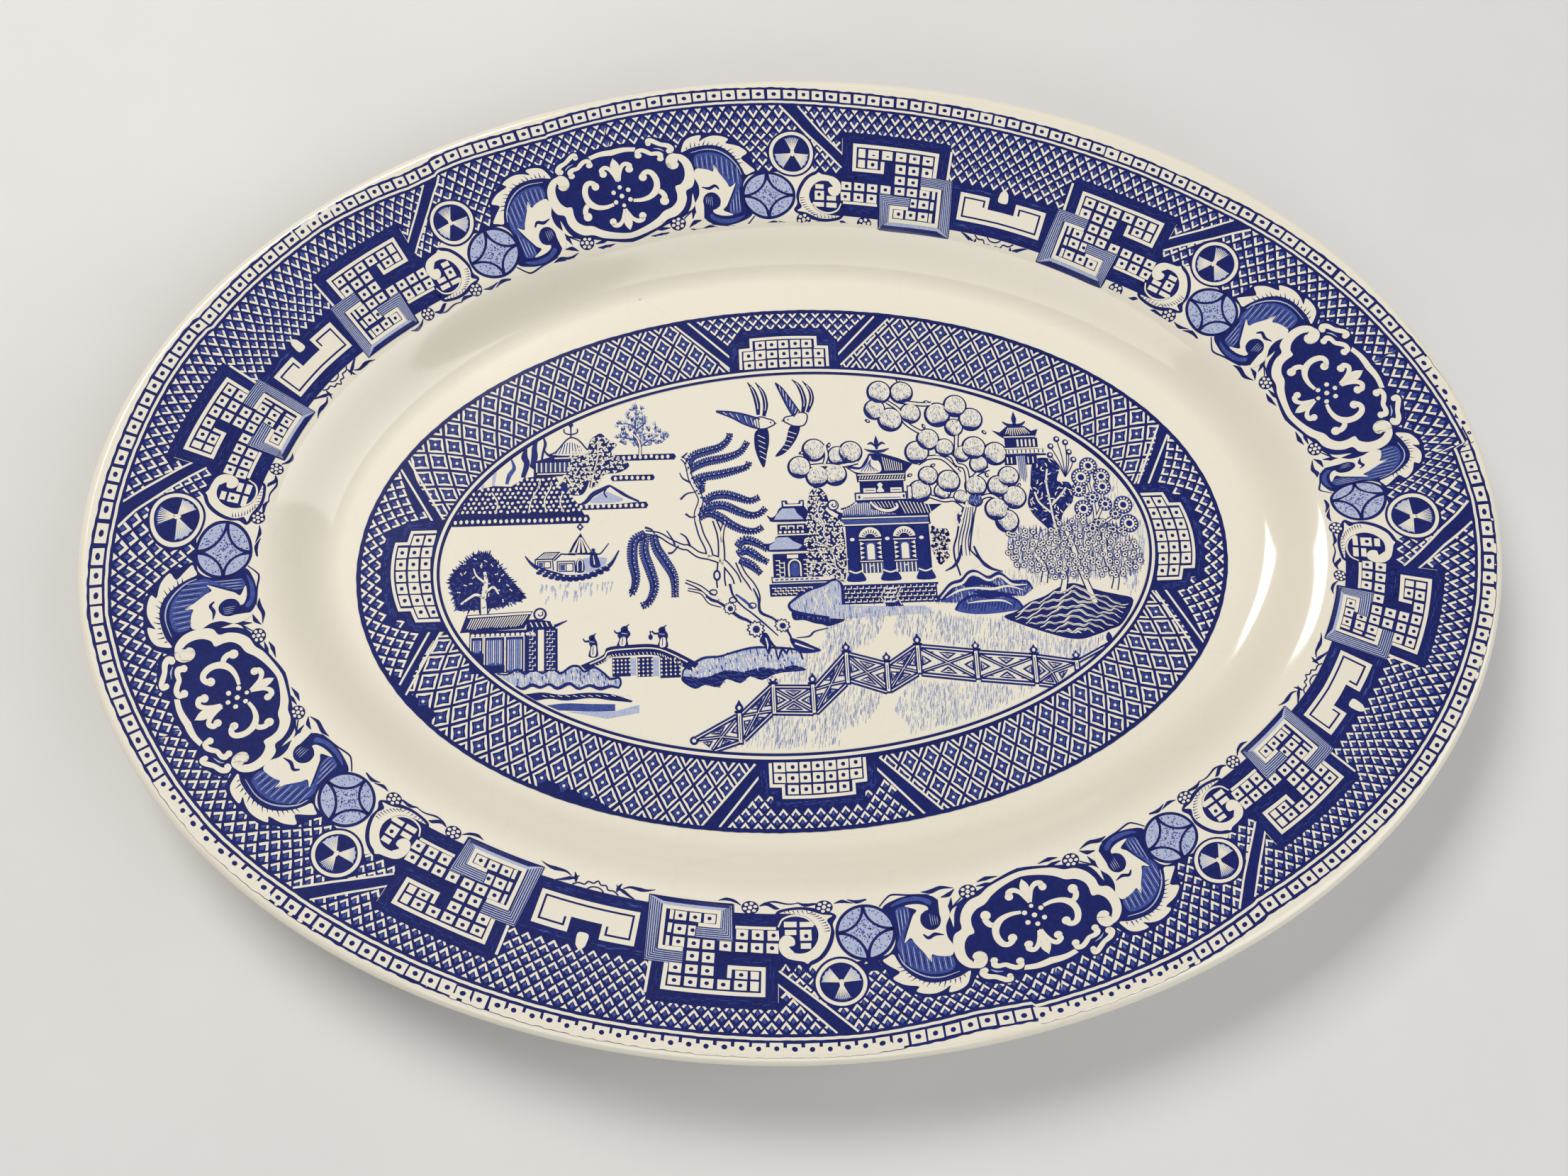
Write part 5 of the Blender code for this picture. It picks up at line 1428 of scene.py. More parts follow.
# ----------------------------------------------- the right bank and its bushes
def draw_far_pagoda():
    C.fill("scene_ink", [(58, 35.2), (58.7, 33), (58.3, 31), (57.7, 31), (57.3, 33)])
    C.curve("scene_ink", [(54.8, 32.2), (56.2, 31.3), (58, 31.1), (59.8, 31.3), (61, 32.2)], [.3, .8, .9, .8, .3])
    C.fill("scene_dark", [(51.6, 29.9), (53.6, 28.2), (55, 27.3), (63.2, 27.3), (64.2, 29.9), (62.4, 29.4), (60.6, 30.9), (55.8, 30.9), (53.8, 29.2)])
    hatch("scene_light", (56, 30.4), (60.6, 30.4), (62.6, 28.2), (54.8, 28.2), 11, .26, .25)
    C.line("scene_light", [(54.8, 27.8), (63.2, 27.8)], .3)
    C.box("scene_dark", 54.9, 22.4, 63.8, 27.4)
    for k in range(5):
        C.line("scene_light", [(58.4 + 1.1 * k, 27), (58.4 + 1.1 * k, 25)], .5)
    C.line("scene_light", [(54.8, 24.5), (65.6, 24.5)], .34)
    C.line("scene_ink", [(54.6, 22.6), (65.8, 22.6)], .5)
    C.fill("scene_cream", [(55.2, 23), (65.4, 23), (65.4, 24.2), (55.2, 24.2)])
    for k in range(9):
        C.line("scene_ink", [(55.8 + 1.15 * k, 24.1), (55.8 + 1.15 * k, 23.1)], .3)
    C.box("scene_dark", 54.4, 19.8, 57.6, 22.4)
    C.box("scene_dark", 60, 19.8, 63.2, 22.4)
    for x in (55.2, 56.3, 60.8, 62.1):
        C.line("scene_light", [(x, 22), (x, 20.2)], .34)
    for k in range(9):
        x = 58.1 + .24 * k
        C.line("scene_soft" if k % 2 else "scene_tone", [(x, 22.3), (x, 14.6 + 2.2 * DICE.rand())], [.2, .14])
    tree = [(62, 20.5), (66, 21.5), (69, 19), (68, 15), (71, 14.5), (72, 12), (71.5, 9), (70, 7.5), (68.5, 5.5), (66, .5), (63, 3), (60.5, 6), (59.5, 9), (60.5, 13)]
    C.blob("scene_dark", tree)
    for x, y in scatter(tree, 1.5, .5):
        a = DICE.rand() * 6
        C.curve("scene_light" if DICE.rand() < .6 else "scene_tone", [(x - .6 * math.cos(a), y - .6 * math.sin(a)), (x + .15 * math.sin(a), y - .15 * math.cos(a)), (x + .6 * math.cos(a), y + .6 * math.sin(a))], [.2, .36, .2], 3)
    for p in ([(66.5, .5), (65.8, 5), (65.5, 9), (65, 14.5), (65.6, 18.4)], [(65.6, 8), (68.6, 11), (70.2, 13)], [(65.6, 6), (62.6, 9), (61.6, 12)]):
        C.curve("scene_ink", p, 1.2)
        C.curve("scene_light", p, .5)
    for x, y in ((69, 26.8), (71.3, 25.8), (67.2, 24.8), (66.8, 22.3), (72, 23), (73, 20.8)):
        C.curve("scene_ink", [(x, y), ((x + 70.3) / 2 + .4, (y + 16) / 2), (70.3, 16)], .26)
        C.dot("scene_ink", x, y, .85, n=12)
        C.dot("scene_light", x + .1, y + .1, .4, n=9)


def blossom(x, y, r):
    """A round flower: a dark ring, a ring of light, a dark eye."""
    C.dot("scene_ink", x, y, r, r * .95, n=18)
    if r < 1:
        C.dot("scene_light", x, y, r * .74, n=12)
        C.dot("scene_fine", x + .04, y, r * .34, n=9)
        return
    n = int(r * 6)
    for k in range(n):
        a = math.tau * k / n
        C.dot("scene_light", x + r * .78 * math.cos(a), y + r * .78 * math.sin(a), r * .13, r * .1, 7, tilt=a)
    C.dot("scene_light", x, y, r * .6, n=16)
    C.dot("scene_fine", x, y, r * .36, n=12)


BIG = [(76.8, 18.9, 2.3), (74.5, 15.7, 2.5), (80, 15.8, 2.2), (80, 12.9, 2.2), (73.5, 12.2, 1.9), (85, 7.6, 2.4), (74.2, 6.9, 2.3), (86, 2.4, 2.4),
       (80.2, 8, 1.8), (76, 1.3, 1.5), (77.8, 3, 1.3), (81.5, .9, 1.3), (77, 10, 1.6), (82.6, 5.2, 1.5)]


def draw_bushes():
    bush = [(53, .5), (55.5, 2.6), (58.4, 1.5), (61, 2.4), (64, 1.4), (67.4, 4.2), (70.4, 3.6), (72.6, 5.6), (75, 3.4), (79, 4), (82, 2.4), (85, 0), (88, -3.6), (88.8, -8.2), (86, -11.4),
            (82, -12.2), (78, -12.4), (74, -12), (70, -12.4), (66, -12), (62.4, -11.6), (58.6, -10), (54.8, -8.4), (52.6, -4)]
    for x, y in scatter(bush, .78, .8):
        L = DICE.uniform(.6, 1.1)
        C.line("scene_blue" if DICE.rand() < .72 else "scene_wash", [(x + .1, y + L), (x - .1, y - L)], [.12, DICE.uniform(.26, .5), .12])
    for x, y in scatter(bush, 1.7, .8):
        a = DICE.uniform(-1.4, 1.4)
        C.line("scene_ink", [(x - .8 * math.cos(a), y - .8 * math.sin(a)), (x + .8 * math.cos(a), y + .8 * math.sin(a))], [.12, .3, .12])
    for x, y in scatter([(72, -1), (73, 8), (72, 14), (74, 19), (79, 20), (83, 16), (88, 9), (90, 0)], 1.3, .8):
        C.line("scene_blue" if DICE.rand() < .3 else "scene_wash", [(x + .1, y + .7), (x - .1, y - .7)], [.1, .3, .1])
    for x0, y0, x1, y1 in ((77, 0, 76, 16), (77.4, 4, 79.8, 11), (76.6, 8, 73.6, 12), (78, 2, 84.6, 7), (80, 0, 85.4, 2)):
        limb([(x0, y0), ((x0 + x1) / 2 + .6, (y0 + y1) / 2), (x1, y1)], [.6, .4], .26)
    for p in ([(66.4, -9), (67.2, -12), (66.2, -16)], [(71, -8), (72.6, -13), (74.5, -19)], [(79.4, -9), (80.8, -12), (80, -15.5)], [(60.6, -6), (62.2, -9.4), (61.6, -13)], [(69, 1), (70.4, -4), (71, -8)], [(79, 0), (78.6, -5), (79.4, -9)]):
        limb(p, [.9, 1.1, 1.3], .34)
    for x, y in scatter(bush, 2.05, .45):
        blossom(x, y, .84)
    for x, y, r in BIG:
        C.dot("scene_blue", x, y, r * 1.08, n=16)
        blossom(x, y, r)


def draw_rocks():
    mound = [(31, -17), (34, -15.5), (37, -12.5), (40, -11.5), (42, -9.5), (44, -9.3), (47, -11), (50, -10), (53, -12.3), (57, -12.5), (58.4, -14.6), (56, -16.4), (46, -16), (38, -17.6)]
    C.fill("scene_blue", mound)
    for x, y in scatter(mound, .8, .7):
        C.line("scene_cream" if DICE.rand() < .45 else "scene_dark", [(x, y + .6), (x + .1, y - .6)], [.1, .3, .1])
    C.curve("scene_ink", mound[:11], [.4, .8, .6, .8, .5])
    C.curve("scene_light", [(x + .1, y - .85) for x, y in mound[1:10]], [.3, .8, .6, .9, .5, .8, .2])
    C.curve("scene_light", [(35.5, -16.2), (39, -14.4), (43, -13.8), (48, -14.2), (52, -13.6), (56, -14.8)], [.2, .6, .5, .7, .5, .2])
    for p in ([(32, -16.6), (34.6, -15.6), (38, -12.8), (35.8, -16.4)], [(39.6, -11.9), (43, -10.8), (46, -11.5), (50, -14), (45, -13), (41, -13.4)],
              [(43, -14.6), (47, -14.6), (50.6, -15.2), (54.4, -16.1), (49, -16.4), (45, -16)], [(50.6, -10.6), (53.6, -12.6), (57.6, -13.2), (54, -14)]):
        C.blob("scene_ink", p, 4)
    low = [(37.8, -19.6), (38.8, -17.8), (41, -16.4), (43.4, -15.8), (47, -16.5), (50, -15.8), (54, -17.5), (55.4, -19.6), (50, -20.6), (43, -20.8)]
    C.blob("scene_blue", low)
    C.curve("scene_ink", low[:8], [.4, .8, .6, .8, .4])
    hatch("scene_ink", (39.6, -17.6), (54, -17.8), (53, -20.2), (39, -20), 17, .3, .5)
    C.curve("scene_light", [(41, -17.8), (45, -17.4), (50, -17.4), (52.6, -18.6)], [.2, .5, .5, .2])
    # the striped mound
    cx = 68.8
    outer = [(50.2, -21.8), (53.6, -20.4), (57, -18.2), (61.4, -16.6), (65, -14.6), (69, -13.4), (73, -14.6), (77, -16.0), (81, -17.0), (84.6, -18.6), (86.2, -20.8),
             (84, -23.2), (81, -24.6), (77.4, -26.2), (74, -27.4), (70, -28.4), (66, -28.0), (61.5, -26.6), (58.2, -25.4), (54.6, -24.0)]
    outer = [p for p in outer if in_scene(p[0], p[1], .9)]
    C.blob("scene_dark", outer, 4)
    for k in range(8):
        y = -14.4 - 1.62 * k
        half = 17.6 - 1.0 * k
        xs = np.linspace(-half, half * .96, 41)
        ys = y - .40 * np.abs(xs) * (1 - .075 * k) + .42 * np.sin(xs * .95 + k * 1.7) + .18 * np.sin(xs * 2.3 + k)
        pts = [(cx + a, b) for a, b in zip(xs, ys) if inside(outer, cx + a, b + .5) and inside(outer, cx + a, b - .5)]
        if len(pts) > 4:
            C.line("scene_light", pts, [.15, .5, .38, .62, .5, .66, .36, .5, .15], step=3)
            C.line("scene_fine", [(a + .2, b - .04) for a, b in pts[2:-2]], .13, step=3)
    for x, y in ((69, -26.6), (66.6, -26), (71.6, -26)):
        C.line("scene_light", [(x - .9, y - .3), (x, y + .3), (x + .9, y - .3)], [.15, .5, .15])


# ---------------------------------------------------- left bank, house and boat
def draw_left_tree():
    crown = [(-82.4, .1), (-79.2, -3), (-76.3, -6.8), (-73.5, -10.6), (-73.2, -12.2), (-75, -13.2), (-80, -14.6), (-88.4, -15.0), (-89.6, -13), (-90.6, -10), (-91.2, -7), (-89.5, -4), (-86, -1)]
    C.blob("scene_dark", crown, 4)
    edge = smooth(crown, 7, True)
    for x, y in edge:
        a = math.atan2(y + 8, x + 82) + DICE.normal(0, .4)
        L = DICE.uniform(.3, 1.3)
        C.line("scene_dark" if DICE.rand() < .6 else "scene_blue", [(x - .4 * math.cos(a), y - .4 * math.sin(a)), (x + L * math.cos(a), y + L * math.sin(a))], [.6, .16])
    for x, y in scatter(crown, 1.5, .5):
        a = DICE.rand() * 6
        leafed(x, y, .42, "scene_light" if DICE.rand() < .25 else "scene_tone", turn=a, lobes=2)
    for p, w in (([(-82.6, -16.2), (-82.8, -12), (-82.2, -8), (-82.6, -5)], [1.5, 1.2, .7]), ([(-82.6, -12), (-84.6, -11), (-86.3, -11.8), (-88.5, -13.4)], [.8, .5]),
                 ([(-82.4, -10.6), (-80.4, -9.1), (-79, -11)], [.7, .4]), ([(-82.4, -8), (-84.6, -6), (-85.4, -4)], [.6, .3])):
        limb(p, w, .34)


def draw_house():
    C.fill("scene_dark", [(-87.0, -16.3), (-70.4, -15.8), (-72.6, -20.3), (-88.6, -20.9)])
    hatch("scene_light", (-86, -17.4), (-71.4, -16.8), (-73.4, -19.9), (-87.4, -20.4), 24, .26, .2)
    C.line("scene_light", [(-86.7, -16.8), (-70.8, -16.3)], .5)
    C.dot("scene_ink", -68.6, -16.7, 1.7, n=18)
    C.dot("scene_light", -68.6, -16.7, 1.2, n=16)
    C.curve("scene_fine", [(-68, -16), (-67.9, -16.8), (-68.6, -17.2), (-69.1, -16.7)], .3)
    C.fill("scene_dark", [(-72, -18), (-69.6, -18), (-66, -18.6), (-64.6, -20.6), (-72, -20.6)])
    for k in range(5):
        C.line("scene_light", [(-71 + 1.3 * k, -18.8), (-70.4 + 1.3 * k, -20)], .3)
    C.curve("scene_ink", [(-65, -20), (-63.6, -19.4), (-61.8, -18.6)], [.8, .6, .2])
    C.box("scene_dark", -86.2, -31.6, -64.2, -20.6)
    for k in range(13):
        C.dot("scene_light", -85.4 + 1.25 * k, -21.7, .5, .42, 10)
    for x0, x1, y1 in ((-85.4, -83.2, -26.4), (-82.0, -77.8, -29.6), (-76.8, -73.0, -31.3)):
        C.box("scene_blue", x0, y1, x1, -22.7)
        C.box("scene_tone", x0 + .1, y1, x1 - .1, -22.8)
        n = max(3, int((x1 - x0) / .52))
        for k in range(n):
            x = x0 + (k + .5) / n * (x1 - x0)
            C.line("scene_light" if k % 3 == 0 else "scene_soft", [(x, -23.1), (x, y1 + .2 + .6 * DICE.rand())], .26 if k % 3 == 0 else .2)
        C.line("scene_ink", [(x0, y1), (x0, -22.6), (x1, -22.6), (x1, y1)], .45)
        C.line("scene_light", [(x0 - .42, y1), (x0 - .42, -22.2), (x1 + .42, -22.2), (x1 + .42, y1)], .26)
    for x0, x1 in ((-71.6, -69.4), (-67.3, -64.5)):
        bricks(x0, x1, -31.5, -20.8, 11, 1.3, "scene_ink", w=.22)
    C.box("scene_light", -69.1, -31.4, -67.6, -20.8)
    C.line("scene_tone", [(-68.7, -21.4), (-68.7, -31)], .22)


def draw_left_bank():
    bank = [(-79.2, -31.8), (-76.6, -32), (-74.2, -30.8), (-72.3, -32), (-70.1, -30.6), (-68, -32), (-65.6, -30.8), (-63.5, -32.2), (-60.9, -30.6), (-59, -30.6), (-57.5, -32), (-55.1, -31),
            (-52.8, -32.5), (-51.1, -34.1), (-49, -33.9), (-48.5, -35.3), (-49, -36.5), (-51.1, -36), (-53.7, -36.5), (-56.3, -35.6), (-59, -36.3), (-61.3, -34.9), (-64.2, -36), (-66.3, -34.9),
            (-68.5, -35.6), (-70.6, -34.9), (-72.8, -35.8), (-74.6, -35.0)]
    C.blob("scene_wash", bank, 4)
    C.curve("scene_ink", bank[:17], [.3, .6, .5, .6, .5, .6, .4], 5)
    C.curve("scene_ink", bank[16:], [.5, .9, .6, .9, .6, .9, .4], 5)
    for x, y in scatter(bank, 1.0, .7):
        C.line("scene_blue" if DICE.rand() < .35 else "scene_cream", [(x, y + .5), (x + .1, y - .6)], [.42, .14])
    C.band("scene_dark", smooth([(-72.3, -37.2), (-68, -36.9), (-63, -37.7), (-57, -37.4), (-51, -38), (-45.6, -39.9)], 5),
           smooth([(-69.6, -38.9), (-66, -38.6), (-62, -39.2), (-56, -38.8), (-51, -39.6), (-46, -40.3)], 5))
    C.band("scene_blue", smooth([(-67, -40.2), (-62, -39.9), (-56, -40.3), (-50, -40.6)], 5), smooth([(-64, -41.6), (-60, -41.9), (-56, -42.2), (-50, -42.3)], 5))
    for k in range(12):
        C.line("scene_light", [(-68 + 1.9 * k, -37.7 - .06 * k), (-66.9 + 1.9 * k, -38.1 - .06 * k)], [.15, .35, .15])
    C.fill("scene_wash", [(-62, -42), (-50, -42.4), (-44, -41), (-44, -43), (-52, -44.2)])


def draw_boat():
    C.fill("scene_cream", [(-70.4, -3.2), (-67.8, -.6), (-60, -.6), (-54.6, -1.4), (-50.2, -1.2), (-50.4, -3.2), (-54, -5.8), (-61, -7), (-67.4, -5.4)])
    C.blob("scene_soft", [(-57.6, -2.4), (-55, -2.2), (-51.6, -2.4), (-52.6, -4.6), (-56, -5.8), (-58.6, -5.8)])
    C.curve("scene_ink", [(-72.4, -1.2), (-70.5, -3.5), (-68, -5), (-64, -6.5), (-61.5, -7.2), (-57, -7), (-53, -5.5), (-50.5, -4), (-48.4, -.4)], [.3, 1.0, 1.2, 1.3, 1.3, 1.1, .3])
    for k in range(12):
        t = (k + .5) / 12
        x = -69.6 + 18.8 * t
        y = -7.9 + ((x + 60.5) / 10.5) ** 2 * 3.4
        C.dot("scene_ink", x, y, .8, .5, 9)
        C.dot("scene_light", x, y + 1.0, .3, .18, 8)
    C.line("scene_ink", [(-69.8, -4.6), (-69.8, -2.2), (-65.4, -2.2), (-65.2, -5.2)], .3)
    C.line("scene_ink", [(-64.2, -5.6), (-64.2, -2.9), (-59.8, -2.9), (-59.6, -6)], .3)
    for x0, x1, y0, y1 in ((-69.2, -65.9, -4.5, -2.8), (-63.7, -60.2, -5.6, -3.5)):
        C.line("scene_ink", [(x0, y0), (x0, y1), (x1, y1), (x1, y0)], .28, True)
        C.line("scene_ink", [((x0 + x1) / 2, y0), ((x0 + x1) / 2, y1)], .24)
        C.box("scene_tone", x0 + .25, y0 + .25, (x0 + x1) / 2 - .3, y1 - .25)
    C.fill("scene_ink", [(-70, -2.3), (-67.6, -.3), (-63.4, -.3), (-65.2, -2.3)])
    C.fill("scene_light", [(-69.2, -2.0), (-67.4, -.6), (-64.1, -.6), (-65.5, -2.0)])
    hatch("scene_fine", (-67.4, -.7), (-64.3, -.7), (-65.8, -1.9), (-68.8, -1.9), 6, .16)
    C.line("scene_ink", [(-65, -2.6), (-63.2, -.9), (-59.6, -1.2)], .4)
    C.blob("scene_ink", [(-59.4, -5.8), (-59.4, -3.2), (-58.4, -2.3), (-57.4, -3.2), (-57.4, -5.8)], 4)
    C.curve("scene_light", [(-59.0, -5.6), (-59.0, -3.2), (-58.4, -2.6), (-57.8, -3.2), (-57.8, -5.6)], .26)
    C.fill("scene_dark", [(-58.2, 4.6), (-60, 2), (-61.4, -.9), (-54.9, -1.3), (-56.6, 1.6)])
    for k in range(4):
        x = -60.2 + k * 1.4
        C.line("scene_light", [(-58.2 + (x + 58.2) * .12, 3.4), (x, -.7)], [.16, .75])
    C.line("scene_ink", [(-61.4, -.9), (-54.9, -1.2)], .4)
    C.fill("scene_ink", [(-58.3, 7.4), (-57.4, 6.3), (-58.3, 5.2), (-59.2, 6.3)])
    C.dot("scene_light", -58.3, 6.3, .34, n=8)
    C.blob("scene_ink", [(-55.6, -4.6), (-55.9, -2), (-55.3, -.6), (-54.5, -.6), (-53.8, -2), (-53.2, -4.6)], 4)
    C.dot("scene_ink", -55.0, -.1, .52, .46, n=10)
    C.curve("scene_ink", [(-54.4, -1.2), (-53.1, -1.0), (-51, 1.6)], [.5, .34, .24])
    C.line("scene_light", [(-55, -1.6), (-54.7, -4)], [.16, .34])
    for k in range(46):
        x, y = -69 + 19 * DICE.rand(), -8.6 - 4.4 * DICE.rand() ** 1.3
        C.line("scene_wash", [(x, y), (x - .2, y - 1.0 - DICE.rand())], [.42, .14])


def person(x, y, foot, r, lamp=None, lean=0.0):
    """A tiny robed figure on the bridge: a dark cap, a pale gown, no features."""
    C.blob("scene_ink", [(x - r * .3, y), (x - r * 1.05 + lean, y - 1.5), (x - r * .75 + lean, y - 2.6), (x - r * 1.15 + lean, foot), (x + r * .8 + lean, foot), (x + r * .75 + lean, y - 2.6),
                         (x + r * 1.15, y - 1.3), (x + r * .5, y)], 4)
    C.blob("scene_light", [(x - r * .45 + lean, y - 2.3), (x - r * .7 + lean, foot + .25), (x + r * .35 + lean, foot + .25), (x + r * .4 + lean, y - 2.2)], 4)
    C.line("scene_light", [(x - r * .5, y - 1.0), (x + r * .5, y - 1.25)], [.12, .34, .12])
    C.line("scene_fine", [(x - .15 + lean, y - 2.2), (x - .3 + lean, foot + .4)], .2)
    C.dot("scene_ink", x, y, r * .72, r * .6, 14, tilt=.5)
    C.line("scene_ink", [(x + r * .1, y + r * .3), (x + r * .95, y + r * .95)], [.55, .12])
    C.curve("scene_ink", [(x - r * .6, y - .9), (x - r * 1.5, y - .9), (x - r * 1.9, y - .2)], [.55, .3])
    if lamp:
        C.line("scene_ink", [(x - r * 1.2, y - .9), lamp, (lamp[0] + .1, lamp[1] - .8)], .26)
        C.dot("scene_ink", lamp[0] + .1, lamp[1] - 1.5, .56, .74, 10)


def draw_bridge():
    deck_t = smooth([(-58.5, -30.4), (-53, -28), (-51.6, -26), (-46, -25.5), (-40, -25.6), (-35.5, -27.2), (-28.8, -31)], 6)
    deck_b = smooth([(-57.3, -31.6), (-52.6, -29.8), (-51, -28.6), (-46, -28.3), (-40, -28.4), (-36, -30), (-30.6, -33.0)], 6)
    C.band("scene_dark", deck_t, deck_b)
    mid = (deck_t * .62 + deck_b * .38)
    C.line("scene_light", mid[2:-2], .34, step=4)
    for k in range(3, len(deck_t) - 3, 1):
        C.line("scene_light", [deck_b[k] * .75 + deck_t[k] * .25, deck_b[k] * .98 + deck_t[k] * .02 + np.array([.3, 0])], .2)
    for x0, x1, yb in ((-50.8, -46, -33.6), (-44.5, -40.4, -33.9), (-38.8, -33.4, -34.4)):
        C.box("scene_dark", x0, yb, x1, -28.8)
        n = int((x1 - x0) / .95)
        for i in range(n):
            for j in range(5):
                cx, cy = x0 + .6 + i * (x1 - x0 - .7) / max(1, n - 1) * .98, -29.5 - j * 1.0
                if cy > yb + .3:
                    C.fill("scene_light", [(cx - .3, cy), (cx, cy + .34), (cx + .3, cy), (cx, cy - .34)])
        C.line("scene_light", [(x0 + .1, -28.9), (x0 + .1, yb)], .28)
    C.fill("scene_soft", [(-46, -33.4), (-44.5, -33.4), (-44.5, -29), (-46, -29)])
    C.fill("scene_soft", [(-40.4, -33.8), (-38.8, -33.8), (-38.8, -29), (-40.4, -29)])
    person(-55.6, -23.3, -28.2, 1.15, lean=.5)
    person(-47.4, -21.4, -25.8, 1.35, lean=-.3)
    person(-37.9, -21.9, -26.5, 1.3, (-40.9, -22.2), .3)


def draw_willow_bank():
    top = [(-33.1, -34.4), (-32.6, -32.5), (-30.2, -31), (-27.4, -29.6), (-23.6, -29.4), (-19.8, -28.4), (-15.5, -27.5), (-11.7, -27.5), (-4, -28.4), (-2.4, -31)]
    bot = [(-2.3, -33.2), (-5, -32.4), (-9, -33.2), (-13, -32.6), (-18, -33.6), (-22, -33), (-27, -34.6), (-31, -34.4)]
    C.blob("scene_wash", top + bot, 4)
    C.curve("scene_ink", top, [.3, .7, .5, .6, .5])
    under = [(-33, -35.6), (-30, -37.5), (-27.5, -36.6), (-24, -37.3), (-22, -35.3), (-18.5, -36.5), (-16, -34.8), (-13, -35.9), (-9, -34.3), (-2.3, -33.9)]
    C.blob("scene_dark", [(-33.1, -34.2)] + under + bot, 3)
    for x, y in scatter(under + bot, 1.1, .4):
        C.line("scene_tone", [(x - .5, y + .2), (x + .5, y - .1)], [.2, .42, .2])
    for x, y in scatter(top + bot, 1.0, .7):
        C.line("scene_blue" if DICE.rand() < .32 else "scene_cream", [(x, y + .5), (x + .15, y - .6)], [.44, .14])
    # the point beyond the pavilion
    tip = [(-5.2, -16.5), (-3, -14.6), (0, -12.8), (4, -11.6), (6.4, -10.3), (7.6, -10.6), (8.6, -12), (8.8, -17.2), (20, -17.8), (30, -18), (32, -20), (10, -20.6), (5, -20.3), (-1, -19.2), (-4.3, -18.2)]
    C.fill("scene_wash", tip)
    for x, y in scatter(tip, .95, .8):
        C.line("scene_blue" if DICE.rand() < .2 else "scene_cream", [(x, y + .6), (x + .1, y - .8)], [.16, .52, .14])
    C.curve("scene_cream", [(5.4, -11.6), (4.2, -14), (6, -17.4)], [.2, .7, .3])
    C.curve("scene_cream", [(.6, -13.8), (1.8, -16), (1.2, -18.6)], [.2, .6, .3])
    C.curve("scene_ink", [(7.6, -10.3), (6.4, -10.2), (4, -11.5), (0, -12.8), (-3, -14.6), (-5.2, -16.5), (-4.3, -18.2), (-1, -19.2), (5, -20.3)], [.4, .6, .7, .6, .9, .6])
    C.curve("scene_ink", [(7.6, -10.3), (8.7, -12), (8.8, -17)], [.3, .7, .8])
    C.blob("scene_dark", [(-4.4, -18.3), (-4.2, -20.5), (-1.5, -20.7), (1, -21.6), (3, -22), (5, -22.5), (9, -21), (5, -20.4), (-1, -19.3)], 4)
    for k in range(7):
        C.line("scene_tone", [(-3.4 + 1.4 * k, -19.4 - .2 * k), (-3.3 + 1.4 * k, -20.3 - .2 * k)], .3)
    C.curve("scene_ink", [(-3.7, -25.3), (-.5, -25), (1, -23.8), (4.5, -23)], [.2, .5, .2])
    C.curve("scene_wash", [(0, -15.2), (2.2, -16.8), (2.8, -18.6)], [.3, .6, .3])


def draw_water():
    """Rippling water: slanting soft strokes, thin in places."""
    beds = [([(5, -20.4), (16, -19.4), (20, -19.5), (17, -26), (13, -28), (9, -30), (5, -36), (-1, -37), (-9, -36.5), (-12, -35.6), (-3, -33), (-1, -29), (4, -26), (3, -23.6)], .82),
            ([(-18, -44), (-9, -45.2), (0, -46), (7, -41), (10, -38), (18, -41), (14, -47), (5, -50), (6, -54), (-4, -56.4), (-20, -54.6), (-27, -52.6)], .82),
            ([(24, -37.5), (42, -39), (58, -40.6), (64, -39.4), (60, -46), (50, -50.4), (38, -53), (24, -55.4), (18, -56), (24, -50), (20, -45)], .82),
            ([(23, -19), (30, -18.6), (38, -21), (50, -22), (56, -25), (64, -28), (72, -28.6), (80, -26), (86, -22), (90, -14), (88, -18), (82, -28), (74, -33.4), (68, -36),
              (56, -31.4), (42, -29.6), (28, -26.6), (21, -25)], .82),
            ([(50, -9.4), (58, -9.8), (64, -12.6), (60, -13.4), (54, -12)], 1.1), ([(82, -12.4), (88, -9), (90.4, -4), (91, 2), (89.6, 6), (88, 1), (87.6, -10), (86, -16), (84, -17.6)], .82)]
    for bed, pitch in beds:
        for x, y in scatter(bed, pitch, .9):
            L = DICE.uniform(.9, 2.1)
            thin = math.sin(x * .43 + y * .21) + math.sin(x * .91 - y * .37 + 2) * .6
            if in_scene(x, y - 1.2, 1.5) and in_scene(x, y + 1, 1.5) and DICE.rand() < .94 - .3 * max(0, thin):
                C.line("scene_wash", [(x + .06, y + L / 2), (x - .14 * L, y - L / 2)], [.12, DICE.uniform(.36, .66), .16])
        for x, y in scatter(bed, 1.3, .9):
            thin = math.sin(x * .43 + y * .21) + math.sin(x * .91 - y * .37 + 2) * .6
            if in_scene(x, y - 1.5, 1.7) and in_scene(x, y + 1, 1.7) and DICE.rand() < .85 - .5 * max(0, thin):
                L = DICE.uniform(.6, 1.7)
                C.line("scene_blue", [(x, y + L / 2), (x - .1 * L, y - L / 2)], [.08, DICE.uniform(.16, .32), .08])


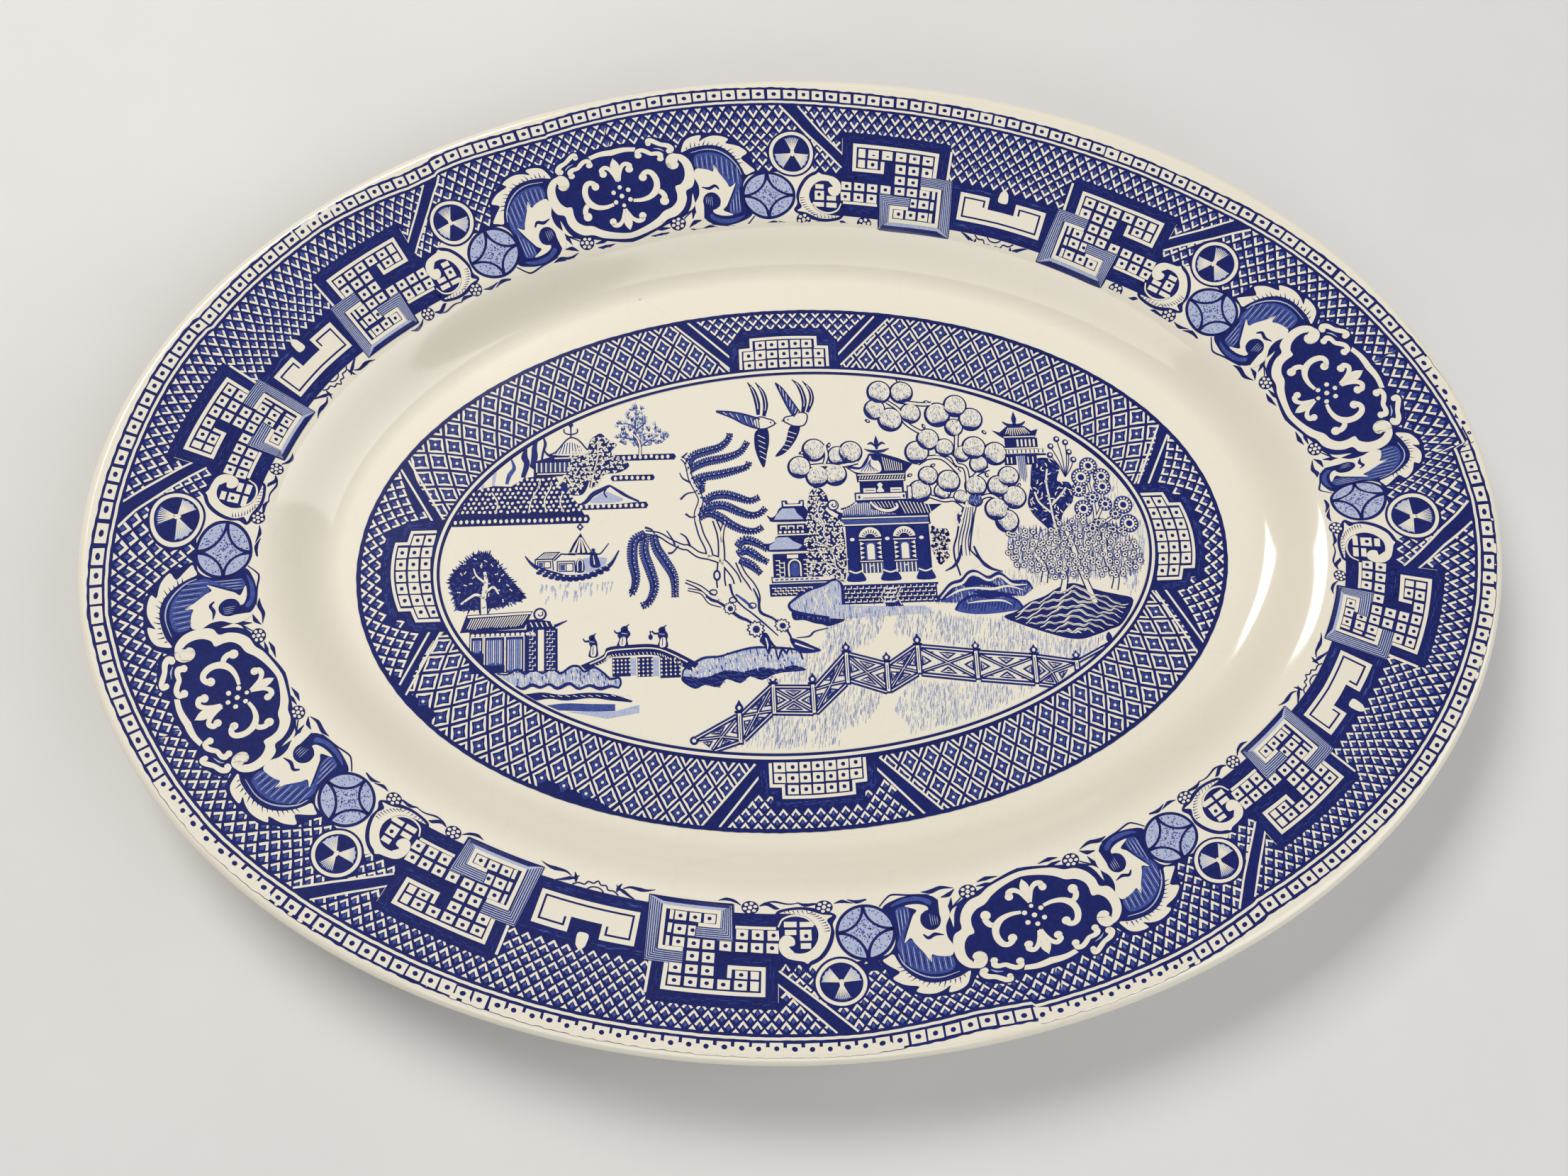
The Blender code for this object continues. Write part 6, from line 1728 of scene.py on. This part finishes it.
POSTS = [(-19.1, -40.8, -44, -51.8), (-10.3, -35, -37, -44.8), (-.3, -34.5, -37.4, -45), (8.7, -26.7, -29.5, -37.7), (18.9, -29.8, -32.5, -40.3), (27.1, -25.3, -28.3, -35.8),
         (42, -27.8, -30.3, -37.8), (57, -29.3, -32, -39.5), (67.8, -31.3, -33.8, -36.5)]
RAILS = [((-30.3, -50.2), (-19.8, -44.8), (-25.8, -53.4), (-18.9, -51.3)), ((-18.5, -44.3), (-10.8, -37.5), (-18, -51), (-10.8, -44.5)), ((-10, -37.8), (-.8, -38.2), (-10, -44.5), (-.5, -45)),
         ((.2, -38.3), (8.2, -30), (.3, -45), (8.3, -37.8)), ((9.2, -30), (18.4, -32.8), (9.3, -37), (18.5, -40.3)), ((19.5, -33), (26.6, -28.5), (19.5, -40), (26.7, -36)),
         ((27.7, -28.7), (41.5, -30.5), (27.6, -36), (41.5, -38)), ((42.6, -30.8), (56.5, -32.3), (42.6, -38), (56.5, -39.7)), ((57.6, -32.5), (67.5, -34.3), (57.5, -39.8), (62, -40.6)),
         ((68.2, -34.3), (77.2, -29.9), (68.4, -36.4), (77.4, -31.2))]


def draw_fence():
    for i, (a, b, c, d) in enumerate(RAILS):
        a, b, c, d = (np.array(p, float) for p in (a, b, c, d))
        C.fill("scene_cream", [a, b, d, c])
        for k in range(int(np.hypot(*(b - a)) / .8)):
            t, h = (k + .5) * .8 / float(np.hypot(*(b - a))), DICE.uniform(.2, .6)
            C.line("scene_soft", [(a + (b - a) * t) * (1 - h) + (c + (d - c) * t) * h, (a + (b - a) * t) * (.75 - h) + (c + (d - c) * t) * (h + .25)], [.1, .34, .1])
        last = i == len(RAILS) - 1
        for p, q in ((a, b), (c, d)):
            C.line("scene_ink", [p, q], 1.28 if not last or p is a else .6)
            C.line("scene_light", [p + (q - p) * .02, q - (q - p) * .02], .26)
        if last:
            continue
        L = float(np.hypot(*(b - a)))
        n = 1 if L < 16 else 2
        for k in range(n):
            t0, t1 = k / n, (k + 1) / n
            P = lambda t, h: (a + (b - a) * t) * (1 - h) + (c + (d - c) * t) * h
            m = (t0 + t1) / 2
            C.line("scene_ink", [P(t0, .08), P(m, .5), P(t1, .92)], .98)
            C.line("scene_ink", [P(t1, .08), P(m, .5), P(t0, .92)], .98)
            C.line("scene_light", [P(t0 + .05, .13), P(m, .5), P(t1 - .05, .87)], .16)
            C.line("scene_light", [P(t1 - .05, .13), P(m, .5), P(t0 + .05, .87)], .16)
            q = 1.5 / L
            for h0, h1 in ((.15, .34), (.85, .66)):
                C.line("scene_ink", [P(m - q * 1.3, h0), P(m + q * 1.3, h0), P(m, h1)], .46, True)
                C.line("scene_ink", [P(m - q * .3, h0 * .6 + h1 * .4), P(m + q * .4, h0 * .6 + h1 * .4)], .26)
            for sg in (-1, 1):
                e = m + sg * (.5 / n - q * .35)
                C.line("scene_ink", [P(e, .34), P(e, .66), P(e - sg * q * 1.3, .5)], .46, True)
                C.line("scene_ink", [P(e - sg * q * .35, .56), P(e - sg * q * .35, .46)], .24)
                if L > 12:
                    e = m + sg * q * 2.3
                    C.line("scene_ink", [P(e, .17), P(e + sg * q * 1.5, .17), P(e + sg * q * .2, .3)], .26)
                    C.line("scene_ink", [P(e, .83), P(e + sg * q * 1.5, .83), P(e + sg * q * .2, .7)], .26)
    for x, f, y0, y1 in POSTS:
        C.box("scene_ink", x - .82, y1 - .3, x + .82, y0 + .3)
        C.box("scene_light", x - .4, y1 + .2, x + .4, y0 - .2)
        C.line("scene_fine", [(x, y0 - .8), (x, y1 + .8)], .18)
        C.line("scene_ink", [(x - 1.2, y0 + .2), (x + 1.2, y0 + .2)], .6)
        C.blob("scene_ink", [(x - .5, y0 + .4), (x - 1.05, y0 + 1.3), (x - .4, f - .7), (x, f), (x + .4, f - .7), (x + 1.05, y0 + 1.3), (x + .5, y0 + .4)], 4)
        C.dot("scene_light", x, y0 + 1.2, .42, .5, 9)
    C.dot("scene_ink", -30.6, -50.6, 1.1, n=14)
    C.dot("scene_light", -30.6, -50.6, .5, n=10)
    C.blob("scene_ink", [(76.6, -29.6), (76.2, -28.2), (77, -26.8), (77.8, -28.2), (77.4, -29.6)], 4)


def draw_scene():
    draw_water()
    draw_island()
    draw_pine()
    draw_left_bank()
    draw_left_tree()
    draw_house()
    draw_boat()
    draw_willow_bank()
    draw_bridge()
    draw_fruit()
    draw_pavilion()
    draw_leaf_tree()
    draw_pagoda()
    draw_far_pagoda()
    draw_bushes()
    draw_rocks()
    draw_willow()
    draw_birds()
    draw_fence()


draw_scene()


# <<< DRAWING

# ------------------------------------------------------------------ mesh tools
MM = 0.001
LIFT0, LIFT = 0.030, 0.012       # first print level over the glaze, then each next


def face_normals(phi, d):
    """Unit normals of the glazed face."""
    e = 0.02
    x0, y0 = plan(phi, d)
    z0 = glaze_height(d)
    d2 = np.where(d + e < A0 - 0.5, d + e, d - e)
    x1, y1 = plan(phi + 0.001, d)
    x2, y2 = plan(phi, d2)
    a = np.stack([x1 - x0, y1 - y0, np.zeros_like(x0)], -1)
    b = np.stack([x2 - x0, y2 - y0, glaze_height(d2) - z0], -1)
    n = np.cross(a, b)
    n[n[..., 2] < 0] *= -1
    ln = np.linalg.norm(n, axis=-1, keepdims=True)
    n = np.where(ln > 1e-12, n / np.maximum(ln, 1e-12), [0, 0, 1])
    return n


def drape(xy, lift):
    """Plan points laid on the glazed face, lifted along its normal."""
    phi, d = unplan(xy[:, 0], xy[:, 1])
    n = face_normals(phi, d)
    p = np.stack([xy[:, 0], xy[:, 1], glaze_height(d)], 1)
    return p + n * lift, n


def triangles(prims):
    """Points and triangles of flat shapes."""
    pts, tris, base = [], [], 0
    for p in prims:
        if p[0] == "strip":
            a, b = p[1], p[2]
            n = len(a)
            i = base + np.arange(n - 1)
            tris.append(np.stack([i, i + n, i + 1], 1))
            tris.append(np.stack([i + 1, i + n, i + n + 1], 1))
            pts += [a, b]
            base += 2 * n
        else:
            q = p[1]
            t = tessellate_polygon([[Vector((x, y, 0.0)) for x, y in q.tolist()]])
            if t:
                tris.append(np.array(t, int) + base)
                pts.append(q)
                base += len(q)
    V, T = np.vstack(pts), np.vstack(tris)
    a, b, c = V[T[:, 0]], V[T[:, 1]], V[T[:, 2]]
    area = (b[:, 0] - a[:, 0]) * (c[:, 1] - a[:, 1]) - (b[:, 1] - a[:, 1]) * (c[:, 0] - a[:, 0])
    T = T[np.abs(area) > 2e-5]
    area = area[np.abs(area) > 2e-5]
    T[area < 0] = T[area < 0][:, ::-1]
    return V, T


def refine(V, T):
    """Splits long edges so that the shapes follow the curved wall."""
    for _ in range(7):
        E = np.sort(np.stack([T[:, [0, 1]], T[:, [1, 2]], T[:, [2, 0]]], 1), 2)
        key = E[..., 0].astype(np.int64) * len(V) + E[..., 1]
        u, inv = np.unique(key.ravel(), return_inverse=True)
        a, b = u // len(V), u % len(V)
        mid = (V[a] + V[b]) / 2
        length = np.hypot(*(V[a] - V[b]).T)
        d = unplan(mid[:, 0], mid[:, 1], 6)[1]
        near = np.where(np.abs(d - 47.5) < 10.5, 0.62, np.where(d < 37.0, 4.0, 9.0))
        m = length > near
        if not m.any():
            break
        idx = np.full(len(u), -1)
        idx[m] = len(V) + np.arange(int(m.sum()))
        V = np.vstack([V, mid[m]])
        M = idx[inv.reshape(-1, 3)]
        c = (M >= 0).sum(1)
        out = [T[c == 0]]
        t, q = T[c == 3], M[c == 3]
        out += [np.stack([t[:, 0], q[:, 0], q[:, 2]], 1), np.stack([q[:, 0], t[:, 1], q[:, 1]], 1),
                np.stack([q[:, 2], q[:, 1], t[:, 2]], 1), np.stack([q[:, 0], q[:, 1], q[:, 2]], 1)]
        for k in range(3):
            s = (c == 1) & (M[:, k] >= 0)
            t, q = np.roll(T[s], -k, 1), M[s, k]
            out += [np.stack([t[:, 0], q, t[:, 2]], 1), np.stack([q, t[:, 1], t[:, 2]], 1)]
            s = (c == 2) & (M[:, k] < 0)
            t, q = np.roll(T[s], -(k + 1), 1), np.roll(M[s], -(k + 1), 1)
            out += [np.stack([t[:, 0], q[:, 0], t[:, 2]], 1), np.stack([q[:, 0], t[:, 1], q[:, 1]], 1),
                    np.stack([q[:, 0], q[:, 1], t[:, 2]], 1)]
        T = np.vstack(out)
    return V, T


def make_mesh(name, co, faces, normals, uv, mat):
    """co in millimetres, faces all of one size, normals per point, uv per corner."""
    k = faces.shape[1]
    used = np.unique(faces)
    back = np.full(len(co), -1)
    back[used] = np.arange(len(used))
    co, normals, faces = co[used], normals[used], back[faces]
    me = bpy.data.meshes.new(name)
    me.vertices.add(len(co))
    me.vertices.foreach_set("co", (co * MM).astype(np.float32).ravel())
    me.loops.add(faces.size)
    me.loops.foreach_set("vertex_index", faces.astype(np.int32).ravel())
    me.polygons.add(len(faces))
    me.polygons.foreach_set("loop_start", (np.arange(len(faces)) * k).astype(np.int32))
    me.polygons.foreach_set("use_smooth", np.ones(len(faces), bool))
    me.update(calc_edges=True)
    layer = me.uv_layers.new(name="OFBake")
    layer.data.foreach_set("uv", uv.astype(np.float32).ravel())
    me.normals_split_custom_set_from_vertices(normals.tolist())
    me.materials.append(mat)
    ob = bpy.data.objects.new(name, me)
    bpy.context.scene.collection.objects.link(ob)
    return ob


# ------------------------------------------------------------------- materials
def node(nt, kind, **inputs):
    n = nt.nodes.new(kind)
    for k, v in inputs.items():
        n.inputs[k.replace("_", " ")].default_value = v
    return n


def mix_rgb(nt, fac, a, b, blend="MIX"):
    m = nt.nodes.new("ShaderNodeMix")
    m.data_type, m.blend_type = "RGBA", blend
    for s, v in ((0, fac), (6, a), (7, b)):
        if hasattr(v, "links"):
            nt.links.new(v, m.inputs[s])
        else:
            m.inputs[s].default_value = v if s == 0 else (*v, 1.0)
    return m.outputs[2]


def ramp(nt, src, stops):
    r = nt.nodes.new("ShaderNodeValToRGB")
    cr = r.color_ramp
    while len(cr.elements) < len(stops):
        cr.elements.new(0.5)
    for e, (p, v) in zip(cr.elements, stops):
        e.position = p
        e.color = (v, v, v, 1) if not isinstance(v, tuple) else (*v, 1)
    nt.links.new(src, r.inputs[0])
    return r.outputs[0]


def noise(nt, vec, scale, detail=3.0, rough=0.5, distort=0.0):
    n = node(nt, "ShaderNodeTexNoise", Scale=scale, Detail=detail, Roughness=rough, Distortion=distort)
    nt.links.new(vec, n.inputs["Vector"])
    return n.outputs["Fac"]


def glaze_finish(nt, bsdf, vec, gloss=0.10):
    """Clear coat with a soft waviness and a few pin holes."""
    bsdf.inputs["Roughness"].default_value = 0.42
    bsdf.inputs["Specular IOR Level"].default_value = 0.06
    bsdf.inputs["Coat Weight"].default_value = 1.0
    bsdf.inputs["Coat IOR"].default_value = 1.52
    wear = noise(nt, vec, 26.0, 4.0, 0.6)
    nt.links.new(ramp(nt, wear, [(0.30, gloss * 0.8), (0.72, gloss * 1.25)]), bsdf.inputs["Coat Roughness"])
    wave = noise(nt, vec, 60.0, 2.0, 0.5)
    fine = noise(nt, vec, 1500.0, 2.0, 0.6)
    add = nt.nodes.new("ShaderNodeMath")
    add.operation = "MULTIPLY_ADD"
    nt.links.new(fine, add.inputs[0])
    add.inputs[1].default_value = 0.035
    nt.links.new(wave, add.inputs[2])
    pits = node(nt, "ShaderNodeTexVoronoi", Scale=420.0)
    nt.links.new(vec, pits.inputs["Vector"])
    hole = ramp(nt, pits.outputs["Distance"], [(0.0, 0.0), (0.055, 0.0), (0.10, 1.0)])
    sub = nt.nodes.new("ShaderNodeMath")
    sub.operation = "MULTIPLY_ADD"
    nt.links.new(hole, sub.inputs[0])
    sub.inputs[1].default_value = 0.05
    nt.links.new(add.outputs[0], sub.inputs[2])
    bump = node(nt, "ShaderNodeBump", Strength=0.14, Distance=0.00030)
    nt.links.new(sub.outputs[0], bump.inputs["Height"])
    nt.links.new(bump.outputs[0], bsdf.inputs["Coat Normal"])
    soft = node(nt, "ShaderNodeBump", Strength=0.05, Distance=0.0003)
    nt.links.new(sub.outputs[0], soft.inputs["Height"])
    nt.links.new(soft.outputs[0], bsdf.inputs["Normal"])


def new_material(name):
    m = bpy.data.materials.new(name)
    m.use_nodes = True
    nt = m.node_tree
    bsdf = nt.nodes["Principled BSDF"]
    co = nt.nodes.new("ShaderNodeTexCoord")
    return m, nt, bsdf, co.outputs["Object"]


def cream_material(name, tone=1.0):
    """Ivory earthenware under a clear glaze."""
    m, nt, bsdf, vec = new_material(name)
    broad = noise(nt, vec, 9.0, 3.0, 0.5)
    base = mix_rgb(nt, ramp(nt, broad, [(0.3, 0.0), (0.7, 1.0)]), tuple(c * tone for c in CREAM_A), tuple(c * tone for c in CREAM_B))
    cloud = noise(nt, vec, 260.0, 4.0, 0.65)
    base = mix_rgb(nt, ramp(nt, cloud, [(0.46, 0.0), (0.80, 0.14)]), base, tuple(c * tone for c in CREAM_C))
    # iron specks and a little kiln dust
    v = node(nt, "ShaderNodeTexVoronoi", Scale=145.0)
    nt.links.new(vec, v.inputs["Vector"])
    pick = node(nt, "ShaderNodeTexVoronoi", Scale=145.0)
    nt.links.new(vec, pick.inputs["Vector"])
    sep = nt.nodes.new("ShaderNodeSeparateColor")
    nt.links.new(pick.outputs["Color"], sep.inputs[0])
    few = nt.nodes.new("ShaderNodeMath")
    few.operation = "GREATER_THAN"
    nt.links.new(sep.outputs[0], few.inputs[0])
    few.inputs[1].default_value = 0.90
    spot = ramp(nt, v.outputs["Distance"], [(0.0, 0.75), (0.035, 0.5), (0.06, 0.0)])
    mul = nt.nodes.new("ShaderNodeMath")
    mul.operation = "MULTIPLY"
    nt.links.new(spot, mul.inputs[0])
    nt.links.new(few.outputs[0], mul.inputs[1])
    base = mix_rgb(nt, mul.outputs[0], base, (0.30, 0.22, 0.13))
    # faint crazing
    cz = node(nt, "ShaderNodeTexVoronoi", Scale=62.0)
    cz.feature = "DISTANCE_TO_EDGE"
    nt.links.new(vec, cz.inputs["Vector"])
    base = mix_rgb(nt, ramp(nt, cz.outputs["Distance"], [(0.0, 0.06), (0.010, 0.0)]), base, (0.45, 0.36, 0.25))
    nt.links.new(base, bsdf.inputs["Base Color"])
    bsdf.inputs["Subsurface Weight"].default_value = 0.0
    glaze_finish(nt, bsdf, vec)
    return m


def ink_material(name, deep, mid, worn, wear=0.0):
    """Cobalt printed under the glaze: mottled, thin in places."""
    m, nt, bsdf, vec = new_material(name)
    a = noise(nt, vec, 1100.0, 3.0, 0.7)
    b = noise(nt, vec, 150.0, 4.0, 0.6)
    c = noise(nt, vec, 22.0, 2.0, 0.5)
    col = mix_rgb(nt, ramp(nt, a, [(0.36, 0.0), (0.66, 0.55)]), deep, mid)
    col = mix_rgb(nt, ramp(nt, b, [(0.50, 0.0), (0.76, 0.42)]), col, mid)
    col = mix_rgb(nt, ramp(nt, c, [(0.52, 0.0), (0.82, 0.25)]), col, mid)
    grain = noise(nt, vec, 2100.0, 2.0, 0.6)
    col = mix_rgb(nt, ramp(nt, grain, [(0.62 - wear, 0.0), (0.78 - wear, 0.42)]), col, worn)
    nt.links.new(col, bsdf.inputs["Base Color"])
    glaze_finish(nt, bsdf, vec)
    return m


CREAM_A, CREAM_B, CREAM_C = (0.790, 0.744, 0.625), (0.775, 0.726, 0.603), (0.725, 0.672, 0.548)
PAPER = cream_material("glazed_cream")
NAVY = ink_material("cobalt_deep", (0.0040, 0.0070, 0.082), (0.0085, 0.0190, 0.170), (0.034, 0.066, 0.310))
LINE = ink_material("cobalt_line", (0.0052, 0.0105, 0.115), (0.0120, 0.0260, 0.205), (0.042, 0.078, 0.340))
MID = ink_material("cobalt_mid", (0.030, 0.050, 0.235), (0.068, 0.108, 0.360), (0.17, 0.22, 0.48), 0.05)
PALE = ink_material("cobalt_pale", (0.330, 0.385, 0.580), (0.500, 0.530, 0.635), (0.660, 0.645, 0.615), 0.10)
WHITE = cream_material("glazed_cream_in_print", 0.985)
MATS = {"navy": NAVY, "line": LINE, "mid": MID, "pale": PALE, "white": WHITE}

biscuit, nt, bsdf, vec = new_material("biscuit_foot")
g = noise(nt, vec, 700.0, 5.0, 0.7)
g2 = noise(nt, vec, 60.0, 3.0, 0.5)
col = mix_rgb(nt, g, (0.52, 0.45, 0.33), (0.74, 0.68, 0.56))
col = mix_rgb(nt, ramp(nt, g2, [(0.45, 0.0), (0.75, 0.6)]), col, (0.36, 0.30, 0.22))
nt.links.new(col, bsdf.inputs["Base Color"])
bsdf.inputs["Roughness"].default_value = 0.85
bp = node(nt, "ShaderNodeBump", Strength=0.5, Distance=0.0003)
nt.links.new(g, bp.inputs["Height"])
nt.links.new(bp.outputs[0], bsdf.inputs["Normal"])

# --------------------------------------------------------------------- platter
ROUND = 600
WALL_T = 4.3


def back_height(d):
    d = np.asarray(d, float)
    thick = np.interp(d, [2.0, 6.0, 20.0, 35.0, 44.0, 49.0], [3.0, WALL_T - .2, WALL_T, WALL_T + .1, WALL_T + .5, WALL_T + .6])
    return face_height(d) - thick


def section():
    """Fine half section of the biscuit: (inset, height), face, lip, back, foot, recess."""
    face = [(A0 - r, WELL_Z - DISH * (1 - (r / (A0 - ZONE)) ** 2)) for r in (0.0, 8, 16, 24, 32, 40, 48, 56, 64, 72, 80, 88, 96, 102)]
    face += [(d, float(face_height(d))) for d in np.r_[ZONE, 66, 62.5, 60, 58.5, np.arange(57.0, 38.9, -0.5), 38.4, 37.6, 36.5, 34, 30, 26, 22, 18, 14, 10.5, 7.5, 5.2, 3.6, 2.8, 2.3]]
    lip = []
    for a in range(90, -61, -10):
        r = math.radians(a)
        lip.append((LIP_R * (1 - math.cos(r)), Z_TOP - LIP_R + LIP_R * math.sin(r)))
    back = smooth([lip[-1], (3.4, 20.75), (6.0, float(back_height(6.0))), (13.0, float(back_height(13.0))), (20.0, float(back_height(20.0))), (28, float(back_height(28))),
                   (35, float(back_height(35))), (40, float(back_height(40.0))), (44, float(back_height(44))), (49, float(back_height(49))), (52.4, 4.75), (54.6, 3.35),
                   (56.6, 2.35)], 5)[1:].tolist()
    foot = [(57.0, 1.7), (57.15, 1.1), (57.3, 0.55), (57.5, 0.2), (57.8, 0.0), (58.8, 0.0), (60.0, 0.0), (61.2, 0.0), (61.5, 0.18), (61.75, 0.5), (62.3, 1.15)]
    recess = [(63.0, 1.85), (63.9, 2.3), (65.2, 2.52), (67.0, 2.6), (ZONE, 2.6), (80, 2.6), (95, 2.6), (110, 2.6), (125, 2.6), (145, 2.6), (160, 2.6), (A0, 2.6)]
    return face, lip, back, foot, recess


def turned(name, sec, lift, mat, uv_split=None, seam=None):
    """A section turned round the oval; lift pushes it out along its normal."""
    sec = np.array(sec, float)
    m = len(sec)
    ph = np.linspace(0, 2 * np.pi, ROUND, endpoint=False)
    D, PH = np.meshgrid(sec[:, 0], ph, indexing="ij")
    X, Y = plan(PH, D)
    Z = np.repeat(sec[:, 1][:, None], ROUND, 1)
    P = np.stack([X, Y, Z], -1)
    a = np.roll(P, -1, 1) - np.roll(P, 1, 1)
    b = np.empty_like(P)
    b[1:-1] = P[2:] - P[:-2]
    b[0], b[-1] = P[1] - P[0], P[-1] - P[-2]
    n = np.cross(b, a)
    n /= np.maximum(np.linalg.norm(n, axis=-1, keepdims=True), 1e-12)
    for i in (0, m - 1):
        if sec[i, 0] > A0 - 0.01:
            n[i] = [0, 0, 1 if i == 0 else -1]
    P = P + n * np.asarray(lift, float).reshape(-1, 1, 1)
    idx = np.arange(m * ROUND).reshape(m, ROUND)
    nx = np.roll(idx, -1, 1)
    q = np.stack([idx[:-1], idx[1:], nx[1:], nx[:-1]], -1).reshape(-1, 4)
    flag = np.repeat(np.arange(m - 1), ROUND)
    co, nn = P.reshape(-1, 3), n.reshape(-1, 3)
    tri = np.vstack([q[:, [0, 1, 2]], q[:, [0, 2, 3]]])
    flag = np.r_[flag, flag]
    # drop the collapsed triangles at the middle and weld it to one point
    for i in (0, m - 1):
        if sec[i, 0] > A0 - 0.01:
            tri = np.where((tri >= idx[i, 0]) & (tri <= idx[i, -1]), idx[i, 0], tri)
    keep = (tri[:, 0] != tri[:, 1]) & (tri[:, 1] != tri[:, 2]) & (tri[:, 0] != tri[:, 2])
    tri, flag = tri[keep], flag[keep]
    c = co[tri]
    fn = np.cross(c[:, 1] - c[:, 0], c[:, 2] - c[:, 0])
    if (fn * nn[tri].sum(1)).sum() < 0:
        tri = tri[:, ::-1]
    uv = np.stack([co[tri][..., 0] / 364 + 0.5, co[tri][..., 1] / 364 * (0.5 if uv_split else 1.0) * 1.3 + 0.5], -1)
    if uv_split is not None:
        shift = np.where(flag < uv_split, 0.25, -0.25)[:, None]
        uv[..., 1] = (uv[..., 1] - 0.5) + 0.5 + shift
    return make_mesh(name, co, tri, nn, uv, mat)


face, lip, back, foot, recess = section()
skin = face + lip + back + foot[:3]
lifts = np.full(len(skin), COAT)
lifts[-3:] = [0.36, 0.22, 0.03]
whole = face + lip + back + foot + recess
pieces = []


def keep(ob, nodes, slot_name):
    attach(ob, "root")
    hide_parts(*nodes)
    pieces.append(ob)
    return ob


keep(turned("platter_biscuit", whole, np.zeros(len(whole)), biscuit, len(face) + len(lip) // 2), ["platter_body"], "biscuit")
keep(turned("glaze_skin", skin, lifts, PAPER, len(face) + len(lip) // 2), ["glaze_coat"], "glaze")
rec = foot[-2:] + recess
rl = np.full(len(rec), COAT)
rl[:3] = [0.03, 0.2, 0.36]
keep(turned("recess_glaze_skin", rec, rl, PAPER), ["recess_glaze"], "glaze")

# ----------------------------------------------------------------------- print
for name in sorted(ART, key=lambda n: (INKS[n][1], n)):
    ink, level = INKS[name]
    V, T = triangles(ART[name])
    V, T = refine(V, T)
    co, nn = drape(V, LIFT0 + LIFT * level)
    uv = np.stack([V[T][..., 0] / 364 + 0.5, V[T][..., 1] / 364 + 0.5], -1)
    ob = make_mesh(name, co, T, nn, uv, MATS[ink])
    nodes = ["centre_print"] if name.startswith(CENTRE_NAMES) else ["border_print_1", "border_print_2", "border_print_3", "border_print_4"]
    keep(ob, nodes, "glaze" if ink == "white" else "blue_print")

# ----------------------------------------------------------------- studio
floor_me = bpy.data.meshes.new("floor")
s = 6.0
floor_me.from_pydata([(-s, -s, 0), (s, -s, 0), (s, s, 0), (-s, s, 0)], [], [(0, 1, 2, 3)])
floor = bpy.data.objects.new("floor", floor_me)
bpy.context.scene.collection.objects.link(floor)
fm, nt, bsdf, vec = new_material("floor_pale")
fn = noise(nt, vec, 14.0, 5.0, 0.6)
nt.links.new(mix_rgb(nt, ramp(nt, fn, [(0.35, 0.0), (0.7, 1.0)]), (0.665, 0.655, 0.638), (0.690, 0.680, 0.662)), bsdf.inputs["Base Color"])
bsdf.inputs["Roughness"].default_value = 0.75
floor.data.materials.append(fm)


def area_light(name, loc, target, size, power, colour):
    li = bpy.data.lights.new(name, "AREA")
    li.shape = "RECTANGLE"
    li.size, li.size_y = size
    li.energy = power
    li.color = colour
    ob = bpy.data.objects.new(name, li)
    ob.location = loc
    ob.rotation_euler = (Vector(target) - Vector(loc)).to_track_quat("-Z", "Y").to_euler()
    bpy.context.scene.collection.objects.link(ob)
    return ob


area_light("key", (-0.55, 0.75, 1.10), (0, 0, 0), (0.7, 0.5), 15.5, (1.0, 0.965, 0.92))
area_light("fill", (0.95, -0.35, 0.95), (0, 0, 0), (1.0, 1.0), 7.8, (0.95, 0.97, 1.0))
area_light("front", (-0.2, -1.1, 0.8), (0, 0, 0), (1.2, 0.6), 4.6, (1.0, 0.98, 0.95))
world = bpy.data.worlds.new("studio")
world.use_nodes = True
world.node_tree.nodes["Background"].inputs[0].default_value = (0.93, 0.95, 1.0, 1)
world.node_tree.nodes["Background"].inputs[1].default_value = 0.19
bpy.context.scene.world = world
bpy.context.scene.view_settings.view_transform = "Standard"

cam_data = bpy.data.cameras.new("camera")
cam_data.sensor_fit = "HORIZONTAL"
cam_data.sensor_width = 36.0
cam_data.lens = 30.108
cam_data.clip_start = 0.01
cam = bpy.data.objects.new("camera", cam_data)
cam.matrix_world = (Matrix(((0.99756, 0.03492, -0.06038, -0.02669), (-0.0498, 0.96267, -0.26605, -0.10189), (0.04883, 0.26841, 0.96207, 0.33234), (0, 0, 0, 1))))
bpy.context.scene.collection.objects.link(cam)
bpy.context.scene.camera = cam
